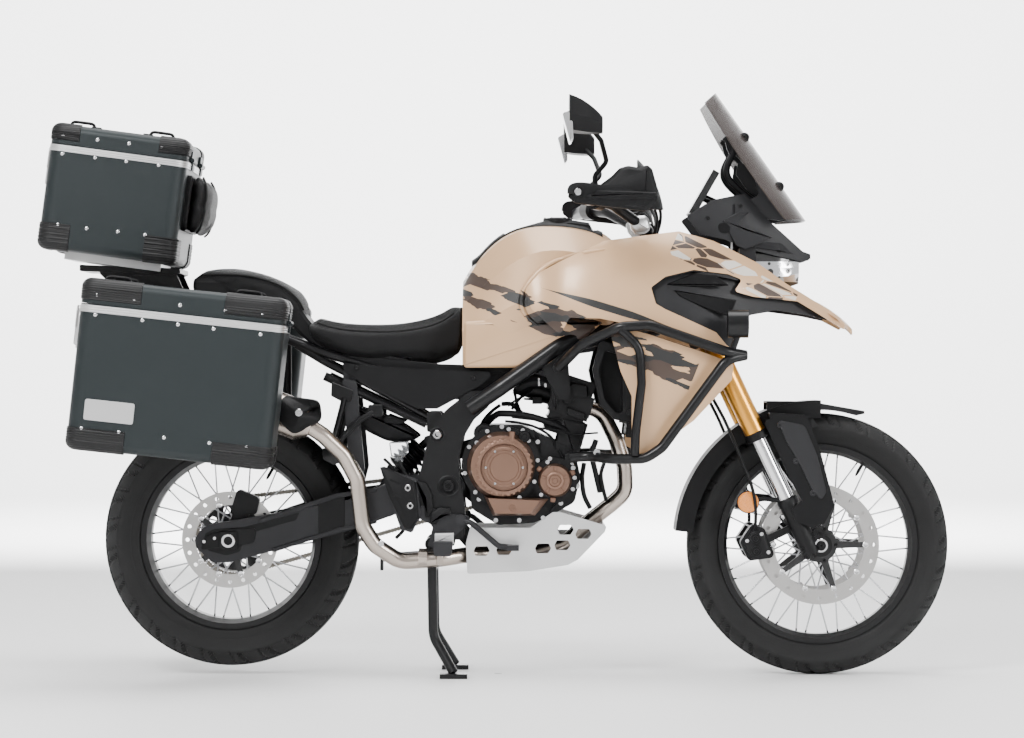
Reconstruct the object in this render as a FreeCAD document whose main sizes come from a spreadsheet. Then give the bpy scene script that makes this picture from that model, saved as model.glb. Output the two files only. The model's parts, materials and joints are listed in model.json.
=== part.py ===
import FreeCAD, Part
import math
import os
import re
import Sketcher
from FreeCAD import Placement, Rotation, Vector

# Adventure motorcycle, full size, in millimetres.
# +X forward, +Y to the rider's left, +Z up, floor at Z = 0.

SIZES = {
    # Wheels and their places
    "front_axle_x": 802, "front_tyre_r": 328, "front_tyre_half": 55, "front_rim_r": 241,
    "wheelbase": 1470, "rear_tyre_r": 319, "rear_tyre_half": 73, "rear_rim_r": 216,
    "rear_lift": 22, "rim_depth": 14, "flange_rise": 9, "front_rim_half": 36, "rear_rim_half": 56,
    "rim_wall": 5, "bead_gap": 0.3, "spoke_r": 2, "spoke_count": 18,
    "hub_r": 30, "hub_flange_r": 44, "hub_flange_width": 6,
    "front_hub_half": 60, "front_flange_half": 34, "rear_hub_half": 60, "rear_flange_half": 36,
    "axle_r": 10, "axle_gap": 1,
    # Brake discs and sprocket
    "front_disc_r": 149, "front_disc_inner_r": 112, "front_disc_y": 71, "disc_thickness": 5,
    "front_carrier_r": 118, "rear_disc_r": 120, "rear_disc_inner_r": 86, "rear_disc_y": 79,
    "rear_carrier_r": 92, "sprocket_r": 90, "sprocket_y": 88, "sprocket_thickness": 6,
    "carrier_arms": 5, "carrier_arm_width": 20, "disc_hole_r": 5, "disc_holes": 20,
    # Steering head and fork
    "rake_angle": 25.15, "axle_offset": 52.8, "fork_offset": 25, "fork_half": 105,
    "steer_stem_r": 15, "head_bore_r": 20, "head_tube_r": 32,
    "lower_clamp_z": 572, "lower_clamp_height": 34, "upper_clamp_z": 786, "upper_clamp_height": 26,
    "head_clearance": 0.4, "upper_r": 27, "stanchion_r": 20.5, "casting_r": 24,
    "casting_top": 126, "casting_foot": 36, "upper_bottom": 311, "upper_top": 820,
    "fender_gap": 28, "fender_wall": 4, "fender_half": 66, "fender_skirt": 44, "peak_gap": 8,
    "fender_skirt_wall": 5, "guard_plate": 4,
    "fit_gap": 0.3, "riser_height": 78, "bar_r": 13, "grip_r": 17,
    # Frame
    "spar_r": 20, "brace_r": 14, "head_bolt_x": 162, "head_bolt_z": 704,
    "pivot_x": -118, "pivot_z": 475, "plate_inner_y": 131, "plate_thickness": 22,
    "pivot_shaft_r": 10, "cross_r": 15,
    "eye_half": 12, "clevis_wall": 7, "shock_pin_r": 5, "shock_eye_r": 11,
    "subframe_y": 112, "subframe_r": 11,
    # Swingarm and chain
    "arm_inner_y": 99, "arm_thickness": 28,
    "chain_width": 14, "chain_height": 14, "engine_sprocket_r": 38,
    # Engine
    "engine_half": 132, "cylinder_half": 128, "cylinder_lean": 18, "clutch_x": 8, "clutch_z": 528,
    "clutch_r": 84, "clutch_cap_r": 52, "clutch_y": 184, "clutch_cap_y": 196,
    "clutch_ring_r": 98, "clutch_ring_y": 150, "pickup_x": 141, "pickup_z": 491, "pickup_r": 42,
    "pickup_y": 172, "generator_x": 120, "generator_r": 72, "generator_depth": 40,
    "cover_rim": 12, "mount_boss_r": 13, "sprocket_room": 3, "chain_room": 8, "tooth": 6,
    "fin_pitch": 12, "fin_thickness": 4, "throat_r": 24, "throat_y": 48, "throat_length": 92,
    "cap_offset": 8, "spout_r": 9, "lower_cover_depth": 28,
    # Radiator
    "core_half": 150, "core_depth": 28, "core_height": 196, "tank_rim": 4, "fan_r": 84,
    "radiator_x": 320, "radiator_z": 604, "radiator_lean": 5, "ear_y": 80, "ear_width": 10,
    "duct_wall": 6, "duct_post_r": 7,
    # Exhaust
    "header_r": 18, "pipe_r": 20, "muffler_y": 196,
    # Stands
    "stand_pivot_x": -165, "stand_pivot_z": 331, "stand_leg_y": 94, "stand_leg_r": 12,
    "stand_foot_x": -110, "stand_pin_r": 8, "stand_gap": 0.5,
    "side_pivot_x": -40, "side_pivot_z": 296, "side_pivot_y": 170, "side_leg_r": 11,
    "side_leg_length": 255,
    # Bodywork
    "panel_wall": 3, "tank_half": 168, "duct_inner_y": 180, "duct_outer_y": 244,
    "inner_panel_depth": 17, "lamp_back_x": 640, "screen_wall": 4,
    # Cases
    "top_case_x": -965, "top_case_z": 1045, "top_case_pitch": 7.5, "top_case_half_length": 170,
    "top_case_half_width": 215, "top_case_height": 308, "top_case_seam": 258,
    "pannier_x": -784, "pannier_z": 554, "pannier_pitch": 6.2, "pannier_half_length": 244,
    "pannier_inner_y": 271, "pannier_depth": 229, "pannier_height": 405, "pannier_seam": 346,
    "case_wall": 4, "case_corner_r": 34, "case_edge_r": 20, "lid_gap": 1,
    "hinge_out": 6, "hinge_up": 4, "barrel_r": 6, "hinge_pin_r": 2.5, "leaf_height": 22,
    "barrel_length": 40, "barrel_gap": 0.5,
    "rack_y": 262, "rack_r": 8.7,
}

doc = FreeCAD.newDocument("adventure_motorcycle")
sheet = doc.addObject("Spreadsheet::Sheet", "sizes")
for row, (alias, number) in enumerate(SIZES.items(), start=1):
    sheet.set("A%d" % row, alias.replace("_", " "))
    sheet.set("B%d" % row, str(number))
    sheet.setAlias("B%d" % row, alias)
doc.recompute()

NODES = []
Y_AXIS = Vector(0, 1, 0)
Z_AXIS = Vector(0, 0, 1)


class Reader:
    """Reads a size from the sheet by its alias."""

    def __getattr__(self, alias):
        return float(sheet.get(alias))


s = Reader()


def bound(text):
    """Writes the sheet's name before every alias in an expression."""
    return re.sub(r"[a-z][a-z_0-9]*", lambda m: "sizes." + m.group() if m.group() in SIZES
                  else m.group(), str(text))


def number(text):
    """The present value of an expression on the sheet's aliases."""
    return float(sheet.evalExpression(str(text)))


# Sketches and bodies

def new_body(name, is_node=True):
    body = doc.addObject("PartDesign::Body", name)
    body.Label = name
    body.AllowCompound = True
    if is_node:
        NODES.append(body)
    return body


def place(body, x="0", y="0", z="0", turn=None):
    """Moves a body to a bound place, turned about Y where turn is given."""
    if turn is not None:
        body.Placement = Placement(Vector(), Rotation(Y_AXIS, number(turn)))
        body.setExpression("Placement.Rotation.Angle", bound(turn))
    body.setExpression("Placement.Base.x", bound(x))
    body.setExpression("Placement.Base.y", bound(y))
    body.setExpression("Placement.Base.z", bound(z))
    return body


def new_sketch(body, plane, offset="0"):
    sketch = body.newObject("Sketcher::SketchObject", body.Name + "_sketch")
    support = [f for f in body.Origin.OriginFeatures if f.Role == plane][0]
    sketch.AttachmentSupport = (support, [""])
    sketch.MapMode = "FlatFace"
    sketch.setExpression("AttachmentOffset.Base.z", bound(offset))
    return sketch


def fix_point(sketch, index, position, x, y):
    """Holds a sketch point at a bound place."""
    for kind, text in (("DistanceX", x), ("DistanceY", y)):
        at = sketch.addConstraint(Sketcher.Constraint(kind, -1, 1, index, position, number(text)))
        if re.search("[a-z]", str(text)):
            sketch.setExpression("Constraints[%d]" % at, bound(text))


def polygon(sketch, points):
    """A closed outline of straight lines through bound points."""
    first = sketch.GeometryCount
    spots = [Vector(number(x), number(y), 0) for x, y in points]
    count = len(points)
    for i in range(count):
        sketch.addGeometry(Part.LineSegment(spots[i], spots[(i + 1) % count]))
    for i in range(count):
        sketch.addConstraint(Sketcher.Constraint("Coincident", first + i, 2,
                                                 first + (i + 1) % count, 1))
    for i, (x, y) in enumerate(points):
        fix_point(sketch, first + i, 1, x, y)
    return sketch


def circle(sketch, x, y, radius):
    at = sketch.addGeometry(Part.Circle(Vector(number(x), number(y), 0), Z_AXIS, number(radius)))
    fix_point(sketch, at, 3, x, y)
    c = sketch.addConstraint(Sketcher.Constraint("Radius", at, number(radius)))
    sketch.setExpression("Constraints[%d]" % c, bound(radius))
    return sketch


def pad(body, sketch, length, back=False):
    feature = body.newObject("PartDesign::Pad", body.Name + "_pad")
    feature.Profile = sketch
    feature.setExpression("Length", bound(length))
    feature.Reversed = back
    return feature


def pocket(body, sketch, length, back=False):
    feature = body.newObject("PartDesign::Pocket", body.Name + "_pocket")
    feature.Profile = sketch
    feature.setExpression("Length", bound(length))
    feature.Reversed = back
    return feature


def revolve(body, sketch, kind="PartDesign::Revolution"):
    """Turns a profile of the YZ plane about the body's Y axis."""
    feature = body.newObject(kind, body.Name + "_turn")
    feature.Profile = sketch
    feature.ReferenceAxis = (sketch, ["H_Axis"])
    feature.Angle = 360
    return feature


def ring_pattern(body, feature, count, sketch):
    """Repeats a feature about the Y axis through the body's origin."""
    pattern = body.newObject("PartDesign::PolarPattern", body.Name + "_pattern")
    pattern.Originals = [feature]
    pattern.Axis = (sketch, ["H_Axis"])
    pattern.Angle = 360
    pattern.setExpression("Occurrences", bound(count))
    body.Tip = pattern
    return pattern


# Plain shapes

def node(name, shape):
    """A named sub-part whose shape is worked out from the sheet."""
    feature = doc.addObject("Part::Feature", name)
    feature.Label = name
    feature.Shape = shape
    NODES.append(feature)
    return feature


def shape_of(name):
    """The shape of a sub-part that is already made."""
    return [item.Shape for item in NODES if item.Label == name][0]


def both(shape):
    """The shape and its mirror image across the bike's middle plane."""
    return [shape, shape.mirror(Vector(), Y_AXIS)]


def fuse(shapes):
    whole = shapes[0].multiFuse(shapes[1:])
    return whole.removeSplitter()


def together(shapes):
    return Part.makeCompound(shapes)


def block(low, high):
    """A box between two corners."""
    a, b = Vector(*low), Vector(*high)
    return Part.makeBox(b.x - a.x, b.y - a.y, b.z - a.z, a)


def rod(start, end, radius):
    a, b = Vector(*start), Vector(*end)
    return Part.makeCylinder(radius, (b - a).Length, a, b - a)


def slab(points, y_low, y_high, corner=0):
    """A plate in the side view: an outline of (x, z), rounded, between two values of y."""
    face = Part.Face(rounded([Vector(x, y_low, z) for x, z in points], corner))
    if not face.isValid():
        raise RuntimeError("the outline from %s crosses itself" % (points[0],))
    return face.extrude(Vector(0, y_high - y_low, 0))


def rounded(spots, corner):
    """A closed wire through points, each corner cut by an arc where there is room."""
    if not corner:
        return Part.makePolygon(spots + spots[:1])
    edges = []
    ends = []
    count = len(spots)
    for i, spot in enumerate(spots):
        before = spots[i - 1] - spot
        after = spots[(i + 1) % count] - spot
        turn = math.pi - before.getAngle(after)
        reach = corner * math.tan(turn / 2)
        reach = min(reach, 0.45 * before.Length, 0.45 * after.Length)
        first = spot + before.normalize() * reach
        last = spot + after.normalize() * reach
        half = (first + last) * 0.5 - spot
        radius = reach / math.tan(turn / 2) if turn > 0.02 else 0
        if radius and half.Length > 1e-6:
            depth = math.hypot(reach, radius) - radius
            middle = spot + half.normalize() * depth
            ends.append((first, middle, last))
        else:
            ends.append((spot, None, spot))
    for i, (first, middle, last) in enumerate(ends):
        if middle is not None:
            edges.append(Part.Arc(first, middle, last).toShape())
        edges.append(Part.LineSegment(last, ends[(i + 1) % count][0]).toShape())
    return Part.Wire(edges)


def tube(points, radius, bend=None):
    """A round tube along straight runs joined by tangent arcs."""
    spots = [Vector(*p) for p in points]
    bend = bend or radius * 3
    edges = []
    start = spots[0]
    for before, spot, after in zip(spots, spots[1:], spots[2:]):
        back = before - spot
        ahead = after - spot
        turn = math.pi - back.getAngle(ahead)
        reach = min(bend * math.tan(turn / 2), 0.45 * back.Length, 0.45 * ahead.Length)
        arc = reach / math.tan(turn / 2)
        first = spot + back.normalize() * reach
        last = spot + ahead.normalize() * reach
        inward = ((first + last) * 0.5 - spot).normalize()
        middle = spot + inward * (math.hypot(reach, arc) - arc)
        edges.append(Part.LineSegment(start, first).toShape())
        edges.append(Part.Arc(first, middle, last).toShape())
        start = last
    edges.append(Part.LineSegment(start, spots[-1]).toShape())
    path = Part.Wire(edges)
    ring = Part.Wire(Part.Circle(spots[0], spots[1] - spots[0], radius).toShape())
    return path.makePipeShell([ring], True, False)


def loft(sections, ruled=False):
    """A solid through closed sections, each a list of points with its own x."""
    wires = [Part.makePolygon([Vector(*p) for p in pts] + [Vector(*pts[0])]) for pts in sections]
    return Part.makeLoft(wires, True, ruled)


def whole_section(x, half):
    """Mirrors the points of a section's right half, given from top to bottom, as (y, z)."""
    right = [(x, -y, z) for y, z in half]
    left = [(x, y, z) for y, z in reversed(half) if y > 0.01]
    return right + left


def skin(grid, wall, start=0.0):
    """A panel of even wall: a smooth face through a grid of points and its twin, the wall deeper."""
    rows = [[Vector(*p) for p in line] for line in grid]

    def moved(depth):
        faces = []
        for i, line in enumerate(rows):
            points = []
            for j, p in enumerate(line):
                du = rows[min(i + 1, len(rows) - 1)][j] - rows[max(i - 1, 0)][j]
                dv = line[min(j + 1, len(line) - 1)] - line[max(j - 1, 0)]
                points.append(p + du.cross(dv).normalize() * depth)
            faces.append(points)
        return faces
    faces = []
    for points in (moved(start), moved(start + wall)):
        surface = Part.BSplineSurface()
        surface.interpolate(points)
        faces.append(surface.toShape())
    outer_edges, inner_edges = (f.OuterWire.Edges for f in faces)
    for edge in outer_edges:
        middle = edge.CenterOfMass
        twin = min(inner_edges, key=lambda e: e.CenterOfMass.distanceToPoint(middle))
        faces.append(Part.makeRuledSurface(edge, twin))
    shell = Part.Shell(faces)
    shell.sewShape()
    solid = Part.Solid(shell)
    if solid.Volume < 0:
        solid.reverse()
    return solid


# Places that many pieces share

REAR_AXLE_X = "front_axle_x - wheelbase"
REAR_AXLE_Z = "rear_tyre_r + rear_lift"
RAKE = math.radians(s.rake_angle)
FORWARD = Vector(math.cos(RAKE), 0, math.sin(RAKE))
UPWARD = Vector(-math.sin(RAKE), 0, math.cos(RAKE))
FRONT_AXLE = Vector(s.front_axle_x, 0, s.front_tyre_r)
STEER_FOOT = FRONT_AXLE - FORWARD * s.axle_offset
STEER_PLACE = Placement(STEER_FOOT, Rotation(Y_AXIS, -s.rake_angle))
STEER_FOOT_X = "front_axle_x - axle_offset * cos(rake_angle * 1deg)"
STEER_FOOT_Z = "front_tyre_r - axle_offset * sin(rake_angle * 1deg)"
REAR_AXLE = Vector(s.front_axle_x - s.wheelbase, 0, s.rear_tyre_r + s.rear_lift)
SHOCK_TOP = (s.pivot_x - 58, s.pivot_z + 113)
SHOCK_FOOT = (s.pivot_x - 150, s.pivot_z + 23)


def steer(shape):
    """Moves a shape drawn upright on the steering axis to its raked place."""
    moved = shape.copy()
    moved.Placement = STEER_PLACE.multiply(moved.Placement)
    return moved


def steer_point(x, y, z):
    return tuple(STEER_PLACE.multVec(Vector(x, y, z)))


# Wheels

def rim(name, axle_x, axle_z, rim_r, rim_half, hub_half, flange_half):
    """Rim, hub and laced spokes of one wheel, turned about the axle."""
    body = new_body(name + "_turned", False)
    profile = new_sketch(body, "YZ_Plane")
    well = "%s - rim_depth" % rim_r
    lip = "%s + flange_rise" % rim_r
    polygon(profile, [
        (rim_half, "%s - rim_wall" % rim_r), (rim_half, lip), ("%s - 3" % rim_half, lip),
        ("%s - 4" % rim_half, rim_r), ("%s * 0.5" % rim_half, "%s - 2" % rim_r),
        ("%s * 0.3" % rim_half, "%s + rim_wall" % well),
        ("-%s * 0.3" % rim_half, "%s + rim_wall" % well),
        ("-%s * 0.5" % rim_half, "%s - 2" % rim_r), ("4 - %s" % rim_half, rim_r),
        ("3 - %s" % rim_half, lip), ("-%s" % rim_half, lip),
        ("-%s" % rim_half, "%s - rim_wall" % rim_r), ("-%s * 0.4" % rim_half, well),
        ("%s * 0.4" % rim_half, well)])
    revolve(body, profile)
    hub = new_sketch(body, "YZ_Plane")
    polygon(hub, [
        ("-%s" % hub_half, "axle_r + axle_gap"), (hub_half, "axle_r + axle_gap"),
        (hub_half, "hub_r"), ("%s + hub_flange_width / 2" % flange_half, "hub_r"),
        ("%s + hub_flange_width / 2" % flange_half, "hub_flange_r"),
        ("%s - hub_flange_width / 2" % flange_half, "hub_flange_r"),
        ("%s - hub_flange_width / 2 - 8" % flange_half, "hub_r - 6"),
        ("-%s + hub_flange_width / 2 + 8" % flange_half, "hub_r - 6"),
        ("-%s + hub_flange_width / 2" % flange_half, "hub_flange_r"),
        ("-%s - hub_flange_width / 2" % flange_half, "hub_flange_r"),
        ("-%s - hub_flange_width / 2" % flange_half, "hub_r"), ("-%s" % hub_half, "hub_r")])
    revolve(body, hub)
    spokes = []
    start_r = s.hub_flange_r - 4
    end_r = number(well) + 2
    lead = math.radians(52)
    step = math.radians(360 / s.spoke_count / 2)
    for side in (-1, 1):
        for lean in (-1, 1):
            turn = step * (side + lean * 0.5)
            near = Vector(start_r * math.sin(turn), side * (number(flange_half) + lean * 2.5),
                          start_r * math.cos(turn))
            far_turn = turn + lean * lead
            far = Vector(end_r * math.sin(far_turn), side * (9 + lean * 2.5),
                         end_r * math.cos(far_turn))
            spokes.append(rod(near, far, s.spoke_r))
    place(body, axle_x, "0", axle_z)
    count = int(s.spoke_count / 2)
    centre = Vector(number(axle_x), 0, number(axle_z))
    lacing = doc.addObject("Part::Feature", name + "_lacing")
    turned = []
    for k in range(count):
        for spoke in spokes:
            one = spoke.copy()
            one.rotate(Vector(), Y_AXIS, 360 * k / count)
            one.translate(centre)
            turned.append(one)
    lacing.Shape = together(turned)
    wheel = doc.addObject("Part::MultiFuse", name)
    wheel.Label = name
    wheel.Shapes = [body, lacing]
    wheel.Refine = False
    NODES.append(wheel)
    return wheel


def tyre(name, axle_x, axle_z, rim_r, rim_half, tyre_r, tyre_half):
    """Tyre whose beads sit inside the rim's flanges."""
    body = new_body(name)
    profile = new_sketch(body, "YZ_Plane")
    bead = "%s + bead_gap" % rim_r
    seat = "%s - 4 - bead_gap" % rim_half
    right = [
        (seat, bead), (seat, "%s + flange_rise" % bead),
        ("%s + 1" % rim_half, "%s + flange_rise + 4" % bead),
        (tyre_half, "%s * 0.45 + %s * 0.55" % (rim_r, tyre_r)),
        ("%s * 0.9" % tyre_half, "%s - 22 * %s / 55" % (tyre_r, tyre_half)),
        ("%s * 0.45" % tyre_half, "%s - 4 * %s / 55" % (tyre_r, tyre_half))]
    left = [("-(%s)" % y, z) for y, z in reversed(right)]
    polygon(profile, right + [("0", tyre_r)] + left)
    revolve(body, profile)
    return place(body, axle_x, "0", axle_z)


def disc_pair(name, axle_x, axle_z, sides, sizes_of):
    """Drilled brake discs on their carriers, one body, both turned about the axle."""
    body = new_body(name)
    outer, inner, carrier, offset, hub_half = sizes_of
    for side in sides:
        ring = new_sketch(body, "XZ_Plane", "%d * (%s) - disc_thickness / 2" % (-side, offset))
        circle(ring, "0", "0", outer)
        circle(ring, "0", "0", inner)
        pad(body, ring, "disc_thickness")
        hub = new_sketch(body, "XZ_Plane", "%d * (%s) - disc_thickness / 2" % (-side, offset))
        circle(hub, "0", "0", "hub_flange_r")
        circle(hub, "0", "0", "axle_r + axle_gap")
        pad(body, hub, "disc_thickness")
        arm = new_sketch(body, "XZ_Plane", "%d * (%s) - disc_thickness / 2" % (-side, offset))
        polygon(arm, [("hub_r", "-carrier_arm_width / 2"), ("%s - 1" % carrier, "-6"),
                      ("%s - 1" % carrier, "6"), ("hub_r", "carrier_arm_width / 2")])
        spider = pad(body, arm, "disc_thickness")
        axis = new_sketch(body, "YZ_Plane")
        polygon(axis, [("0", "1"), ("1", "1"), ("1", "2")])
        ring_pattern(body, spider, "carrier_arms", axis)
        hole = new_sketch(body, "XZ_Plane", "%d * (%s) - disc_thickness / 2" % (-side, offset))
        circle(hole, "(%s + %s) / 2" % (outer, carrier), "0", "disc_hole_r")
        drilled = pocket(body, hole, "disc_thickness", back=True)
        ring_pattern(body, drilled, "disc_holes", axis)
        spacer = new_sketch(body, "XZ_Plane", "%s" % (
            "%s + 0.2" % hub_half if side < 0 else "disc_thickness / 2 - (%s)" % offset))
        circle(spacer, "0", "0", "hub_r - 2")
        circle(spacer, "0", "0", "axle_r + axle_gap")
        pad(body, spacer, "%s - disc_thickness / 2 - %s - 0.2" % (offset, hub_half))
    return place(body, axle_x, "0", axle_z)


def wheels():
    rim("front_rim", "front_axle_x", "front_tyre_r", "front_rim_r", "front_rim_half",
        "front_hub_half", "front_flange_half")
    tyre("front_tyre", "front_axle_x", "front_tyre_r", "front_rim_r", "front_rim_half",
         "front_tyre_r", "front_tyre_half")
    rim("rear_rim", REAR_AXLE_X, REAR_AXLE_Z, "rear_rim_r", "rear_rim_half",
        "rear_hub_half", "rear_flange_half")
    tyre("rear_tyre", REAR_AXLE_X, REAR_AXLE_Z, "rear_rim_r", "rear_rim_half",
         "rear_tyre_r", "rear_tyre_half")
    disc_pair("front_discs", "front_axle_x", "front_tyre_r", (-1, 1),
              ("front_disc_r", "front_disc_inner_r", "front_carrier_r", "front_disc_y",
               "front_hub_half"))
    rear = disc_pair("rear_disc", REAR_AXLE_X, REAR_AXLE_Z, (-1,),
              ("rear_disc_r", "rear_disc_inner_r", "rear_carrier_r", "rear_disc_y",
               "rear_hub_half"))
    sprocket(rear)


def sprocket(body):
    """Rear sprocket with lightening holes on the hub's left end."""
    plate = new_sketch(body, "XZ_Plane", "-sprocket_y - sprocket_thickness / 2")
    circle(plate, "0", "0", "sprocket_r")
    circle(plate, "0", "0", "axle_r + axle_gap")
    pad(body, plate, "sprocket_thickness")
    carrier = new_sketch(body, "XZ_Plane", "sprocket_thickness / 2 - sprocket_y")
    circle(carrier, "0", "0", "hub_flange_r + 8")
    circle(carrier, "0", "0", "axle_r + axle_gap")
    pad(body, carrier, "sprocket_y - sprocket_thickness / 2 - rear_hub_half - 0.2")
    hole = new_sketch(body, "XZ_Plane", "-sprocket_y - sprocket_thickness / 2")
    circle(hole, "sprocket_r - 20", "0", "9")
    drilled = pocket(body, hole, "sprocket_thickness", back=True)
    axis = new_sketch(body, "YZ_Plane")
    polygon(axis, [("0", "1"), ("1", "1"), ("1", "2")])
    ring_pattern(body, drilled, "10", axis)


# Frame, subframe and racks

def head_tube():
    length = s.upper_clamp_z - s.lower_clamp_z - s.lower_clamp_height - 2 * s.head_clearance
    low = s.lower_clamp_z + s.lower_clamp_height + s.head_clearance
    return steer(Part.makeCylinder(s.head_tube_r, length, Vector(0, 0, low)))


def head_bore():
    return steer(Part.makeCylinder(s.head_bore_r, 400, Vector(0, 0, 500)))


PIVOT_PLATE = [(-143, 344), (-173, 393), (-202, 430), (-197, 492), (-173, 591), (-163, 628),
               (-125, 668), (-69, 712), (-30, 712), (-19, 677), (-60, 640), (-84, 600), (-96, 540),
               (-94, 500), (-84, 442), (-79, 393), (-84, 344)]


def spars(extra=0.0):
    """The right spar and the lower brace of the frame, grown by an extra radius."""
    head = steer_point(0, 0, 700)
    spar = tube([(head[0] - 10, -24, head[2] + 2), (320, -88, 886), (168, -150, 836),
                 (5, -160, 719), (-70, -150, 668)], s.spar_r + extra, 160)
    brace = tube([(head[0] + 8, -24, head[2] - 44), (360, -86, 846), (250, -128, 838),
                  (150, -146, 812)], s.brace_r + extra, 90)
    return [spar, brace]


def frame_main():
    """Head tube, twin spars, cast pivot plates and the tubes across."""
    y0 = s.plate_inner_y
    y1 = y0 + s.plate_thickness
    sides = []
    spar, lower = spars()
    plate = slab(PIVOT_PLATE, -y1, -y0, 14)
    hx, hz = s.head_bolt_x, s.head_bolt_z
    lug = slab([(96, 806), (172, 812), (hx + 18, hz + 4), (hx + 8, hz - 16), (hx - 12, hz - 14),
                (112, 760)], -y1, -y0, 8)
    for piece in (spar, lower, plate, lug):
        sides += both(piece)
    across = [rod((-150, -y0 - 4, 606), (-150, y0 + 4, 606), s.cross_r),
              rod((-146, -y0 - 4, 357), (-146, y0 + 4, 357), s.cross_r * 0.86),
              rod((s.pivot_x, -y1, s.pivot_z), (s.pivot_x, y1, s.pivot_z), s.pivot_shaft_r)]
    lugs = [slab([(-158, 366), (-138, 360), (s.stand_pivot_x + 13, s.stand_pivot_z - 4),
                  (s.stand_pivot_x, s.stand_pivot_z - 14),
                  (s.stand_pivot_x - 13, s.stand_pivot_z - 2)], a, a + 10, 4) for a in (-78, 68)]
    sx, sz = s.side_pivot_x, s.side_pivot_z
    side_lug = slab([(-112, 372), (-84, 372), (sx + 18, sz + 10), (sx + 16, sz - 14), (sx - 14, sz - 16),
                     (-116, 346)], 141, y1, 6)
    side_bolt = rod((sx, 145, sz), (sx, s.side_pivot_y + 15, sz), 8)
    reach = s.stand_leg_y + s.stand_leg_r + 2
    pin = rod((s.stand_pivot_x, -reach, s.stand_pivot_z), (s.stand_pivot_x, reach, s.stand_pivot_z),
              s.stand_pin_r)
    stay = rod(steer_point(0, 0, 700), (600 - s.fit_gap, 0, 1006), 12)
    stay = stay.cut(block((600 - s.fit_gap, -30, 900), (640, 30, 1100)))
    stay_plate = block((590, -44, 984), (600 - s.fit_gap, 44, 1030))
    shock_x, shock_z = SHOCK_TOP
    clevis = [slab([(-146, 622), (-136, 600), (shock_x + 4, shock_z - 12), (shock_x - 13, shock_z)],
                   a, a + s.clevis_wall, 6) for a in (s.eye_half, -s.eye_half - s.clevis_wall)]
    shock_pin = rod((shock_x, -s.eye_half - 2, shock_z), (shock_x, s.eye_half + 2, shock_z),
                    s.shock_pin_r)
    whole = fuse([head_tube()] + sides + across + lugs + clevis
                 + [pin, side_lug, side_bolt, stay, stay_plate, shock_pin])
    whole = whole.cut(head_bore())
    node("frame_main", whole)


def seat_rail(extra=0.0):
    """The right seat rail, grown by an extra radius."""
    y = s.subframe_y
    return tube([(-92, -y, 700), (-150, -y, 735), (-250, -y, 750), (-450, -y, 812),
                 (-760, -y, 930), (-900, -y, 968)], s.subframe_r + extra, 120)


def subframe():
    """Seat rails, lower stays and their cross tubes."""
    y = s.subframe_y
    r = s.subframe_r
    rail = seat_rail()
    stay = tube([(-160, -y, 640), (-279, -y, 706), (-427, -y, 782), (-500, -y, 826)], r * 0.85, 80)
    foot = rod((-92, -y, 700), (-60, -y, 690), r)
    lug = slab([(-176, 610), (-140, 610), (-140, 660), (-176, 660)], -s.plate_inner_y + 0.5,
               -y + 4, 6)
    across = [rod((x, -y, z), (x, y, z), r * 0.9) for x, z in ((-455, 814), (-745, 912),
                                                               (-190, 742))]
    bracket = slab([(-96, 706), (-36, 698), (-36, 684), (-96, 684)], -s.plate_inner_y + 0.5, -y, 4)
    sides = []
    for piece in (rail, stay, foot, lug, bracket):
        sides += both(piece)
    node("subframe", fuse(sides + across).cut(shape_of("frame_main")))


def luggage_rack():
    """Pannier hoops, the carrier plate under the top case and their stays."""
    y = s.rack_y
    r = s.rack_r
    hoop = tube([(-720, -y, 905), (-545, -y, 885), (-545, -y, 640), (-720, -y, 622),
                 (-960, -y, 648), (-960, -y, 930), (-720, -y, 905.01)], r, 60)
    inner = s.subframe_y + s.subframe_r
    stays = [tube([(-560, -y, 886), (-560, -190, 880), (-560, -inner - 0.3, 854)], r * 0.9),
             tube([(-900, -y, 922), (-900, -190, 940), (-870, -inner - 0.3, 956)], r * 0.9)]
    plate = slab([(-1040, 1010), (-800, 1000), (-790, 1004), (-790, 1016), (-1040, 1026)],
                 -105, 105, 3)
    legs = [slab([(-960, 975), (-800, 944), (-772, 940), (-800, 1004), (-1000, 1012)],
                 a, a + 7.4, 6) for a in (-100.7, 93.3)]
    sides = both(hoop)
    for piece in stays:
        sides += both(piece)
    rails = shape_of("subframe")
    racks = [fuse(sides[0:1] + sides[2::2]).cut(rails), fuse(sides[1:2] + sides[3::2]).cut(rails)]
    node("luggage_rack", together([fuse([plate] + legs)] + racks))


# Engine

CRANKCASE = [(-66, 420), (-72, 520), (-58, 600), (-20, 628), (60, 628), (104, 606), (190, 566),
             (205, 500), (190, 436), (130, 402), (90, 385), (0, 380)]


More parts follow.
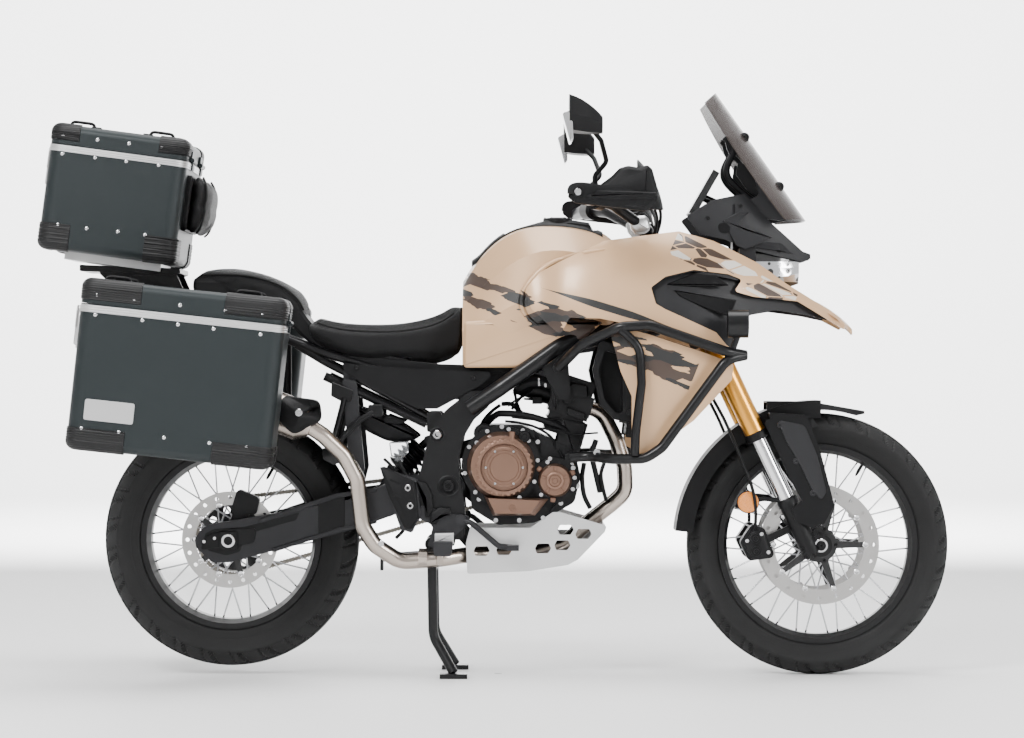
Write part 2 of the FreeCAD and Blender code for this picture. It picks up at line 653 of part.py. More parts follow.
def engine_case():
    """Crankcase block with the casting rims round its covers."""
    half = s.engine_half
    block_ = slab(CRANKCASE, -half, half, 24)
    ring = rod((s.clutch_x, -s.clutch_ring_y, s.clutch_z), (s.clutch_x, -half, s.clutch_z),
               s.clutch_ring_r)
    pickup = rod((s.pickup_x, -s.clutch_ring_y, s.pickup_z), (s.pickup_x, -half, s.pickup_z),
                 s.pickup_r + s.cover_rim + 2)
    gx, gz = s.generator_x, s.clutch_z - 20
    rim_y = half + s.generator_depth * 0.55
    left = rod((gx, half, gz), (gx, half + s.generator_depth, gz), s.generator_r)
    left_rim = rod((gx, half, gz), (gx, rim_y, gz), s.generator_r + s.cover_rim)
    gearbox = slab([(-62, 440), (-62, 590), (20, 600), (40, 470), (10, 420)], half,
                   half + s.generator_depth / 2, 20)
    reach = s.plate_inner_y - s.fit_gap
    mount = rod((-112, -reach, 562), (-112, reach, 562), s.mount_boss_r)
    web = slab([(-124, 552), (-50, 530), (-50, 596), (-116, 576)], -60, 60, 6)
    whole = fuse([block_, ring, pickup, left, left_rim, gearbox, mount, web])
    ex, ez = s.pivot_x + 70, s.pivot_z - 8
    reach = s.engine_sprocket_r + s.chain_height + s.tooth + s.chain_room
    low = s.sprocket_y - s.chain_width / 2 - s.sprocket_room
    high = s.sprocket_y + s.chain_width / 2 + s.sprocket_room
    whole = whole.cut(rod((ex, low, ez), (ex, high, ez), reach))
    whole = whole.cut(block((ex - 90, low, ez - reach - 14), (ex, high, ez + reach)))
    shaft = rod((ex, low - 1, ez), (ex, high + 1, ez), 12)
    thick = s.sprocket_thickness / 2
    teeth = rod((ex, s.sprocket_y - thick, ez), (ex, s.sprocket_y + thick, ez),
                s.engine_sprocket_r + s.tooth)
    node("engine_case", fuse([whole, shaft, teeth]))


def cylinder_head():
    """Leaning cylinder block, head, cam cover, and the throttle bodies behind."""
    half = s.cylinder_half
    lean = s.cylinder_lean
    base = Vector(112, 0, 613)

    def tilted(low, high):
        shape = block(low, high)
        shape.Placement = Placement(base, Rotation(Y_AXIS, lean)).multiply(shape.Placement)
        return shape
    barrel = tilted((0, -half + 6, 4), (88, half - 6, 60))
    deck = tilted((-6, -half, 54), (96, half, 64))
    head = tilted((-8, -half + 2, 64), (98, half - 2, 116))
    cover = tilted((0, -half + 10, 116), (90, half - 10, 152))
    fins = []
    for i in range(1, 4):
        low = i * s.fin_pitch
        fins.append(tilted((-3, -half + 3, low), (91, half - 3, low + s.fin_thickness)))
    throats = []
    for y in (-s.throat_y, s.throat_y):
        start = Placement(base, Rotation(Y_AXIS, lean)).multVec(Vector(-6, y, 92))
        throats.append(rod(tuple(start), (start.x - s.throat_length, y, start.z + 26), s.throat_r))
    reach = s.plate_inner_y - s.fit_gap
    boss = rod((s.head_bolt_x, -reach, s.head_bolt_z), (s.head_bolt_x, reach, s.head_bolt_z),
               s.mount_boss_r)
    whole = fuse([barrel, deck, head, cover, boss] + fins + throats)
    crank = slab(CRANKCASE, -s.engine_half, s.engine_half, 24)
    node("cylinder_head", whole.cut(crank))


def bronze_covers():
    """Clutch cover with its raised cap, pickup cover and the lower cover."""
    y = s.clutch_ring_y + s.fit_gap
    cap = s.clutch_cap_y
    deep = y + s.lower_cover_depth
    clutch = Part.makeCone(s.clutch_r, s.clutch_r - 10, s.clutch_y - y,
                           Vector(s.clutch_x, -y, s.clutch_z), Vector(0, -1, 0))
    boss = rod((s.clutch_x + s.cap_offset, -s.clutch_y + 6, s.clutch_z - 4),
               (s.clutch_x + s.cap_offset, -cap, s.clutch_z - 4), s.clutch_cap_r)
    spout = tube([(s.clutch_x + 22, -s.clutch_y + 8, s.clutch_z + 30),
                  (s.clutch_x + 27, -s.clutch_y + 8, s.clutch_z + 84)], s.spout_r)
    lower = loft([[(-34, -y, 452), (-12, -y, 404), (92, -y, 404), (126, -y, 446)],
                  [(-24, -deep, 448), (-6, -deep, 410), (80, -deep, 410), (104, -deep, 442)]],
                 True)
    pickup = Part.makeCone(s.pickup_r, s.pickup_r - 6, s.pickup_y - y,
                           Vector(s.pickup_x, -y, s.pickup_z), Vector(0, -1, 0))
    ring = rod((s.pickup_x, -s.pickup_y, s.pickup_z), (s.pickup_x, -s.pickup_y - 5, s.pickup_z), 22)
    node("bronze_covers", fuse([clutch, boss, spout, lower, pickup, ring]))


def radiator():
    """Core between two side tanks, leaning with the front of the engine."""
    place_ = Placement(Vector(s.radiator_x, 0, s.radiator_z), Rotation(Y_AXIS, s.radiator_lean))
    half, deep, high = s.core_half, s.core_depth, s.core_height
    edge = s.tank_rim
    outside = s.duct_inner_y - s.fit_gap
    core = block((0, -half, 0), (deep, half, high))
    tanks = both(block((-edge, -outside, -edge - 2), (deep + edge, -half, high + edge + 2)))
    fan = rod((0, 0, 110), (-18, 0, 110), s.fan_r)
    ears = both(block((6, -s.ear_y - s.ear_width, high - 6), (14, -s.ear_y, high + 54)))
    pieces = [core, fan] + tanks + ears
    whole = fuse(pieces)
    whole.Placement = place_
    for piece in spars(s.fit_gap):
        for tube_ in both(piece):
            whole = whole.cut(tube_)
    kept = max(whole.Solids, key=lambda solid: solid.Volume)
    node("radiator", kept)


def radiator_ducts():
    """Black ducts beside the radiator that carry the lower side panels."""
    outline = [(250, 838), (334, 808), (334, 641), (288, 641), (250, 678), (232, 764)]
    y = s.duct_inner_y
    duct = slab(outline, -s.duct_outer_y, -y, 12)
    hollow = slab([(262, 812), (304, 800), (306, 660), (290, 658), (262, 690), (246, 764)],
                  -s.duct_outer_y - 4, -y - s.duct_wall, 8)
    outside = skin(side_grid(), -120, s.panel_wall + s.fit_gap)
    posts = [rod((322, -s.duct_outer_y + 2, z), (322, -300, z), s.duct_post_r).cut(outside)
             for z in (660, 780)]
    posts = [max(post.Solids, key=lambda solid: abs(solid.CenterOfMass.y) < 270) for post in posts]
    node("radiator_ducts", together(both(fuse([duct.cut(hollow)] + posts))))


def skid_plate():
    """Bent aluminium plate under the engine with slots in its sides."""
    side = [(-76, 259), (80, 266), (174, 281), (198, 294), (265, 363), (270, 378), (154, 412),
            (136, 412), (80, 373), (-69, 373), (-79, 336)]
    outer = slab(side, -138, 138, 6)
    half = s.engine_half + s.fit_gap
    inner = slab([(-90, 264), (80, 271), (172, 286), (194, 298), (259, 366), (290, 400),
                  (154, 460), (80, 440), (-90, 440)], -half, half)
    slots = []
    for x, z in ((-40, 316), (16, 318), (112, 322), (160, 330), (168, 368), (212, 358)):
        slots.append(slab([(x - 16, z - 12), (x + 12, z - 12), (x + 20, z), (x + 14, z + 12),
                           (x - 14, z + 12), (x - 20, z)], -150, 150, 4))
    whole = outer.cut(inner)
    for slot in slots:
        whole = whole.cut(slot)
    node("skid_plate", whole)


# Exhaust

def exhaust():
    """Two headers under the engine, one pipe up to the muffler, and its hanger."""
    r = s.header_r
    pieces = []
    for side in (-1, 1):
        pieces.append(tube([(206, side * 58, 676), (262, side * 58, 658), (296, side * 58, 590),
                            (318, side * 56, 520), (320, side * 54, 458), (284, side * 48, 426),
                            (220, side * 38, 376), (166, side * 28 - 10, 326),
                            (90, side * 20 - 26, 306), (20, -48 + side * 12, 305)], r, 60))
    collector = tube([(60, -44, 305), (-20, -78, 305), (-80, -102, 304), (-140, -134, 296),
                      (-242, -136, 289), (-304, -158, 331), (-334, -166, 380), (-346, -170, 492),
                      (-378, -180, 554), (-430, -192, 604), (-486, -s.muffler_y, 640)],
                     s.pipe_r, 60)
    pieces.append(collector)
    node("exhaust_pipes", fuse(pieces).cut(shape_of("cylinder_head")))
    place_ = Placement(Vector(-480, -s.muffler_y, 636), Rotation(Y_AXIS, -68))
    can = Part.makeCylinder(50, 330, Vector(0, 0, 6))
    nose = Part.makeCone(30, 50, 30, Vector(0, 0, -24))
    tail = Part.makeCone(50, 34, 24, Vector(0, 0, 336))
    bore = Part.makeCylinder(24, 60, Vector(0, 0, 310))
    whole = fuse([can, nose, tail]).cut(bore)
    whole.Placement = place_
    rail_y = s.subframe_y + s.subframe_r + s.fit_gap
    lug = block((-622, -s.muffler_y + 40, 700), (-596, -rail_y, 722))
    strap = slab([(-624, 700), (-594, 700), (-594, 880), (-612, 880)], -rail_y - 5, -rail_y, 6)
    node("muffler", fuse([whole.cut(collector), lug.cut(whole), strap]))


# Tank and seats

def tank_sections(extra=0.0):
    """Half sections of the tank from front to back: (x, points of (y, z))."""
    w = s.tank_half + extra
    return [
        (300, [(0, 1072 + extra), (56, 1066 + extra), (108, 1030), (150, 960), (110, 900), (0, 900)]),
        (236, [(0, 1118 + extra), (66, 1104 + extra), (w - 16, 1044), (w + 8, 950), (150, 880),
               (0, 880)]),
        (120, [(0, 1128 + extra), (96, 1120 + extra), (w + 2, 1058), (w + 18, 950), (150, 872),
               (0, 872)]),
        (30, [(0, 1112 + extra), (88, 1100 + extra), (w - 12, 1024), (w + 6, 920), (148, 800),
              (0, 800)]),
        (-40, [(0, 1058 + extra), (72, 1044 + extra), (w - 38, 968), (w - 14, 880), (140, 774),
               (0, 774)]),
        (-88, [(0, 985 + extra), (58, 970 + extra), (112, 926), (138, 860), (128, 776), (0, 776)])]


def fuel_tank():
    sections = [whole_section(x, half) for x, half in tank_sections()]
    tank = loft(sections)
    tunnel = slab([(330, 860), (330, 960), (130, 870), (60, 820), (-10, 752), (60, 740)], -110, 110)
    tank = tank.cut(tunnel)
    gap = s.fit_gap
    spine = block((20, -38 - gap, 1042 - gap), (240, 38 + gap, 1200))
    node("fuel_tank", tank.cut(spine).cut(shape_of("frame_main")))


def tank_cover():
    """Black strip along the top of the tank with the filler cap."""
    cap = Part.makeCylinder(38, 12, Vector(150, 0, 1126))
    strip = loft([
        [(30, -38, 1104), (30, -38, 1042), (30, 38, 1042), (30, 38, 1104)],
        [(130, -38, 1131), (130, -38, 1042), (130, 38, 1042), (130, 38, 1131)],
        [(232, -38, 1126), (232, -38, 1042), (232, 38, 1042), (232, 38, 1126)]])
    node("tank_cover", fuse([strip, cap]))


def seats():
    rider = loft([
        [(-94, -70, 930), (-94, -88, 880), (-94, -90, 800), (-94, 90, 800), (-94, 88, 880),
         (-94, 70, 930)],
        [(-160, -86, 880), (-160, -110, 850), (-160, -110, 784), (-160, 110, 784),
         (-160, 110, 850), (-160, 86, 880)],
        [(-260, -112, 866), (-260, -142, 838), (-260, -142, 784), (-260, 142, 784),
         (-260, 142, 838), (-260, 112, 866)],
        [(-380, -124, 872), (-380, -158, 846), (-380, -156, 806), (-380, 156, 806),
         (-380, 158, 846), (-380, 124, 872)],
        [(-470, -118, 888), (-470, -150, 866), (-470, -146, 850), (-470, 146, 850),
         (-470, 150, 866), (-470, 118, 888)]])
    pillion = loft([
        [(-474, -96, 900), (-474, -120, 886), (-474, -118, 866), (-474, 118, 866),
         (-474, 120, 886), (-474, 96, 900)],
        [(-520, -104, 972), (-520, -132, 944), (-520, -128, 882), (-520, 128, 882),
         (-520, 132, 944), (-520, 104, 972)],
        [(-580, -108, 998), (-580, -138, 974), (-580, -130, 904), (-580, 130, 904),
         (-580, 138, 974), (-580, 108, 998)],
        [(-680, -98, 1008), (-680, -126, 988), (-680, -120, 940), (-680, 120, 940),
         (-680, 126, 988), (-680, 98, 1008)],
        [(-764, -84, 1000), (-764, -104, 990), (-764, -100, 970), (-764, 100, 970),
         (-764, 104, 990), (-764, 84, 1000)]])
    for name, seat, low, high in (("rider_seat", rider, (-320, -120, 762), (-290, -104, 800)),
                                  ("pillion_seat", pillion, (-600, -120, 862), (-570, -104, 915))):
        foot = block(low, high).cut(seat_rail(s.fit_gap))
        node(name, fuse([seat] + both(foot)))


def side_covers():
    """Black covers under the seat on both sides."""
    outline = [(-390, 784), (-340, 776), (-153, 764), (0, 760), (-49, 722), (-150, 668),
               (-200, 668), (-377, 756)]
    right = slab(outline, -139, -125, 10)
    trimmed = right.cut(slab(PIVOT_PLATE, -170, -120, 14).makeOffsetShape(1, 0.01))
    trimmed = trimmed.cut(shape_of("subframe"))
    node("side_covers", together(both(trimmed)))


def tail_unit():
    """Tail under-tray, lamp, and the hanger with a blank plate and two indicators."""
    tray = loft([[(-560, -80, 866), (-560, -80, 884), (-560, 80, 884), (-560, 80, 866)],
                 [(-760, -84, 932), (-760, -84, 952), (-760, 84, 952), (-760, 84, 932)],
                 [(-900, -60, 972), (-900, -60, 990), (-900, 60, 990), (-900, 60, 972)]], True)
    lamp = block((-925, -52, 968), (-896, 52, 998))
    hanger = slab([(-880, 980), (-850, 972), (-960, 800), (-1000, 700), (-1014, 700), (-975, 806)],
                  -30, 30, 6)
    plate = slab([(-975, 806), (-1016, 650), (-1020, 651), (-979, 807)], -90, 90)
    arms = [rod((-955, -30, 850), (-955, -105, 850), 7), rod((-955, 30, 850), (-955, 105, 850), 7),
            rod((-965, -128, 850), (-945, -128, 850), 16), rod((-965, 128, 850), (-945, 128, 850), 16),
            rod((-955, -104, 850), (-955, -128, 850), 7), rod((-955, 104, 850), (-955, 128, 850), 7)]
    foot = block((-757, -60, 914), (-733, 60, 936))
    foot = foot.cut(rod((-745, -70, 912), (-745, 70, 912), s.subframe_r * 0.9 + s.fit_gap))
    node("tail_unit", fuse([tray, foot, lamp, hanger, plate] + arms))


# Fairings

def side_grid():
    """Outer surface of the right side bodywork: rows run back, columns run down."""
    stations = [
        (40, [(1010, 178), (960, 202), (900, 210), (820, 196), (700, 190), (540, 186)]),
        (150, [(1060, 180), (985, 216), (900, 232), (800, 232), (690, 226), (540, 216)]),
        (260, [(1100, 174), (1010, 230), (900, 256), (790, 262), (680, 252), (540, 236)]),
        (370, [(1120, 160), (1030, 230), (910, 262), (790, 272), (680, 262), (540, 244)]),
        (480, [(1120, 152), (1040, 222), (930, 254), (800, 262), (700, 250), (600, 236)]),
        (580, [(1090, 140), (1020, 200), (930, 226), (820, 232), (720, 224), (640, 214)]),
        (680, [(1040, 118), (985, 160), (920, 176), (840, 180), (760, 176), (700, 170)]),
        (790, [(970, 76), (930, 102), (895, 112), (850, 112), (800, 108), (760, 104)]),
        (880, [(900, 34), (885, 44), (870, 48), (850, 48), (830, 46), (810, 44)])]
    return [[(x, -y, z) for z, y in column] for x, column in stations]


UPPER_OUTLINE = [(67, 950), (70, 966), (103, 1004), (152, 1030), (262, 1082), (446, 1106),
                 (532, 1082), (642, 1028), (715, 977), (788, 935), (832, 911), (866, 881),
                 (868, 862), (788, 908), (742, 934), (628, 944), (580, 957), (600, 986),
                 (566, 999), (480, 1009), (410, 992), (375, 966), (386, 926), (410, 912),
                 (534, 856), (560, 825), (588, 806), (578, 792), (540, 808), (494, 824),
                 (372, 864), (250, 890), (177, 892), (152, 850), (84, 912)]
INNER_OUTLINE = [(350, 975), (405, 1010), (480, 1026), (575, 1014), (612, 990), (650, 958),
                 (742, 950), (774, 936), (800, 910), (838, 884), (770, 900), (690, 912),
                 (620, 900), (600, 850), (572, 800), (520, 850), (400, 900), (352, 940)]
SEAT_OUTLINE = [(368, 990), (420, 1008), (500, 1022), (560, 1014), (600, 994), (590, 984),
                (480, 1006), (405, 988), (378, 966), (360, 966)]
LOWER_OUTLINE = [(278, 876), (372, 850), (494, 810), (578, 780), (574, 740), (480, 640),
                 (400, 582), (366, 557), (350, 557), (327, 569), (327, 700), (300, 760),
                 (278, 842)]


def fairings():
    wall = s.panel_wall
    side = skin(side_grid(), wall)
    upper = side.common(slab(UPPER_OUTLINE, -300, -8, 6))
    lower = side.common(slab(LOWER_OUTLINE, -320, -100, 10)).cut(
        slab(UPPER_OUTLINE, -330, -20, 6))
    beak_sections = []
    for x, half, top in ((650, 164, 950), (710, 131, 948), (770, 94, 944), (800, 82, 934),
                         (822, 84, 922), (862, 54, 894), (890, 14, 867)):
        beak_sections.append([(x, -half, top - 16), (x, -half * 0.5, top - 12),
                              (x, half * 0.5, top - 12), (x, half, top - 16),
                              (x, half * 0.92, top - 6), (x, half * 0.4, top),
                              (x, -half * 0.4, top), (x, -half * 0.92, top - 6)])
    beak = loft(beak_sections)
    panels = both(upper)
    for panel in panels:
        beak = beak.cut(panel)
    node("fairing_upper", together([beak] + panels))
    node("fairing_lower", together(both(lower)))


def cheek_grid():
    """Outer surface of the cowl's right cheek: rows run back, columns run down."""
    stations = [
        (440, [(1230, 130), (1170, 140), (1110, 142), (1040, 140), (980, 138)]),
        (520, [(1230, 122), (1170, 134), (1110, 136), (1040, 134), (980, 132)]),
        (600, [(1230, 108), (1170, 120), (1110, 124), (1040, 122), (980, 120)]),
        (680, [(1230, 80), (1170, 92), (1110, 100), (1040, 100), (980, 98)]),
        (740, [(1230, 52), (1170, 66), (1110, 76), (1040, 78), (980, 76)]),
        (800, [(1230, 22), (1170, 32), (1110, 42), (1040, 46), (980, 46)])]
    return [[(x, -y, z) for z, y in column] for x, column in stations]


CHEEK_OUTLINE = [(466, 1145), (530, 1185), (587, 1197), (612, 1202), (674, 1135), (784, 1040),
                 (762, 1034), (700, 1046), (640, 1060), (560, 1088), (500, 1100)]


def cowl():
    """Dark cowl cheeks, lamp bucket, screen bracket and the panels inside the side openings."""
    wall = s.panel_wall
    depth = s.inner_panel_depth
    side = skin(side_grid(), wall, depth).common(slab(INNER_OUTLINE, -320, -24, 8))
    rib = skin(side_grid(), depth - wall - s.fit_gap + 1, wall + s.fit_gap)
    rib = rib.common(slab(SEAT_OUTLINE, -320, -60, 4))
    panel = fuse([side, rib]).cut(shape_of("fairing_upper"))
    panels = both(max(panel.Solids, key=lambda solid: solid.Volume))
    cheek = skin(cheek_grid(), wall).common(slab(CHEEK_OUTLINE, -200, -10, 6))
    bridge = block((588, -132, 1136), (606, 132, 1176))
    bucket = block((600, -122, 958), (s.lamp_back_x - s.fit_gap, 122, 1066))
    neck = block((588, -40, 1050), (616, 40, 1140))
    feet = block((600, -230, 958), (630, 230, 990))
    for zone in both(skin(side_grid(), -120, depth + wall + s.fit_gap)):
        feet = feet.cut(zone)
    feet = max(feet.Solids, key=lambda solid: solid.Volume)
    arms = []
    for y in (-92, 80):
        arms.append(slab([(600, 1150), (700, 1136), (760, 1150), (640, 1330), (620, 1330),
                          (650, 1200), (600, 1176)], y, y + 12, 8))
    front = skin(screen_rows(), -60, s.fit_gap)
    arms = [arm.cut(front) for arm in arms]
    arms = [max(arm.Solids, key=lambda solid: solid.Volume) for arm in arms]
    hood = loft([[(620, -124, 1070), (620, -118, 1086), (620, 118, 1086), (620, 124, 1070)],
                 [(700, -104, 1062), (700, -96, 1080), (700, 96, 1080), (700, 104, 1062)],
                 [(782, -50, 1042), (782, -44, 1054), (782, 44, 1054), (782, 50, 1042)]], True)
    body = fuse(both(cheek) + [bridge, bucket, neck, feet, hood] + arms)
    node("cowl", together([body] + panels))


def headlight():
    """Clear nose of the lamp, held in front of its bucket."""
    back = s.lamp_back_x
    lamp = loft([
        [(back, -88, 1054), (back, -92, 1000), (back, -60, 966), (back, 60, 966),
         (back, 92, 1000), (back, 88, 1054)],
        [(700, -84, 1050), (700, -88, 996), (700, -58, 966), (700, 58, 966), (700, 88, 996),
         (700, 84, 1050)],
        [(752, -62, 1040), (752, -62, 1006), (752, -40, 980), (752, 40, 980), (752, 62, 1006),
         (752, 62, 1040)]])
    node("headlight", lamp)


def screen_rows():
    """Back surface of the screen: rows run up, points run across."""
    rows = []
    for t, half, bow in ((0, 150, 44), (0.33, 176, 44), (0.66, 160, 36), (1, 108, 22)):
        x = 770 - 226 * t
        z = 1136 + 322 * t
        rows.append([(x - bow * k * k * 1.4, half * k, z - 30 * k * k * t)
                     for k in (-1, -0.5, 0, 0.5, 1)])
    return rows


def windscreen():
    """Curved clear screen in front of its bracket's arms."""
    node("windscreen", skin(screen_rows(), -s.screen_wall))


def display():
    """Upright screen of the dash on its post from the cowl's bridge."""
    panel = block((-6, -74, -62), (12, 74, 62))
    panel.Placement = Placement(Vector(512, 0, 1208), Rotation(Y_AXIS, 30))
    post = rod((512, 0, 1200), (600, 0, 1160), 10).cut(block((588 - s.fit_gap, -30, 1100),
                                                             (640, 30, 1200)))
    node("display", fuse([panel, post]))


def guard_bars():
    """Crash bars on both sides with the fog lamps on them."""
    y = -292
    seat = s.plate_inner_y + s.plate_thickness + s.fit_gap
    upper = tube([(150, -seat - 30, 770), (205, -250, 826), (298, y, 869), (370, y, 873),
                  (558, -284, 808), (604, -262, 800)], 12.5, 60)
    upper_foot = rod((150, -seat, 770), (150, -seat - 36, 770), 14)
    lower = tube([(604, -262, 800), (558, -284, 790), (400, y + 12, 575), (360, y + 14, 548),
                  (280, -240, 546), (226, -186, 552), (178, -186, 548)], 12.5, 50)
    lower_foot = rod((178, -s.engine_half - s.fit_gap, 548), (178, -190, 548), 13)
    post = tube([(300, y, 862), (346, y, 820), (350, y, 730), (336, y + 10, 610),
                 (334, y + 14, 556)], 11, 60)
    lamp = rod((560, -282, 876), (610, -282, 876), 34)
    stem = rod((585, -280, 850), (570, -274, 806), 8)
    pieces = [upper, lower, post, lamp, stem, upper_foot, lower_foot]
    crankcase = shape_of("engine_case")
    node("guard_bars", together([side.cut(crankcase) for side in both(fuse(pieces))]))


# Rear suspension and drive

def swingarm():
    """Two arms that hold the axle, joined ahead of the tyre."""
    y0 = s.arm_inner_y
    y1 = y0 + s.arm_thickness
    ax, az = REAR_AXLE.x, REAR_AXLE.z
    px, pz = s.pivot_x, s.pivot_z
    middle_x, middle_z = (ax + px) / 2, (az + pz) / 2
    outline = [(ax - 80, az - 18), (ax - 84, az + 4), (ax - 66, az + 30), (ax - 46, az + 40),
               (ax * 0.7 + px * 0.3, az * 0.7 + pz * 0.3 + 36), (middle_x + 38, middle_z + 37),
               (px - 122, pz + 25), (px - 32, pz + 37), (px + 18, pz + 35), (px + 40, pz),
               (px + 18, pz - 33), (px - 82, pz - 50), (middle_x + 38, middle_z - 38),
               (ax * 0.7 + px * 0.3, az * 0.7 + pz * 0.3 - 51), (ax + 3, az - 54),
               (ax - 40, az - 54)]
    pieces = both(slab(outline, -y1, -y0, 16))
    bridge = slab([(px - 212, pz - 83), (px - 212, pz - 23), (px - 144, pz + 7),
                   (px - 128, pz - 35), (px - 144, pz - 75)], -y0, y0, 12)
    pivot = rod((s.pivot_x, -y0, s.pivot_z), (s.pivot_x, y0, s.pivot_z), 26)
    axle = rod((ax, -y1 - 8, az), (ax, y1 + 8, az), s.axle_r)
    nuts = [rod((ax, -y1 - 8, az), (ax, -y1, az), 19), rod((ax, y1, az), (ax, y1 + 8, az), 19)]
    spacers = [rod((ax, -y0, az), (ax, -s.rear_disc_y - s.disc_thickness / 2 - 1, az), 16),
               rod((ax, y0, az), (ax, s.sprocket_y + s.sprocket_thickness / 2 + 1, az), 16)]
    fx, fz = SHOCK_FOOT
    clevis = [slab([(fx + 12, fz + 4), (fx - 4, fz + 12), (fx - 18, fz - 4), (px - 200, pz - 27),
                    (px - 144, pz + 2)], a, a + s.clevis_wall, 4)
              for a in (s.eye_half, -s.eye_half - s.clevis_wall)]
    shock_pin = rod((fx, -s.eye_half - 2, fz), (fx, s.eye_half + 2, fz), s.shock_pin_r)
    whole = fuse(pieces + clevis + [bridge, pivot, axle, shock_pin] + nuts + spacers)
    bore = rod((s.pivot_x, -y1 - 1, s.pivot_z), (s.pivot_x, y1 + 1, s.pivot_z),
               s.pivot_shaft_r + s.fit_gap)
    node("swingarm", whole.cut(bore))


def chain():
    """Roller chain round the rear and engine sprockets."""
    ax, az = REAR_AXLE.x, REAR_AXLE.z
    ex, ez = s.pivot_x + 70, s.pivot_z - 8
    big, small = s.sprocket_r + s.fit_gap, s.engine_sprocket_r + 6 + s.fit_gap
    height = s.chain_height
    mid = s.sprocket_y
    slope = math.atan2(ez - az, ex - ax)
    spread = math.acos((big - small) / math.hypot(ex - ax, ez - az))

    def loop(grow):
        r1, r2 = big + grow, small + grow
        up, down = slope + spread, slope - spread
        a = Vector(ax + r1 * math.cos(up), mid, az + r1 * math.sin(up))
        b = Vector(ex + r2 * math.cos(up), mid, ez + r2 * math.sin(up))
        c = Vector(ex + r2 * math.cos(down), mid, ez + r2 * math.sin(down))
        d = Vector(ax + r1 * math.cos(down), mid, az + r1 * math.sin(down))
        nose = Vector(ex + r2 * math.cos(slope), mid, ez + r2 * math.sin(slope))
        back = Vector(ax - r1 * math.cos(slope), mid, az - r1 * math.sin(slope))
        return Part.Wire([Part.LineSegment(a, b).toShape(), Part.Arc(b, nose, c).toShape(),
                          Part.LineSegment(c, d).toShape(), Part.Arc(d, back, a).toShape()])
    half = s.chain_width / 2
    outer = Part.Face(loop(height)).extrude(Vector(0, half, 0))
    outer = fuse([outer, Part.Face(loop(height)).extrude(Vector(0, -half, 0))])
    hole = Part.Face(loop(0)).extrude(Vector(0, half + 1, 0))
    hole = fuse([hole, Part.Face(loop(0)).extrude(Vector(0, -half - 1, 0))])
    node("chain", outer.cut(hole))


def shock():
    """Spring and damper between the swingarm's clevis and the frame's."""
    top = Vector(SHOCK_TOP[0], 0, SHOCK_TOP[1])
    foot = Vector(SHOCK_FOOT[0], 0, SHOCK_FOOT[1])
    line = foot - top
    half = s.eye_half - s.fit_gap
    reach = line.Length
    coils = 6
    pitch = (0.64 * reach) / coils
    profile = [(0, 8), (10, 8), (10, 0.18 * reach)]
    for i in range(coils):
        low = 0.18 * reach + pitch * i
        profile += [(27, low), (37, low + pitch * 0.35), (37, low + pitch * 0.55), (27, low + pitch * 0.9)]
    profile += [(10, 0.82 * reach), (10, reach - 8), (0, reach - 8)]
    outline = Part.makePolygon([Vector(r, 0, z) for r, z in profile + profile[:1]])
    coil = Part.Face(outline).revolve(Vector(), Z_AXIS, 360)
    coil.Placement = Placement(top, Rotation(Z_AXIS, line))
    pieces = [coil]
    for end in (top, foot):
        pieces.append(rod((end.x, -half, end.z), (end.x, half, end.z), s.shock_eye_r))
    whole = fuse(pieces)
    for end in (top, foot):
        whole = whole.cut(rod((end.x, -half - 1, end.z), (end.x, half + 1, end.z),
                              s.shock_pin_r + s.fit_gap))
    node("shock", whole)


def hugger():
    """Short mudguard close to the front of the rear tyre."""
    ax, az = REAR_AXLE.x, REAR_AXLE.z
    r = s.rear_tyre_r + 12
    outer = rod((ax, -80, az), (ax, 80, az), r + 4)
    inner = rod((ax, -81, az), (ax, 81, az), r)
    wedge = slab([(ax, az), (ax + 400, az + 50), (ax + 300, az + 420), (ax + 110, az + 420)],
                 -80, 80)
    bridge_back = s.pivot_x - 212 - s.fit_gap
    ear = block((bridge_back - 24, -40, s.pivot_z - 77), (bridge_back, 40, s.pivot_z - 37))
    node("hugger", fuse([outer.cut(inner).common(wedge), ear.cut(rod((ax, -81, az), (ax, 81, az), r))]))


def rear_brake():
    ax, az = REAR_AXLE.x, REAR_AXLE.z
    body = slab([(ax + 2, az + 70), (ax + 66, az + 62), (ax + 76, az + 104), (ax + 20, az + 128)],
                -s.arm_inner_y + s.fit_gap, -62, 10)
    slot = rod((ax, -s.rear_disc_y - 6, az), (ax, -s.rear_disc_y + 6, az), s.rear_disc_r + 4)
    bracket = slab([(ax - 4, az + 24), (ax + 40, az + 24), (ax + 50, az + 70), (ax + 10, az + 74)],
                   -s.arm_inner_y + s.fit_gap, -s.rear_disc_y - 6, 6)
    node("rear_brake", fuse([body, bracket]).cut(slot))


# Stands, pegs and levers

def centre_stand():
    """Two splayed legs with feet, turning on the pin under the frame."""
    px, pz = s.stand_pivot_x, s.stand_pivot_z
    y = s.stand_leg_y
    fx = s.stand_foot_x
    legs = []
    for side in (-1, 1):
        legs.append(tube([(px, side * y, pz), (px + 4, side * y, pz - 230),
                          (fx, side * (y + 34), 14)], s.stand_leg_r, 60))
        legs.append(block((fx - 34, min(side * (y + 14), side * (y + 60)), 0),
                          (fx + 34, max(side * (y + 14), side * (y + 60)), 12)))
        legs.append(rod((px, side * 79, pz), (px, side * (y + 6), pz), 17))
    legs.append(rod((px + 2, -y, pz - 66), (px + 2, y, pz - 66), 10))
    whole = fuse(legs)
    bore = rod((px, -200, pz), (px, 200, pz), s.stand_pin_r + s.stand_gap)
    node("centre_stand", whole.cut(bore))


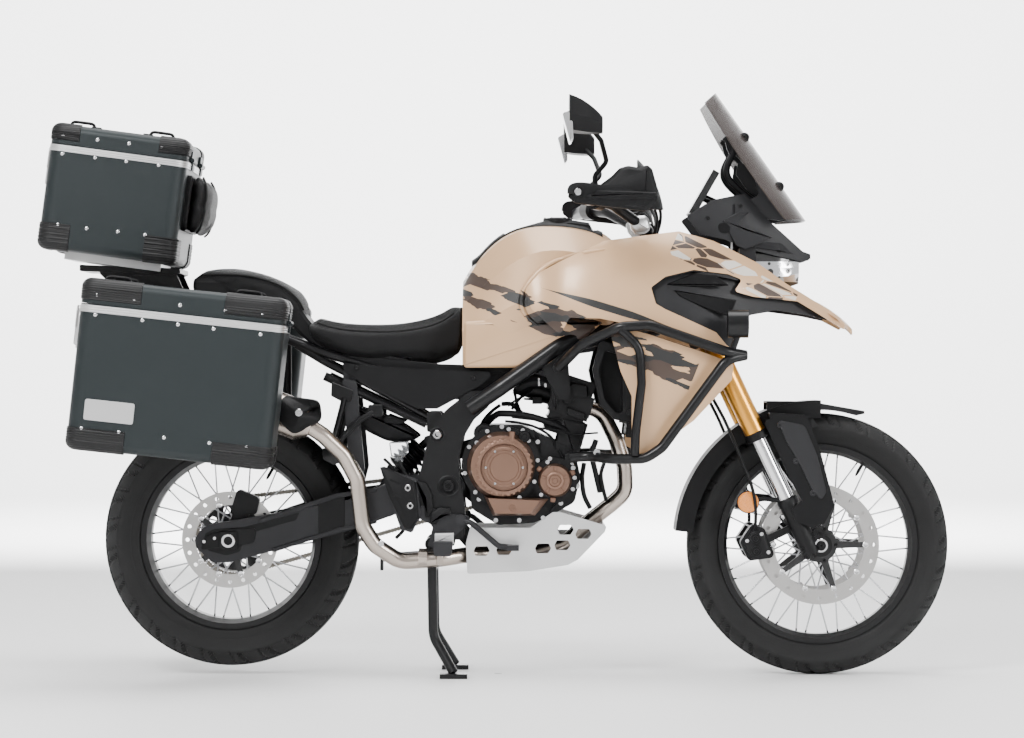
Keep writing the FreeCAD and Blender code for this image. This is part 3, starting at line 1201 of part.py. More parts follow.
def side_stand():
    """Folded leg with its foot plate on the left side."""
    x, y, z = s.side_pivot_x, s.side_pivot_y, s.side_pivot_z
    tip = x - s.side_leg_length
    leg = tube([(x, y, z), (x - 120, y + 2, z - 4), (tip, y + 10, z - 14)], s.side_leg_r, 80)
    eye = rod((x, y - 12, z), (x, y + 12, z), 18)
    foot = block((tip - 8, y - 14, z - 46), (tip, y + 38, z + 6))
    bore = rod((x, y - 30, z), (x, y + 30, z), 8 + s.stand_gap)
    node("side_stand", fuse([leg, eye, foot]).cut(bore))


def footrest_hangers():
    """Peg brackets, pegs, brake and shift pedals and the heel plates."""
    y = s.plate_inner_y + s.plate_thickness + 0.3
    pieces = []
    bracket = slab([(-190, 430), (-120, 410), (-70, 404), (-70, 384), (-112, 350), (-150, 322),
                    (-172, 330), (-160, 380), (-200, 400)], -y - 12, -y, 8)
    arm = slab([(-160, 342), (-118, 342), (-118, 318), (-160, 318)], -y - 40, -y, 4)
    peg = slab([(-155, 311), (-113, 311), (-109, 346), (-157, 346)], -290, -y - 38, 5)
    heel = slab([(-289, 526), (-198, 494), (-191, 408), (-211, 361), (-240, 371), (-282, 494)],
                -y - 16, -y - 11, 8)
    for piece in (bracket, arm, peg, heel):
        pieces.append(piece)
    pedal = tube([(-92, -y - 18, 394), (-66, -y - 22, 388), (2, -y - 24, 330), (42, -y - 26, 326)],
                 7, 20)
    pad_ = block((24, -y - 62, 320), (52, -y - 18, 333))
    hub = rod((-92, -y, 394), (-92, -y - 26, 394), 14)
    right = fuse(pieces + [pedal, pad_, hub])
    node("footrest_hangers", together(both(right) + both(pillion_arm())))


def pillion_arm():
    """Bracket from the lower stay down to the pillion peg."""
    y = s.subframe_y + s.subframe_r * 0.85 + 0.3
    arm = slab([(-386, 744), (-350, 736), (-330, 520), (-345, 462), (-366, 462), (-368, 520)],
               -y - 14, -y, 8)
    tab = slab([(-384, 764), (-352, 750), (-352, 730), (-384, 736)], -y - 3, -y, 2)
    return fuse([arm, tab])


# Fork and steering

def fork_clamps():
    """Upper and lower clamps, the stem between them and the bar risers."""
    f, h = s.fork_offset, s.fork_half
    gap = s.fit_gap
    outline = [(-26, 0), (-18, 34), (f - 30, h), (f - 34, h + 30), (f + 34, h + 30), (f + 36, h),
               (40, 34), (44, 0), (40, -34), (f + 36, -h), (f + 34, -h - 30), (f - 34, -h - 30),
               (f - 30, -h), (-18, -34)]
    pieces = []
    for low, height in ((s.lower_clamp_z, s.lower_clamp_height),
                        (s.upper_clamp_z, s.upper_clamp_height)):
        wire = rounded([Vector(x, y, low) for x, y in outline], 10)
        pieces.append(Part.Face(wire).extrude(Vector(0, 0, height)))
    pieces.append(Part.makeCylinder(s.steer_stem_r, s.upper_clamp_z - s.lower_clamp_z,
                                    Vector(0, 0, s.lower_clamp_z)))
    top = s.upper_clamp_z + s.upper_clamp_height
    for y in (-36, 36):
        pieces.append(Part.makeCylinder(17, s.riser_height + 1, Vector(0, y, top - 1)))
        pieces.append(Part.makeCylinder(s.bar_r + 7, 30, Vector(0, y - 15, top + s.riser_height),
                                        Y_AXIS))
    whole = fuse(pieces)
    for y in (-h, h):
        whole = whole.cut(Part.makeCylinder(s.upper_r + gap, 500, Vector(f, y, 400)))
    bar = Part.makeCylinder(s.bar_r + gap, 200, Vector(0, -100, top + s.riser_height), Y_AXIS)
    node("fork_clamps", steer(whole.cut(bar)))


def fork_legs():
    f, h = s.fork_offset, s.fork_half
    uppers = []
    tubes = []
    castings = []
    for side in (-1, 1):
        y = side * h
        upper = Part.makeCylinder(s.upper_r, s.upper_top - s.upper_bottom, Vector(f, y, s.upper_bottom))
        bore = Part.makeCylinder(s.stanchion_r + s.fit_gap, 330, Vector(f, y, s.upper_bottom - 1))
        uppers.append(upper.cut(bore))
        tubes.append(Part.makeCylinder(s.stanchion_r, s.upper_bottom + 300 - s.casting_top,
                                       Vector(f, y, s.casting_top + s.fit_gap)))
        foot = s.axle_offset - s.fork_offset
        leg = Part.makeCylinder(s.casting_r, s.casting_top + 10, Vector(f, y, -10))
        inner = side * (h - s.casting_r)
        eye = Part.makeCylinder(s.casting_foot - 8, 2 * s.casting_r - 10, Vector(f + foot, inner, 0),
                                Vector(0, side, 0))
        web = Part.makeBox(foot + 6, 2 * s.casting_r - 14, 60,
                           Vector(f, min(inner, inner + side * (2 * s.casting_r - 14)), -20))
        castings.append(fuse([leg, eye, web]))
    axle = Part.makeCylinder(s.axle_r, 2 * h + 20, Vector(s.axle_offset, -h - 10, 0), Vector(0, 1, 0))
    inner = h - s.casting_r
    start = s.front_disc_y + s.disc_thickness / 2 + 1
    spacers = [Part.makeCylinder(15, inner - start + 4, Vector(s.axle_offset, side * start, 0),
                                 Vector(0, side, 0)) for side in (-1, 1)]
    node("fork_uppers", together([steer(u) for u in uppers]))
    node("fork_tubes", together([steer(t) for t in tubes]))
    node("fork_castings", steer(fuse(castings + [axle] + spacers)))


def front_calipers():
    """Radial calipers on the back of the castings, open over the discs."""
    f, h = s.fork_offset, s.fork_half
    pieces = []
    r = s.front_disc_r
    for side in (-1, 1):
        shape = [(-150 + f, 40), (-86 + f, 20), (-80 + f, 96), (-104 + f, 120), (-150 + f, 92)]
        wire = rounded([Vector(x, 0, z) for x, z in shape], 12)
        low, high = 54, 99
        body = Part.Face(wire).extrude(Vector(0, side * (high - low), 0))
        body.translate(Vector(0, side * low, 0))
        slot = Part.makeCylinder(r + 5, 12, Vector(s.axle_offset, side * s.front_disc_y - 6, 0),
                                 Vector(0, 1, 0))
        bracket = Part.makeBox(70, 14, 18, Vector(f - 90, min(side * 84, side * 98), 60))
        leg = Part.makeCylinder(s.casting_r + 0.3, 200, Vector(f, side * h, -20))
        pieces.append(steer(fuse([body.cut(slot), bracket]).cut(leg)))
    node("front_calipers", together(pieces))


def peak_rows(rows, taper):
    """Roof-shaped sections of the mudguard's peak from (x, half width, foot, top) rows."""
    return [[(x, -half, foot), (x, -half * taper, top), (x, half * taper, top), (x, half, foot)]
            for x, half, foot, top in rows]


def fender_peak():
    """Hollow peak of the mudguard, open at its foot."""
    wall = s.fender_wall
    rows = [(672, s.fender_half, 646, 686), (783, s.fender_half, 618, 685),
            (891, 36, 648, 666), (921, 12, 654, 661)]
    inside = [(x - wall, half - wall, foot - 40, top - wall) for x, half, foot, top in rows[:3]]
    shell = loft(peak_rows(rows, 0.84), True).cut(loft(peak_rows(inside, 0.86), True))
    ax, az = FRONT_AXLE.x, FRONT_AXLE.z
    clear = s.fender_half - s.fender_skirt_wall
    room = s.front_tyre_r + s.peak_gap
    return shell.cut(rod((ax, -clear, az), (ax, clear, az), room))


def fender_arc():
    """Arc over the tyre with a skirt along each side."""
    ax, az = FRONT_AXLE.x, FRONT_AXLE.z
    half = s.fender_half
    inside = half - s.fender_skirt_wall
    r = s.front_tyre_r + s.fender_gap
    arc = rod((ax, -half, az), (ax, half, az), r + s.fender_wall)
    arc = arc.cut(rod((ax, -inside, az), (ax, inside, az), r))
    arc = arc.cut(rod((ax, -half - 1, az), (ax, half + 1, az), r + s.fender_wall - s.fender_skirt))
    sector = slab([(ax, az), (ax - 420, az + 40), (ax - 400, az + 420), (ax + 6, az + 440)],
                  -half - 1, half + 1)
    return arc.common(sector)


def front_fender():
    """Mudguard over the tyre with its peak, its bridge and the guards of the fork legs."""
    low = s.fork_half + s.casting_r + s.fit_gap
    outside = low + s.guard_plate
    guard = slab([(660, 635), (690, 652), (770, 640), (800, 560), (834, 429), (809, 384),
                  (779, 397), (725, 491), (680, 590)], -outside, -low, 8)
    tab = slab([(728, 420), (752, 440), (800, 436), (812, 384), (779, 372), (736, 390)],
               -outside, -low, 6)
    bridge = slab([(672, 646), (672, 658), (764, 652), (770, 640)],
                  -outside, -s.fender_half + s.fender_skirt_wall, 3)
    pieces = [fender_arc(), fender_peak()]
    for piece in (guard, tab, bridge):
        pieces += both(piece)
    node("front_fender", fuse(pieces))


def bar_height():
    """Height of the bar's clamp above the steering foot, along the steering axis."""
    return s.upper_clamp_z + s.upper_clamp_height + s.riser_height


def handlebar():
    """Tapered bar with grips, switch blocks, levers and the bosses of the mirrors."""
    z = bar_height()
    bar = tube([(0, 0, z), (0, -86, z), (-60, -200, z + 92), (-100, -290, z + 122),
                (-126, -424, z + 130)], s.bar_r, 70)
    grip = rod((-104, -306, z + 123), (-125, -418, z + 130), s.grip_r)
    switch = rod((-88, -258, z + 114), (-102, -300, z + 122), 24)
    lever = tube([(-84, -262, z + 116), (-52, -290, z + 104), (-80, -412, z + 118)], 6, 30)
    boss = rod((-86, -262, z + 114), (-80, -262, z + 146), 9)
    side = fuse([bar, grip, switch, lever, boss])
    node("handlebar", steer(fuse(both(side))))


def hand_guards():
    """Guards in front of the grips, from the bar end to the bar's bend."""
    z = bar_height()
    band = tube([(-132, -424, z + 130), (-112, -448, z + 126), (0, -430, z + 80), (38, -345, z + 62),
                 (24, -250, z + 66), (-40, -188, z + 84)], 7, 40)
    rows = []
    for x, y, low, high in ((-150, -452, 130, 156), (-70, -450, 90, 142), (6, -428, 42, 120),
                            (40, -352, 26, 156), (44, -276, 30, 156), (18, -226, 44, 130)):
        rows.append([(x - 8, y, z + high), (x + 6, y - 3, z + (low + high) / 2), (x - 4, y, z + low)])
    shield = skin(rows, 3)
    side = fuse([band, shield])
    bar = shape_of("handlebar")
    node("hand_guards", together([steer(p).cut(bar) for p in both(side)]))


def mirrors():
    """Round stems and the mirror housings."""
    z = bar_height()
    foot = steer_point(-80, -262, z + 146 + s.fit_gap)
    stem = tube([foot, steer_point(-75, -262, z + 173), (foot[0] + 24, -290, 1270),
                 (250, -350, 1318), (222, -384, 1350)], 6, 26)
    head = loft([
        [(172, -352, 1402), (172, -364, 1336), (172, -462, 1338), (172, -486, 1372),
         (172, -474, 1420), (172, -370, 1428)],
        [(212, -360, 1396), (212, -368, 1332), (212, -454, 1332), (212, -472, 1366),
         (212, -462, 1402), (212, -372, 1410)],
        [(252, -378, 1370), (252, -382, 1332), (252, -432, 1332), (252, -444, 1352),
         (252, -438, 1366), (252, -386, 1374)]])
    node("mirrors", together(both(fuse([stem, head]))))


# Luggage

def case_box(half_length, low_y, high_y, bottom, top, place_at, open_top):
    """Hollow case part: rounded box between two heights, its cavity open at the seam."""
    wall = s.case_wall

    def rounded_box(shrink, z0, z1, edge_z):
        corner = max(s.case_corner_r - shrink, 2)
        x = half_length - shrink
        y0, y1 = low_y + shrink, high_y - shrink
        wire = rounded([Vector(-x, y0, z0), Vector(x, y0, z0), Vector(x, y1, z0),
                        Vector(-x, y1, z0)], corner)
        box = Part.Face(wire).extrude(Vector(0, 0, z1 - z0))
        edges = [e for e in box.Edges if abs(e.BoundBox.ZMin - edge_z) < 0.01
                 and abs(e.BoundBox.ZMax - edge_z) < 0.01]
        return box.makeFillet(s.case_edge_r - shrink, edges)
    if open_top:
        outer = rounded_box(0, bottom, top, bottom)
        inner = rounded_box(wall, bottom + wall, top + 1, bottom + wall)
    else:
        outer = rounded_box(0, bottom, top, top)
        inner = rounded_box(wall, bottom - 1, top - wall, top - wall)
    shape = outer.cut(inner)
    shape.Placement = place_at
    return shape


def hinged(shell, lid, half_length, seam, middles, place_at):
    """Adds hinges across the seam of a case: leaves, barrels and the pins through them."""
    x, z = half_length + s.hinge_out, seam + s.hinge_up
    r, length = s.barrel_r, s.barrel_length
    gap = s.barrel_gap

    def across(y0, y1, radius):
        shape = rod((x, y0, z), (x, y1, z), radius)
        shape.Placement = place_at.multiply(shape.Placement)
        return shape

    def leaf(y0, y1, low, high):
        shape = block((half_length - 1, y0, low), (x, y1, high))
        shape.Placement = place_at.multiply(shape.Placement)
        return shape
    for y in middles:
        a, b = y - length / 2, y + length / 2
        c = y + length * 1.5
        top = leaf(a, b, z, z + s.leaf_height)
        low = leaf(b + gap, c, z - s.leaf_height, z).cut(lid)
        low_pin = across(a, c, s.hinge_pin_r)
        lid = fuse([lid.cut(across(b, c + gap, r + gap)), across(a, b, r), top])
        lid = lid.cut(across(a - 1, c + 1, s.hinge_pin_r + s.fit_gap))
        shell = fuse([shell.cut(across(a - gap, b + gap, r + gap)), across(b + gap, c, r), low, low_pin])
    return shell, lid


TOP_PLACE = Placement(Vector(s.top_case_x, 0, s.top_case_z), Rotation(Y_AXIS, s.top_case_pitch))
PANNIER_PLACE = Placement(Vector(s.pannier_x, 0, s.pannier_z), Rotation(Y_AXIS, s.pannier_pitch))


def cases():
    w = s.top_case_half_width
    half = s.top_case_half_length
    shell = case_box(half, -w, w, 0, s.top_case_seam, TOP_PLACE, True)
    lid = case_box(half, -w, w, s.top_case_seam + s.lid_gap, s.top_case_height, TOP_PLACE, False)
    shell, lid = hinged(shell, lid, half, s.top_case_seam, (-130, 90), TOP_PLACE)
    node("top_case_shell", shell)
    node("top_case_lid", lid)
    low = s.pannier_inner_y
    high = low + s.pannier_depth
    half = s.pannier_half_length
    shells = []
    for name, y0, y1 in (("right", -high, -low), ("left", low, high)):
        shell = case_box(half, y0, y1, 0, s.pannier_seam, PANNIER_PLACE, True)
        lid = case_box(half, y0, y1, s.pannier_seam + s.lid_gap, s.pannier_height,
                       PANNIER_PLACE, False)
        shell, lid = hinged(shell, lid, half, s.pannier_seam, ((y0 + y1) / 2 - s.barrel_length / 2,),
                            PANNIER_PLACE)
        shells.append(shell)
        node("pannier_lid_" + name, lid)
    node("pannier_shells", together(shells))
    plate = block((-110, -120, -20), (130, 120, -0.3))
    plate.Placement = TOP_PLACE
    rack = slab([(-1040, 1010), (-800, 1000), (-790, 1004), (-790, 1016), (-1040, 1026)],
                -106, 106)
    slots = []
    for x in (-60, 60):
        for y in (-70, 70):
            slot = block((x - 30, y - 8, -30), (x + 30, y + 8, 10))
            slot.Placement = TOP_PLACE
            slots.append(slot)
    shape = plate.cut(rack)
    for slot in slots:
        shape = shape.cut(slot)
    node("top_case_plate", shape)


wheels()
frame_main()
subframe()
luggage_rack()
engine_case()
cylinder_head()
bronze_covers()
radiator()
radiator_ducts()
skid_plate()
exhaust()
fuel_tank()
tank_cover()
seats()
side_covers()
tail_unit()
fairings()
cowl()
headlight()
windscreen()
display()
guard_bars()
swingarm()
chain()
shock()
hugger()
rear_brake()
centre_stand()
side_stand()
footrest_hangers()
fork_clamps()
fork_legs()
front_calipers()
front_fender()
handlebar()
hand_guards()
mirrors()
cases()

doc.recompute()
for item in doc.Objects:
    if "Invalid" in item.State or "Error" in item.State:
        raise RuntimeError("%s failed: %s" % (item.Name, item.State))
faulty = [item.Label for item in NODES if item.Shape.isNull() or not item.Shape.isValid()]
if faulty:
    raise RuntimeError("no valid shape: " + ", ".join(faulty))

os.makedirs("parts", exist_ok=True)
for item in NODES:
    item.Shape.exportStep("parts/%s.step" % item.Label)
    print(item.Label, "solids", len(item.Shape.Solids), "volume", round(item.Shape.Volume))
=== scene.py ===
"""Looks of an adventure motorcycle with metal luggage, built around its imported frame.

Every length is in metres in the frame's own axes: +X forward, +Y to the rider's left, +Z up.
"""
import json
import logging
import math
from dataclasses import dataclass, field
from enum import Enum
from typing import Optional, Union

import bmesh
import bpy
import numpy as np
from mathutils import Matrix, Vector
from mathutils.bvhtree import BVHTree


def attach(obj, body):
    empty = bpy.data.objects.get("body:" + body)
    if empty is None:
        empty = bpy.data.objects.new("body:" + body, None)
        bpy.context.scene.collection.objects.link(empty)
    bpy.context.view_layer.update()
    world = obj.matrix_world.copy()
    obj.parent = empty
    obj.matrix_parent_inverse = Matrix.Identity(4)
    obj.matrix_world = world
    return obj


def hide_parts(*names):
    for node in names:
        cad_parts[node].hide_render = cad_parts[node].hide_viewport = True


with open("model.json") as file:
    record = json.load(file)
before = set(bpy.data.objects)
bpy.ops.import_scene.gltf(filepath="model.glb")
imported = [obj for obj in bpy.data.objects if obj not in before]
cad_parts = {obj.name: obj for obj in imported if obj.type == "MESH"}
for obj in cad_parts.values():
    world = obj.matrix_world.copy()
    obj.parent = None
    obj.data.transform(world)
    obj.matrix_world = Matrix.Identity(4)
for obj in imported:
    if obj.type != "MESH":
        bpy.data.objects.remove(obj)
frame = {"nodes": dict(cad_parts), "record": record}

LOG = logging.getLogger("motorcycle")
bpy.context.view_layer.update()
Array = np.ndarray
Colour = tuple[float, float, float]
Number = Union[int, float]
Term = Union["Wire", Number]
Material = bpy.types.Material
Object = bpy.types.Object
Pieces = list[Object]
TAU = 2 * math.pi
X, Y, Z = np.eye(3)
FRONT_AXLE = (0.802, 0.328)
REAR_AXLE = (-0.668, 0.341)


# Shader trees

class Wire:
    """A socket of a shader tree whose arithmetic adds Math nodes."""

    def __init__(self, shade: "Shade", socket: bpy.types.NodeSocket) -> None:
        """Wraps a socket.

        Args:
            shade: The tree that the socket belongs to.
            socket: The output socket.
        """
        self.shade = shade
        self.socket = socket

    def _math(self, operation: str, *values: Term) -> "Wire":
        """Adds one Math node on the given values."""
        return self.shade.node("ShaderNodeMath", {"operation": operation}, dict(enumerate(values)))

    def __add__(self, other: Term) -> "Wire":
        """Sum."""
        return self._math("ADD", self, other)

    __radd__ = __add__

    def __sub__(self, other: Term) -> "Wire":
        """Difference."""
        return self._math("SUBTRACT", self, other)

    def __rsub__(self, other: Number) -> "Wire":
        """Difference from a plain number."""
        return self._math("SUBTRACT", other, self)

    def __mul__(self, other: Term) -> "Wire":
        """Product."""
        return self._math("MULTIPLY", self, other)

    __rmul__ = __mul__

    def __gt__(self, other: Term) -> "Wire":
        """One where this is greater, else zero."""
        return self._math("GREATER_THAN", self, other)

    def __lt__(self, other: Term) -> "Wire":
        """One where this is less, else zero."""
        return self._math("LESS_THAN", self, other)

    def __abs__(self) -> "Wire":
        """Size without sign."""
        return self._math("ABSOLUTE", self)

    def sine(self) -> "Wire":
        """Sine of an angle in radians."""
        return self._math("SINE", self)

    def between(self, low: Number, high: Number) -> "Wire":
        """One where the value lies between two numbers, else zero."""
        return (self > low) * (self < high)

    def ramp(self, low: Number, high: Number) -> "Wire":
        """Zero below low, one above high and smooth between them."""
        return self.shade.node("ShaderNodeMapRange", {"interpolation_type": "SMOOTHSTEP"},
                               {"Value": self, "From Min": low, "From Max": high})


class Shade:
    """One material's node tree around a Principled shader."""

    def __init__(self, name: str) -> None:
        """Starts an empty material with its output and shader."""
        self.material = bpy.data.materials.new(name)
        self.material.use_nodes = True
        self.tree = self.material.node_tree
        self.tree.nodes.clear()
        self.output = self.tree.nodes.new("ShaderNodeOutputMaterial")
        self.surface = self.tree.nodes.new("ShaderNodeBsdfPrincipled")
        self.tree.links.new(self.surface.outputs[0], self.output.inputs["Surface"])
        self._place: Optional[Wire] = None

    def node(self, kind: str, settings: dict, inputs: dict, output: Union[int, str] = 0) -> Wire:
        """Adds a node.

        Args:
            kind: The node's type.
            settings: Its properties, set before its sockets.
            inputs: Values or wires by socket name or number.
            output: The socket to return.

        Returns:
            The chosen output.
        """
        made = self.tree.nodes.new(kind)
        for key, value in settings.items():
            setattr(made, key, value)
        for key, value in inputs.items():
            self.feed(made.inputs[key], value)
        return Wire(self, made.outputs[output])

    def feed(self, socket: bpy.types.NodeSocket, value: object) -> None:
        """Links a wire to a socket or sets its value."""
        if isinstance(value, Wire):
            self.tree.links.new(value.socket, socket)
        elif isinstance(value, tuple) and len(value) == 3 and socket.type == "RGBA":
            socket.default_value = (*value, 1.0)
        else:
            socket.default_value = value

    def set(self, **values: object) -> None:
        """Sets the shader's sockets; a word's underscores stand for spaces."""
        for key, value in values.items():
            self.feed(self.surface.inputs[key.replace("_", " ")], value)

    @property
    def place(self) -> Wire:
        """The point on the surface in the frame's axes."""
        if self._place is None:
            self._place = self.node("ShaderNodeTexCoord", {}, {}, "Object")
        return self._place

    def axes(self, vector: Wire) -> tuple[Wire, Wire, Wire]:
        """The three parts of a vector."""
        first = self.node("ShaderNodeSeparateXYZ", {}, {0: vector}, 0)
        outputs = first.socket.node.outputs
        return first, Wire(self, outputs[1]), Wire(self, outputs[2])

    def radius(self, x: float, z: float) -> Wire:
        """Distance from an axle that runs across the machine."""
        flat = self.node("ShaderNodeMapping", {}, {"Vector": self.place, "Scale": Vector((1, 0, 1)),
                                                   "Location": Vector((-x, 0, -z))})
        return self.node("ShaderNodeVectorMath", {"operation": "LENGTH"}, {0: flat}, "Value")

    def scaled(self, x: float, y: float, z: float, vector: Optional[Wire] = None) -> Wire:
        """Coordinates multiplied along each axis."""
        return self.node("ShaderNodeMapping", {}, {"Vector": vector or self.place,
                                                   "Scale": Vector((x, y, z))})

    def noise(self, scale: float, detail: float = 3.0, roughness: float = 0.5,
              vector: Optional[Wire] = None) -> Wire:
        """Smooth noise from zero to one."""
        return self.node("ShaderNodeTexNoise", {}, {
            "Vector": vector or self.place, "Scale": scale, "Detail": detail,
            "Roughness": roughness}, "Fac")

    def cells(self, scale: float, feature: str = "F1", vector: Optional[Wire] = None) -> Wire:
        """Distance in a cellular pattern."""
        return self.node("ShaderNodeTexVoronoi", {"feature": feature},
                         {"Vector": vector or self.place, "Scale": scale}, "Distance")

    def mix(self, share: Union[Wire, Number], first: Union[Wire, Colour],
            second: Union[Wire, Colour]) -> Wire:
        """A colour between two colours."""
        return self.node("ShaderNodeMix", {"data_type": "RGBA"}, {0: share, 6: first, 7: second}, 2)

    def fine(self, scale: float = 900.0) -> Wire:
        """Fine grain from zero to one."""
        return self.noise(scale, 1.0, 0.4)

    def bump(self, height: Wire, depth: float) -> Wire:
        """A normal tilted by a height from zero to one, whose one is a depth in metres."""
        return self.node("ShaderNodeBump", {}, {"Height": height, "Distance": depth})


class Grain(Enum):
    """How a surface is broken up at close range."""

    CAST = "cast"
    SATIN = "satin"
    BRUSHED = "brushed"
    LEATHER = "leather"
    MOULDED = "moulded"
    TURNED = "turned"
    RUBBER = "rubber"
    CLEAR = "clear"


@dataclass(frozen=True)
class Finish:
    """One finish of the machine.

    Attributes:
        slot: The record's material slot.
        colour: Base colour.
        grain: Surface texture.
        metallic: Metal share.
        roughness: Mean roughness.
        coat: Weight of a clear coat.
        relief: Height of the grain in metres.
        scale: Grain frequency per metre.
        wander: How far the colour drifts.
        sheen: Strength of the mirror-like share.
    """

    slot: str
    colour: Colour
    grain: Grain
    metallic: float = 0.0
    roughness: float = 0.5
    coat: float = 0.0
    relief: float = 0.0002
    scale: float = 400.0
    wander: float = 0.12
    sheen: float = 0.5

    def build(self) -> Material:
        """Makes the material, named as its slot."""
        shade = Shade(self.slot)
        drift = shade.noise(7.0, 4.0)
        fine = self._fine(shade)
        dark = tuple(part * (1.0 - self.wander) for part in self.colour)
        light = tuple(min(1.0, part * (1.0 + self.wander)) for part in self.colour)
        shade.set(Base_Color=shade.mix(drift, dark, light), Metallic=self.metallic,
                  Roughness=self.roughness * 0.8 + self.roughness * (drift * 0.25 + fine * 0.2),
                  Coat_Weight=self.coat, Coat_Roughness=0.12, Specular_IOR_Level=self.sheen,
                  Normal=shade.bump(fine, self.relief))
        if self.grain is Grain.CLEAR:
            shade.set(Transmission_Weight=0.92, IOR=1.45)
        return shade.material

    def _fine(self, shade: Shade) -> Wire:
        """The grain's height from zero to one."""
        if self.grain is Grain.LEATHER:
            return shade.cells(self.scale, "DISTANCE_TO_EDGE").ramp(0.0, 0.25)
        if self.grain is Grain.BRUSHED:
            return shade.noise(self.scale, 2.0, 0.5, shade.scaled(0.03, 1.0, 1.0))
        if self.grain is Grain.TURNED:
            return shade.noise(self.scale, 2.0, 0.5, shade.scaled(1.0, 0.02, 1.0))
        if self.grain is Grain.CAST:
            return shade.noise(self.scale, 2.0, 0.7)
        if self.grain is Grain.RUBBER:
            return shade.noise(self.scale, 3.0, 0.6)
        return shade.fine(self.scale)


SAND: Colour = (0.57, 0.355, 0.195)

FINISHES: dict[str, Finish] = {item.slot: item for item in (
    Finish("frame_black", (0.005, 0.005, 0.0055), Grain.SATIN, 0.0, 0.34, 0.15, 0.00008, 900.0,
           sheen=0.2),
    Finish("cast_grey", (0.030, 0.030, 0.032), Grain.CAST, 0.5, 0.42, 0.0, 0.0003, 700.0,
           sheen=0.2),
    Finish("silver", (0.66, 0.66, 0.66), Grain.CAST, 0.9, 0.34, 0.0, 0.00012, 900.0, 0.05),
    Finish("engine_black", (0.006, 0.006, 0.0065), Grain.CAST, 0.2, 0.42, 0.0, 0.0004, 650.0,
           sheen=0.24),
    Finish("bronze", (0.205, 0.122, 0.088), Grain.CAST, 0.85, 0.38, 0.0, 0.0002, 900.0, 0.08),
    Finish("core_black", (0.004, 0.004, 0.0045), Grain.CAST, 0.2, 0.6, sheen=0.18),
    Finish("plastic_black", (0.0045, 0.0045, 0.005), Grain.MOULDED, 0.0, 0.46, 0.0, 0.0002, 1500.0,
           sheen=0.17),
    Finish("plastic_grey", (0.016, 0.016, 0.0175), Grain.MOULDED, 0.0, 0.40, 0.0, 0.0002, 1500.0,
           sheen=0.24),
    Finish("sand", SAND, Grain.SATIN, 0.15, 0.38, 0.25, 0.00004, 900.0, 0.04),
    Finish("exhaust_steel", (0.46, 0.40, 0.35), Grain.BRUSHED, 1.0, 0.24, 0.0, 0.0001, 900.0),
    Finish("seat_black", (0.005, 0.005, 0.0055), Grain.LEATHER, 0.0, 0.50, 0.0, 0.0003, 800.0,
           sheen=0.2),
    Finish("clear", (0.20, 0.18, 0.19), Grain.CLEAR, 0.0, 0.06, 0.0, 0.0, 300.0, 0.02),
    Finish("lens", (0.85, 0.87, 0.9), Grain.CLEAR, 0.0, 0.05, 0.0, 0.0, 300.0, 0.02),
    Finish("screen_black", (0.004, 0.004, 0.005), Grain.MOULDED, 0.0, 0.2, 0.4, 0.00002),
    Finish("chain_steel", (0.26, 0.24, 0.21), Grain.BRUSHED, 1.0, 0.38),
    Finish("disc_steel", (0.60, 0.60, 0.60), Grain.TURNED, 1.0, 0.26, 0.0, 0.00005, 1200.0),
    Finish("case_blue", (0.017, 0.022, 0.0235), Grain.SATIN, 0.25, 0.42, 0.0, 0.00008, 1100.0, 0.06,
           0.3),
    Finish("fork_gold", (0.72, 0.33, 0.05), Grain.TURNED, 1.0, 0.28, 0.2, 0.00003, 900.0, 0.05),
    Finish("chrome", (0.74, 0.74, 0.75), Grain.SATIN, 1.0, 0.12, 0.0, 0.00001),
    Finish("rim_black", (0.005, 0.005, 0.0055), Grain.SATIN, 0.3, 0.32, 0.2, 0.00005, 900.0,
           sheen=0.24),
    Finish("tyre", (0.010, 0.010, 0.0105), Grain.RUBBER, 0.0, 0.72, 0.0, 0.0003, 500.0, sheen=0.2),
    Finish("spring", (0.005, 0.005, 0.005), Grain.SATIN, 0.1, 0.32, sheen=0.28))}


# Curves and surfaces

def mm(*points: object) -> Array:
    """Sizes or points in millimetres as an array in metres."""
    return np.array(points, float) * 0.001


def unit(vectors: Array) -> Array:
    """Vectors of length one along the last axis."""
    return vectors / np.linalg.norm(vectors, axis=-1, keepdims=True)


def bend(points: Array, radius: float, steps: int = 4, closed: bool = True) -> Array:
    """Rounds the corners of a line.

    Each corner P becomes the curve (1-t)^2 A + 2t(1-t) P + t^2 B between the points A and B that
    lie the radius before and after it.

    Args:
        points: Corners, rows of two or three numbers.
        radius: Distance of A and B from the corner.
        steps: Points of each curve.
        closed: Whether the line returns to its start.

    Returns:
        The rounded line.
    """
    corners = np.asarray(points, float)
    before = np.roll(corners, 1, 0) - corners
    after = np.roll(corners, -1, 0) - corners
    size_before = np.linalg.norm(before, axis=1, keepdims=True)
    size_after = np.linalg.norm(after, axis=1, keepdims=True)
    first = corners + before / size_before * np.minimum(radius, 0.45 * size_before)
    last = corners + after / size_after * np.minimum(radius, 0.45 * size_after)
    t = np.linspace(0.0, 1.0, steps)[None, :, None]
    curve = ((1 - t) ** 2 * first[:, None] + 2 * t * (1 - t) * corners[:, None]
             + t * t * last[:, None])
    if closed:
        return curve.reshape(-1, corners.shape[1])
    return np.concatenate([corners[:1], curve[1:-1].reshape(-1, corners.shape[1]), corners[-1:]])


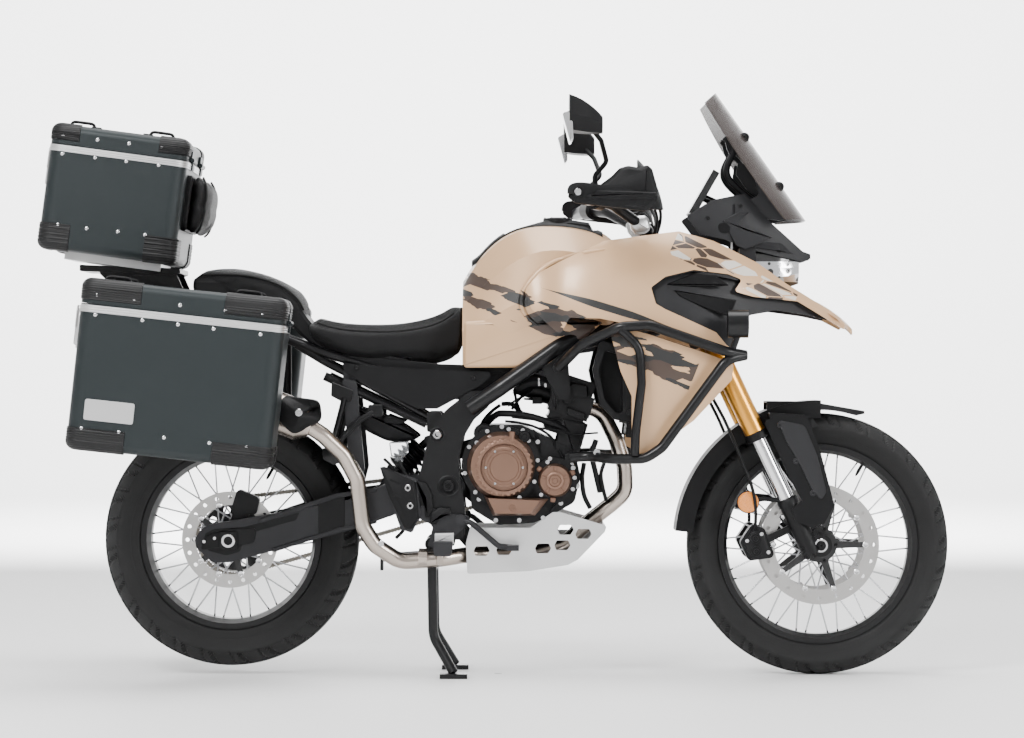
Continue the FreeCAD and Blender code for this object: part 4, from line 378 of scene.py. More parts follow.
def spline(points: Array, steps: int = 8) -> Array:
    """A smooth line through points: cubic pieces whose slopes are half the neighbours' distance."""
    p = np.asarray(points, float)
    q = np.concatenate([2 * p[:1] - p[1:2], p, 2 * p[-1:] - p[-2:-1]])
    t = np.linspace(0.0, 1.0, steps, endpoint=False)[None, :, None]
    a, b, c, d = q[:-3, None], q[1:-2, None], q[2:-1, None], q[3:, None]
    curve = 0.5 * (2 * b + (c - a) * t + (2 * a - 5 * b + 4 * c - d) * t ** 2
                   + (3 * b - a - 3 * c + d) * t ** 3)
    return np.concatenate([curve.reshape(-1, p.shape[1]), p[-1:]])


def inset(outline: Array, distance: float) -> Array:
    """Moves an anticlockwise outline inward, each corner along the sum of its edges' normals."""
    edge = unit(np.roll(outline, -1, 0) - outline)
    normal = np.stack([-edge[:, 1], edge[:, 0]], 1)
    before = np.roll(normal, 1, 0)
    spread = 1.0 + np.sum(normal * before, 1, keepdims=True)
    return outline + (normal + before) / np.maximum(spread, 0.3) * distance


def steady(line: Array) -> Array:
    """The mean of each seven neighbours; the ends count on."""
    return np.convolve(np.pad(line, 3, "edge"), np.ones(7) / 7, "valid")


@dataclass(frozen=True)
class Seat:
    """A place with its own directions.

    Attributes:
        origin: The place.
        u: Direction across.
        v: Direction up.
        w: Direction outward.
    """

    origin: Array
    u: Array
    v: Array
    w: Array

    def at(self, points: Array) -> Array:
        """Turns local points of two or three numbers into points of the frame."""
        local = np.asarray(points, float)
        out = self.origin + local[..., :1] * self.u + local[..., 1:2] * self.v
        return out + local[..., 2:3] * self.w if local.shape[-1] == 3 else out

    def moved(self, *offset: float) -> "Seat":
        """The same directions from another local point."""
        return Seat(self.at(np.array(offset, float)), self.u, self.v, self.w)

    def turned(self, angle: float) -> "Seat":
        """Across and up turned about outward by an angle in radians."""
        c, s = math.cos(angle), math.sin(angle)
        return Seat(self.origin, c * self.u + s * self.v, c * self.v - s * self.u, self.w)

    def flipped(self) -> "Seat":
        """The place looking the other way."""
        return Seat(self.origin, -self.u, self.v, -self.w)


def flank(y: float, x: float = 0.0, z: float = 0.0) -> Seat:
    """The side view at a distance from the middle plane: across is +X, up +Z, outward -Y."""
    return Seat(np.array([x, y, z]), X, Z, -Y)


def outer(side: int, y: float, x: float, z: float) -> Seat:
    """The side view from the right where side is negative, else from the left."""
    seat = flank(side * y, x, z)
    return seat if side < 0 else seat.flipped()


def circle(angles: Array) -> Array:
    """Points (cos a, sin a) on a circle of radius one."""
    return np.stack([np.cos(angles), np.sin(angles)], 1)


def pitched(x: float, z: float, degrees: float) -> Seat:
    """A side view on the middle plane, tipped forward by an angle."""
    c, s = math.cos(math.radians(degrees)), math.sin(math.radians(degrees))
    return Seat(np.array([x, 0, z]), np.array([c, 0, -s]), np.array([s, 0, c]), -Y)


def facing(origin: Array, w: Array) -> Seat:
    """A place that looks along w, with any upright direction."""
    w = unit(np.asarray(w, float))
    u = unit(np.cross(Y if abs(w[1]) < 0.8 else X, w))
    return Seat(np.asarray(origin, float), u, np.cross(w, u), w)


def turned(profile: Array, seat: Seat, sides: int = 24) -> Array:
    """A profile of (radius, height) turned about the seat's outward axis.

    Each point becomes the ring (radius cos a, radius sin a, height).
    """
    angle = np.linspace(0.0, TAU, sides, endpoint=False)
    return ringed(profile[:, :1], profile[:, 1:2], angle, seat)


def ringed(radius: Array, height: Array, angle: Array, seat: Seat) -> Array:
    """Points (radius cos a, radius sin a, height) for arrays that fit rows by angles."""
    shape = np.broadcast_shapes(radius.shape, height.shape, angle[None].shape)
    local = np.stack([np.broadcast_to(radius * np.cos(angle), shape),
                      np.broadcast_to(radius * np.sin(angle), shape),
                      np.broadcast_to(height, shape)], -1)
    return seat.at(local)


def piped(path: Array, radius: Union[float, Array], sides: int = 10) -> Array:
    """Rings round a path: P + radius (N cos a + B sin a), with B and N square to the path.

    N is square to the path and to the line that the path leans on least, so it doesn't twist.
    """
    tangent = unit(np.gradient(path, axis=0))
    lean = np.linalg.svd(tangent, full_matrices=False)[2][-1]
    normal = unit(np.cross(tangent, lean))
    across = np.cross(tangent, normal)
    angle = np.linspace(0.0, TAU, sides, endpoint=False)[None, :, None]
    size = np.broadcast_to(np.asarray(radius, float), (len(path),))[:, None, None]
    ring = normal[:, None] * np.cos(angle) + across[:, None] * np.sin(angle)
    return path[:, None] + size * ring


@dataclass
class Sheet:
    """A grid of points with its faces' way round.

    Attributes:
        points: Array of rows by columns by three.
        closed_rows: True where the last row joins the first.
        closed_columns: True where the last column joins the first.
    """

    points: Array
    closed_rows: bool = False
    closed_columns: bool = False

    def faces(self, start: int) -> Array:
        """Four-sided faces of the grid, numbered from a start."""
        rows, columns = self.points.shape[:2]
        i = np.arange(rows if self.closed_rows else rows - 1)
        j = np.arange(columns if self.closed_columns else columns - 1)
        a, b = np.meshgrid(i, j, indexing="ij")
        c, d = (a + 1) % rows, (b + 1) % columns
        quads = np.stack([a * columns + b, a * columns + d, c * columns + d, c * columns + b], -1)
        return quads.reshape(-1, 4) + start


SAME_PLACE = 2e-6
SIXTHS = np.radians(np.arange(0, 360, 60))
CAP_SCREW = np.array([(1, 0), (1, 0.8), (0.86, 1), (0.52, 1), (0.46, 0.45), (0.05, 0.45)])
COLLAR = np.array([(1, -0.002), (1, 0.0015), (0.86, 0.003), (0.7, 0.0008)])
RIVET = np.array([(1, 0), (0.92, 0.45), (0.7, 0.8), (0.3, 1.0)])


class Stock:
    """Collects surfaces and makes one mesh object of them."""

    def __init__(self) -> None:
        """Starts with nothing."""
        self.points: list[Array] = []
        self.quads: list[Array] = []
        self.caps: list[list[int]] = []
        self.count = 0

    def sheet(self, points: Array, rows: bool = False, ring: bool = False,
              ends: bool = False) -> "Stock":
        """Adds a grid.

        Args:
            points: Rows by columns by three.
            rows: Joins the last row to the first.
            ring: Joins the last column to the first.
            ends: Closes the first and last row with a face each.

        Returns:
            This stock.
        """
        self.quads.append(Sheet(points, rows, ring).faces(self.count))
        height, width = points.shape[:2]
        if ends:
            last = self.count + (height - 1) * width
            self.caps += [list(range(self.count + width - 1, self.count - 1, -1)),
                          list(range(last, last + width))]
        self.points.append(points.reshape(-1, 3))
        self.count += height * width
        return self

    def turn(self, profile: Array, seat: Seat, sides: int = 24) -> "Stock":
        """Adds a closed turned body."""
        return self.sheet(turned(profile, seat, sides), ring=True, ends=True)

    def pipe(self, path: Array, radius: Union[float, Array], sides: int = 10) -> "Stock":
        """Adds a tube with closed ends."""
        return self.sheet(piped(path, radius, sides), ring=True, ends=True)

    def plate(self, outline: Array, seat: Seat, depth: float, bevel: float = 0.0008,
              crown: float = 0.0) -> "Stock":
        """Adds a plate that stands on a seat.

        Args:
            outline: Its outline across and up.
            seat: Where it stands.
            depth: Its thickness.
            bevel: The cut along its outer edge.
            crown: Extra height of a second, inner step.

        Returns:
            This stock.
        """
        x, y = outline.T
        if np.sum(x * np.roll(y, -1) - np.roll(x, -1) * y) < 0:
            outline = outline[::-1]
        rings = [(outline, 0.0), (outline, depth - bevel), (inset(outline, bevel), depth)]
        if crown:
            rings.append((inset(outline, bevel + abs(crown) * 2), depth + crown))
        local = np.stack([np.concatenate([line, np.full((len(line), 1), height)], 1)
                          for line, height in rings])
        return self.sheet(seat.at(local), ring=True, ends=True)

    def screws(self, places: Array, seat: Seat, radius: float, height: float,
               head: Array = CAP_SCREW, sides: int = 10) -> "Stock":
        """Adds a screw or rivet head at each local place."""
        for place in places:
            self.turn(head * [radius, height], seat.moved(*place), sides)
        return self

    def heads(self, probe: "Probe", places: Array, radius: float, height: float,
              sides: int) -> "Stock":
        """Adds a screw head at each point of the side view where the probe meets its nodes."""
        for x, z in places:
            seat = probe.flank(x, z)
            if seat:
                self.turn(CAP_SCREW * [radius, height], seat, sides)
        return self

    def mirror(self) -> "Stock":
        """Adds the mirror image of all that is there."""
        points = np.concatenate(self.points) * np.array([1.0, -1.0, 1.0])
        quads = np.concatenate(self.quads)[:, ::-1] + self.count
        self.caps += [[i + self.count for i in reversed(cap)] for cap in self.caps]
        self.points.append(points)
        self.quads.append(quads)
        self.count *= 2
        return self

    def piece(self, name: str, slot: str, body: str = "root", smooth: float = 35.0,
              look: Optional[Material] = None) -> Object:
        """Makes the object, dresses it and lets it ride.

        Args:
            name: The piece's name.
            slot: The record's material slot.
            body: The CAD body that carries it.
            smooth: Angle in degrees under which faces blend.
            look: Its material, the slot's own where none is given.

        Returns:
            The object.
        """
        mesh = bpy.data.meshes.new(name)
        mesh.from_pydata(np.concatenate(self.points).tolist(), [],
                         np.concatenate(self.quads).tolist() + self.caps)
        weld(mesh)
        mesh.shade_smooth()
        mesh.set_sharp_from_angle(angle=math.radians(smooth))
        mesh.materials.append(look or SHOP.finish(slot))
        piece = bpy.data.objects.new(name, mesh)
        bpy.context.scene.collection.objects.link(piece)
        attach(piece, body)
        return piece


def weld(mesh: bpy.types.Mesh) -> None:
    """Merges points that meet and turns the faces outward."""
    form = bmesh.new()
    form.from_mesh(mesh)
    bmesh.ops.remove_doubles(form, verts=form.verts, dist=SAME_PLACE)
    bmesh.ops.recalc_face_normals(form, faces=form.faces)
    form.to_mesh(mesh)
    form.free()


class Workshop:
    """Materials by name, made once."""

    def __init__(self) -> None:
        """Starts with no material."""
        self.made: dict[str, Material] = {}

    def finish(self, slot: str) -> Material:
        """The material of a slot."""
        if slot not in self.made:
            self.made[slot] = FINISHES[slot].build()
        return self.made[slot]

    def ribbed(self) -> Material:
        """Black moulded plastic with fine ridges, for the cases' corner caps."""
        if "ribbed" not in self.made:
            shade = Shade("ribbed")
            across, _, up = shade.axes(shade.place)
            ridge = ((up + across * 0.1) * (TAU / 0.0052)).sine()
            grain = shade.noise(1500.0, 1.0)
            drift = shade.noise(8.0, 3.0)
            shade.set(Base_Color=shade.mix(drift, (0.005, 0.005, 0.0055), (0.009, 0.009, 0.0095)),
                      Specular_IOR_Level=0.3, Roughness=0.40 + grain * 0.2,
                      Normal=shade.bump(ridge * 0.5 + grain * 0.2, 0.0006))
            self.made["ribbed"] = shade.material
        return self.made["ribbed"]

    def dress_frame(self) -> None:
        """Gives each carried-over node the finish of its slot."""
        for item in frame["record"]["subparts"]:
            dress(item["node"], self.finish(item["material_slot"]))


SHOP = Workshop()


def dress(node: str, material: Material) -> None:
    """Hands a node of the frame its material."""
    materials = frame["nodes"][node].data.materials
    materials.clear()
    materials.append(material)


class Probe:
    """Finds points on the frame's own nodes."""

    def __init__(self, *nodes: str) -> None:
        """Keeps a search tree of each node."""
        graph = bpy.context.evaluated_depsgraph_get()
        self.trees = [(BVHTree.FromObject(frame["nodes"][name], graph),
                       frame["nodes"][name].matrix_world.copy()) for name in nodes]

    def hit(self, origin: Array, direction: Array) -> Optional[Vector]:
        """The nearest point that a ray meets.

        Args:
            origin: Start of the ray.
            direction: Its direction.

        Returns:
            The point, or None where it meets nothing.
        """
        best, nearest = None, math.inf
        for tree, matrix in self.trees:
            back = matrix.inverted()
            start = back @ Vector(origin)
            way = (back.to_3x3() @ Vector(direction)).normalized()
            point, _, _, distance = tree.ray_cast(start, way)
            if point is not None and distance < nearest:
                best, nearest = matrix @ point, distance
        return best

    def across(self, x: float, z: float) -> Optional[Vector]:
        """The outermost point on the right at a point of the side view."""
        return self.hit(np.array([x, -1.0, z]), Y)

    def flank(self, x: float, z: float) -> Optional[Seat]:
        """The outermost place on the right at a point of the side view."""
        point = self.across(x, z)
        if point is None:
            LOG.warning("nothing at x %.3f z %.3f", x, z)
            return None
        return flank(point.y, x, z)

    def drape(self, points: Array, lift: float) -> Array:
        """Side-view points laid on the surface; one that misses takes its neighbour's depth."""
        rows, depth = [], -0.2
        for x, z in points:
            point = self.across(x, z)
            depth = point.y if point is not None else depth
            rows.append((x, depth - lift, z))
        return np.array(rows)


# Wheels

@dataclass(frozen=True)
class Tyre:
    """Tyre with a block tread cut into its crown.

    Attributes:
        name: The node that it stands for.
        body: The wheel's body.
        axle: The axle's place in the side view.
        radius: Outer radius.
        half: Half of its width.
        rim: Radius of the rim's edge.
        rim_half: Half of the rim's width.
        pitches: How often the tread repeats.
        depth: Depth of the tread.
        columns: Points round one repeat of the tread.
        bead: Height of the straight foot inside the rim.
    """

    name: str
    body: str
    axle: tuple[float, float]
    radius: float
    half: float
    rim: float
    rim_half: float
    pitches: int
    depth: float = 0.0055
    columns: int = 22
    bead: float = 0.009

    @property
    def size(self) -> float:
        """Width over that of the tyre for which the section was drawn."""
        return self.half / 0.055

    def section(self) -> Array:
        """Half widths and radii from one bead over the crown to the other."""
        low = self.rim + 0.0003
        right = np.array([
            (self.rim_half + 0.001, low + 0.013), (self.half, self.rim * 0.45 + self.radius * 0.55),
            (self.half * 0.9, self.radius - 0.022 * self.size),
            (self.half * 0.45, self.radius - 0.004 * self.size), (0.0, self.radius)])
        left = right[-2::-1] * np.array([-1, 1])
        crown = spline(np.concatenate([right, left]), 8)
        seat = self.rim_half - 0.0043
        foot = np.array([(seat, low), (seat, low + self.bead)])
        return np.concatenate([foot, crown, foot[::-1] * np.array([-1, 1])])

    def grooves(self, across: Array, turn: Array) -> Array:
        """Share of the tread's depth at each point.

        Slanted bars run from near the middle to each shoulder, half a pitch apart, joined by a ring
        that breaks once a pitch; narrow cuts mark the shoulder.

        Args:
            across: Distance from the middle over the half width, with its sign.
            turn: Pitches round the wheel.

        Returns:
            Array of the same shape.
        """
        out = np.abs(across)
        side = (across > 0) * 0.5
        bar = np.mod(turn + side + 0.55 * out, 1.0)
        slanted = (bar < 0.15) & (out > 0.14) & (out < 0.97)
        ring = (np.abs(out - 0.44) < 0.045) & (bar > 0.28)
        middle = (np.mod(turn + 0.9 * across + 0.2, 1.0) < 0.11) & (out < 0.34)
        narrow = (np.mod(turn + side + 0.3 * out + 0.5, 1.0) < 0.07) & (out > 0.5)
        return np.maximum(1.0 * (slanted | middle), np.maximum(0.8 * ring, 0.5 * narrow))

    def build(self) -> Object:
        """Makes the tyre in place of its node."""
        section = self.section()
        angle = np.linspace(0.0, TAU, self.pitches * self.columns, endpoint=False)
        across = section[:, :1] / self.half
        crown = section[:, 1:2] > self.radius - 0.03 * self.size
        cut = self.grooves(across, angle[None] * self.pitches / TAU) * crown
        radius = section[:, 1:2] - self.depth * cut
        points = ringed(radius, section[:, :1] * (1 - 0.04 * cut), angle, flank(0.0, *self.axle))
        piece = Stock().sheet(points, rows=True, ring=True).piece(
            self.name + "_rubber", "tyre", self.body, 28, self.finish())
        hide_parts(self.name)
        return piece

    def finish(self) -> Material:
        """Dark rubber with moulded rings on the sidewall."""
        shade = Shade(self.name)
        radius = shade.radius(*self.axle)
        drift = shade.noise(9.0, 4.0)
        grain = shade.noise(520.0, 3.0, 0.6)
        wall = radius.ramp(self.rim + 0.016, self.rim + 0.02) * (1 - radius.ramp(
            self.radius - 0.03, self.radius - 0.024))
        rings = abs((radius * (TAU / 0.0042)).sine()) * wall
        step = radius.between(self.rim + 0.030, self.rim + 0.034) + radius.between(
            self.radius - 0.036, self.radius - 0.033)
        height = grain * 0.25 + rings * 0.3 + step * 0.6
        shade.set(Base_Color=shade.mix(drift, (0.006, 0.006, 0.0062), (0.011, 0.011, 0.0112)),
                  Roughness=0.58 + grain * 0.2, Specular_IOR_Level=0.3,
                  Normal=shade.bump(height, 0.0009))
        return shade.material


@dataclass(frozen=True)
class WheelTrim:
    """Nuts, rivets and rings of one wheel.

    Attributes:
        body: The wheel's body.
        axle: The axle's place in the side view.
        disc_y: Distance of the brake disc from the middle plane.
        rivet_ring: Radius of the circle of rivets.
        sides: Sides that carry a disc.
        rim: Radius of the rim's edge.
        rivets: How many rivets hold a disc.
    """

    body: str
    axle: tuple[float, float]
    disc_y: float
    rivet_ring: float
    sides: tuple[int, ...]
    rim: float
    rivets: int = 10

    def build(self) -> Pieces:
        """Makes the rivets and the hub's screws on each disc, and the valve."""
        pins, dark = Stock(), Stock()
        ring = circle(np.arange(self.rivets) * TAU / self.rivets) * self.rivet_ring
        profile = mm((7.5, 0), (7.5, 1.2), (6.2, 2), (4, 1.2), (1, 1.2))
        for side in self.sides:
            seat = outer(side, self.disc_y + 0.0025, *self.axle)
            for place in ring:
                pins.turn(profile, seat.moved(*place), 14)
            dark.screws(ring[::2] * 0.36, seat, 0.0045, 0.004)
        reach = self.rim - 0.012
        valve = facing(np.array([self.axle[0] + reach * 0.5, 0.0, self.axle[1] + reach * 0.866]),
                       (-0.5, 0, -0.866))
        dark.turn(mm((4, -4), (4.2, 20), (3, 30), (1, 34)), valve, 10)
        return [pins.piece(self.body + "_rivets", "chrome", self.body),
                dark.piece(self.body + "_screws", "engine_black", self.body)]


# Cases

QUARTER = np.linspace(0.0, math.pi / 2, 9)


@dataclass(frozen=True)
class Case:
    """One metal case's skin, and the corner caps and grooved band that follow it.

    Lengths are local: across is along the machine, up is square to the case's floor.

    Attributes:
        name: The case's name.
        shell_body: Body of the box.
        lid_body: Body of the lid.
        frame: Place and pitch of the case's own axes.
        half_length: Half of its length.
        low_y: Its inner or left side.
        high_y: Its outer or right side, as distances toward -Y.
        height: Its height.
        seam: Height of the seam.
        corner: Radius of its upright corners.
        edge: Radius of its upper and lower edges.
        rise: How far a corner cap stands off.
        tuck: How far a cap's border goes under the skin.
    """

    name: str
    shell_body: str
    lid_body: str
    frame: Seat
    half_length: float
    low_y: float
    high_y: float
    height: float
    seam: float
    corner: float = 0.034
    edge: float = 0.020
    rise: float = 0.0032
    tuck: float = 0.0006

    @property
    def middle(self) -> float:
        """Distance of its own middle from the case's axes."""
        return (self.high_y + self.low_y) / 2

    @property
    def centre(self) -> Array:
        """Centre of an upright corner's arc, from the middle of the case."""
        return np.array([self.half_length, (self.high_y - self.low_y) / 2]) - self.corner

    def surface(self, plan: Array, normal: Array, climb: Array, top: bool) -> Array:
        """Points of the case's skin beside one upright corner.

        Args:
            plan: Points on the outline seen from above.
            normal: Directions outward in plan.
            climb: Rows of (height, inset, lift).
            top: Whether heights count from the lid's top downward.

        Returns:
            Grid of local points across, outward, up.
        """
        height, inward, lift = climb.T
        flat = plan[None] + normal[None] * (lift - inward)[:, None, None]
        up = np.repeat((self.height - height if top else height)[:, None], len(plan), 1)
        return np.concatenate([flat, up[..., None]], 2)

    def cap(self, sign: tuple[float, float], top: bool, reach: tuple[float, float, float]) -> Array:
        """A ribbed corner cap over one corner of the case.

        The skin is followed along one side, round the corner's arc and along the next side, and up
        the wall, round the edge and onto the top. Rows inside the border stand off by the rise.

        Args:
            sign: Which corner, as signs along and outward.
            top: Whether it sits at the lid's top.
            reach: Lengths along the case, outward, and up from the floor or down from the top.

        Returns:
            Grid of points in the frame.
        """
        along, aside, tall = reach
        out = circle(QUARTER)
        share = np.array([1.0, 0.99, 0.75, 0.5, 0.25])[:, None]
        before = self.centre + np.array([self.corner, 0]) - np.array([0, 1]) * share * (
            aside - self.corner)
        after = self.centre + np.array([0, self.corner]) - np.array([1, 0]) * share[::-1] * (
            along - self.corner)
        plan = np.concatenate([before, self.centre + out * self.corner, after])
        normal = np.concatenate([np.tile([1.0, 0], (5, 1)), out, np.tile([0, 1.0], (5, 1))])
        wall = np.linspace(tall, self.edge, 16)
        bow = np.linspace(0.0, math.pi / 2, 7)[1:]
        flat = np.array([0.004, 0.0075, 0.008])
        level = np.concatenate([wall, self.edge * (1 - np.sin(bow)), np.zeros(3)])
        inward = np.concatenate([np.zeros(16), self.edge * (1 - np.cos(bow)), self.edge + flat])
        lift = np.full(len(level), self.rise)
        lift[2:15:3] -= 0.0012
        rise_up = np.concatenate([np.zeros(16), np.sin(bow), np.ones(3)]) * self.rise
        grid = self.surface(plan, normal, np.stack([level, inward, lift * np.concatenate(
            [np.ones(16), np.cos(bow), np.zeros(3)])], 1), top)
        grid[..., 2] += (rise_up if top else -rise_up)[:, None]
        grid = self._tuck(grid, plan, normal, level, inward, top)
        return self.frame.at(np.stack([grid[..., 0] * sign[0], grid[..., 2],
                                       grid[..., 1] * sign[1] + self.middle], -1))

    def _tuck(self, grid: Array, plan: Array, normal: Array, level: Array, inward: Array,
              top: bool) -> Array:
        """Brings the border of a cap just under the case's skin."""
        sunk = np.stack([level, inward, np.full(len(level), -self.tuck)], 1)
        under = self.surface(plan, normal, sunk, top)
        under[-1, :, 2] += -self.tuck if top else self.tuck
        edge = np.zeros(grid.shape[:2], bool)
        edge[[0, -1]] = True
        edge[:, [0, -1]] = True
        return np.where(edge[..., None], under, grid)

    def band(self, low: float, high: float, grooves: int = 3) -> Array:
        """The grooved strip round three sides under the seam."""
        arc = circle(QUARTER)
        half = np.concatenate([[[self.centre[0] + self.corner, -self.centre[1]]],
                               self.centre + arc * self.corner])
        normal = np.concatenate([[[1.0, 0]], arc])
        plan = np.concatenate([half, half[::-1] * [-1, 1]])
        out = np.concatenate([normal, normal[::-1] * [-1, 1]])
        step = np.linspace(low, high, grooves * 4 + 1)
        lift = np.where(np.arange(len(step)) % 4 < 3, 0.0022, 0.0012)
        level = np.concatenate([[low], step, [high]])
        rise = np.concatenate([[-0.0005], lift, [-0.0005]])
        flat = plan[None] + out[None] * rise[:, None, None]
        up = np.repeat(level[:, None], len(plan), 1)
        return self.frame.at(np.stack([flat[..., 0], up, flat[..., 1] + self.middle], -1))

    def face(self) -> Seat:
        """The outer side's own seat."""
        return self.frame.moved(0.0, 0.0, self.high_y)

    def caps(self, top: bool, reach: tuple[float, float, float]) -> Stock:
        """The four caps of the lid or the floor."""
        stock = Stock()
        for sign in ((1, 1), (-1, 1), (1, -1), (-1, -1)):
            stock.sheet(self.cap(sign, top, reach))
        return stock


@dataclass(frozen=True)
class CaseTrim:
    """Where one case's trim sits, in its own axes.

    Attributes:
        case: The case.
        lid_rivets: Places on the lid.
        shell_rivets: Places on the box.
        lid_reach: Size of the lid's corner caps.
        floor_reach: Size of the floor's corner caps.
        band: Lower and upper edge of the grooved strip.
        latches: Places of the latches' feet across the rear end.
        loops: Places of the lashing loops along the lid.
    """

    case: Case
    lid_rivets: Array
    shell_rivets: Array
    lid_reach: tuple[float, float, float]
    floor_reach: tuple[float, float, float]
    band: tuple[float, float]
    latches: tuple[float, ...]
    loops: tuple[float, ...]

    def build(self) -> Pieces:
        """Makes the trim of the box and of the lid."""
        case = self.case
        pins, lid_pins = (Stock().screws(places, case.face(), 0.0052, 0.0026, RIVET, 12)
                          for places in (self.shell_rivets, self.lid_rivets))
        return [
            case.caps(True, self.lid_reach).piece(
                case.name + "_lid_caps", "plastic_black", case.lid_body, look=SHOP.ribbed()),
            case.caps(False, self.floor_reach).piece(
                case.name + "_floor_caps", "plastic_black", case.shell_body, look=SHOP.ribbed()),
            Stock().sheet(case.band(*self.band)).piece(
                case.name + "_band", "silver", case.shell_body, 20),
            pins.piece(case.name + "_rivets", "chrome", case.shell_body),
            lid_pins.piece(case.name + "_lid_rivets", "chrome", case.lid_body),
            *self.latch_pieces(), self.loop_piece()]

    def latch_pieces(self) -> Pieces:
        """Latches on the rear end: a plate, a lever and a hook that stops under the lid."""
        case = self.case
        rear = case.frame.moved(-case.half_length, case.seam - 0.004, case.middle)
        seat = Seat(rear.origin, -rear.w, rear.v, -rear.u)
        stock = Stock()
        for place in self.latches:
            spot = seat.moved(place, 0.0, 0.0)
            stock.plate(bend(mm((-24, -105), (24, -105), (24, -20), (-24, -20)), 0.006), spot,
                        0.003)
            stock.plate(bend(mm((-17, -98), (17, -98), (14, -2), (-14, -2)), 0.008), spot, 0.010,
                        0.003)
            hook = mm((-19, -55, 8), (-19, -4, 8), (19, -4, 8), (19, -55, 8))
            stock.pipe(spot.at(bend(hook, 0.012, 5, False)), 0.0022)
        return [stock.piece(case.name + "_latches", "silver", case.shell_body)]

    def loop_piece(self) -> Object:
        """Low loops for straps along the lid's upper edges."""
        case = self.case
        stock = Stock()
        reach = (case.high_y - case.low_y) / 2 - 0.038
        for along in self.loops:
            for aside in (case.middle - reach, case.middle + reach):
                spot = case.frame.moved(along, case.height, aside)
                stock.pipe(spot.at(bend(mm((-30, -2, 0), (-26, 10, 0), (26, 10, 0), (30, -2, 0)),
                                        0.010, 5, False)), 0.0038, 8)
                for end in (-0.034, 0.034):
                    foot = Seat(spot.at(np.array([end, -0.0005, 0.0])), spot.u, -spot.w, spot.v)
                    stock.plate(bend(mm((-12, -9), (12, -9), (12, 9), (-12, 9)), 0.004), foot,
                                0.004)
        return stock.piece(case.name + "_loops", "plastic_black", case.lid_body)


@dataclass(frozen=True)
class Luggage:
    """The three cases' trim, the backrest's carrier and the bare badge plates.

    Attributes:
        pannier_axes: Foot and pitch of the side cases' own axes.
        top_axes: Foot and pitch of the top case's own axes.
    """

    pannier_axes: tuple[float, float, float] = (-0.784, 0.554, 6.2)
    top_axes: tuple[float, float, float] = (-0.965, 1.045, 7.5)

    def build(self) -> Pieces:
        """Trims each case and adds the badge plates and the carrier."""
        return [*self.pannier("right").build(), *self.pannier("left").build(), *self.top().build(),
                self.badges(), self.pad_base()]

    def pannier(self, side: str) -> CaseTrim:
        """The trim of the side case on the machine's right or left."""
        axes = pitched(*self.pannier_axes)
        if side == "left":
            axes = Seat(axes.origin, axes.u, axes.v, -axes.w)
        case = Case("pannier_" + side, "root", "pannier_lid_" + side, axes, half_length=0.244,
                    low_y=0.271, high_y=0.500, height=0.405, seam=0.346)
        return CaseTrim(
            case,
            mm((-205, 368), (-116, 367), (-7, 365), (102, 364), (190, 363)),
            mm((-204, 321), (-92, 320), (-7, 319), (78, 318), (190, 317), (-208, 50), (-119, 50),
               (-11, 49), (97, 48), (185, 47)),
            (0.145, 0.100, 0.050), (0.140, 0.100, 0.052), (0.326, 0.343), (-0.060, 0.060),
            (-0.162, 0.150))

    def top(self) -> CaseTrim:
        """The trim of the top case."""
        case = Case("top_case", "root", "top_case_lid", pitched(*self.top_axes), half_length=0.170,
                    low_y=-0.215, high_y=0.215, height=0.308, seam=0.258)
        return CaseTrim(
            case,
            mm((-138, 279), (-54, 279), (24, 280), (105, 282)),
            mm((-135, 234), (-54, 235), (23, 236), (103, 237), (-123, 60), (-52, 60), (25, 62),
               (92, 63)),
            (0.072, 0.090, 0.040), (0.078, 0.100, 0.064), (0.240, 0.2555), (-0.12, 0.12),
            (-0.098, 0.098))

    def badges(self) -> Object:
        """A bare brushed plate low on each side case."""
        face = self.pannier("right").case.face()
        outline = bend(mm((-206, 71), (-88, 71), (-88, 121), (-206, 121)), 0.006)
        stock = Stock().plate(outline, face, 0.0022, 0.0006)
        stock.screws(mm((-200, 77), (-94, 77), (-94, 115), (-200, 115)), face.moved(0, 0, 0.0018),
                     0.0022, 0.001, RIVET, 8)
        return stock.mirror().piece("badge_plates", "silver")

    def pad_base(self) -> Object:
        """The backrest pad's black carrier on the top case's front."""
        case = self.top().case
        front = case.frame.moved(case.half_length, 0.0, 0.0)
        outline = bend(mm((-150, 88), (150, 88), (160, 120), (150, 226), (-150, 226), (-160, 120)),
                       0.018, 6)
        seat = Seat(front.origin, front.w, front.v, front.u)
        return Stock().plate(outline, seat, 0.014, 0.004).piece("backrest_carrier", "plastic_black")


# Engine and frame trim

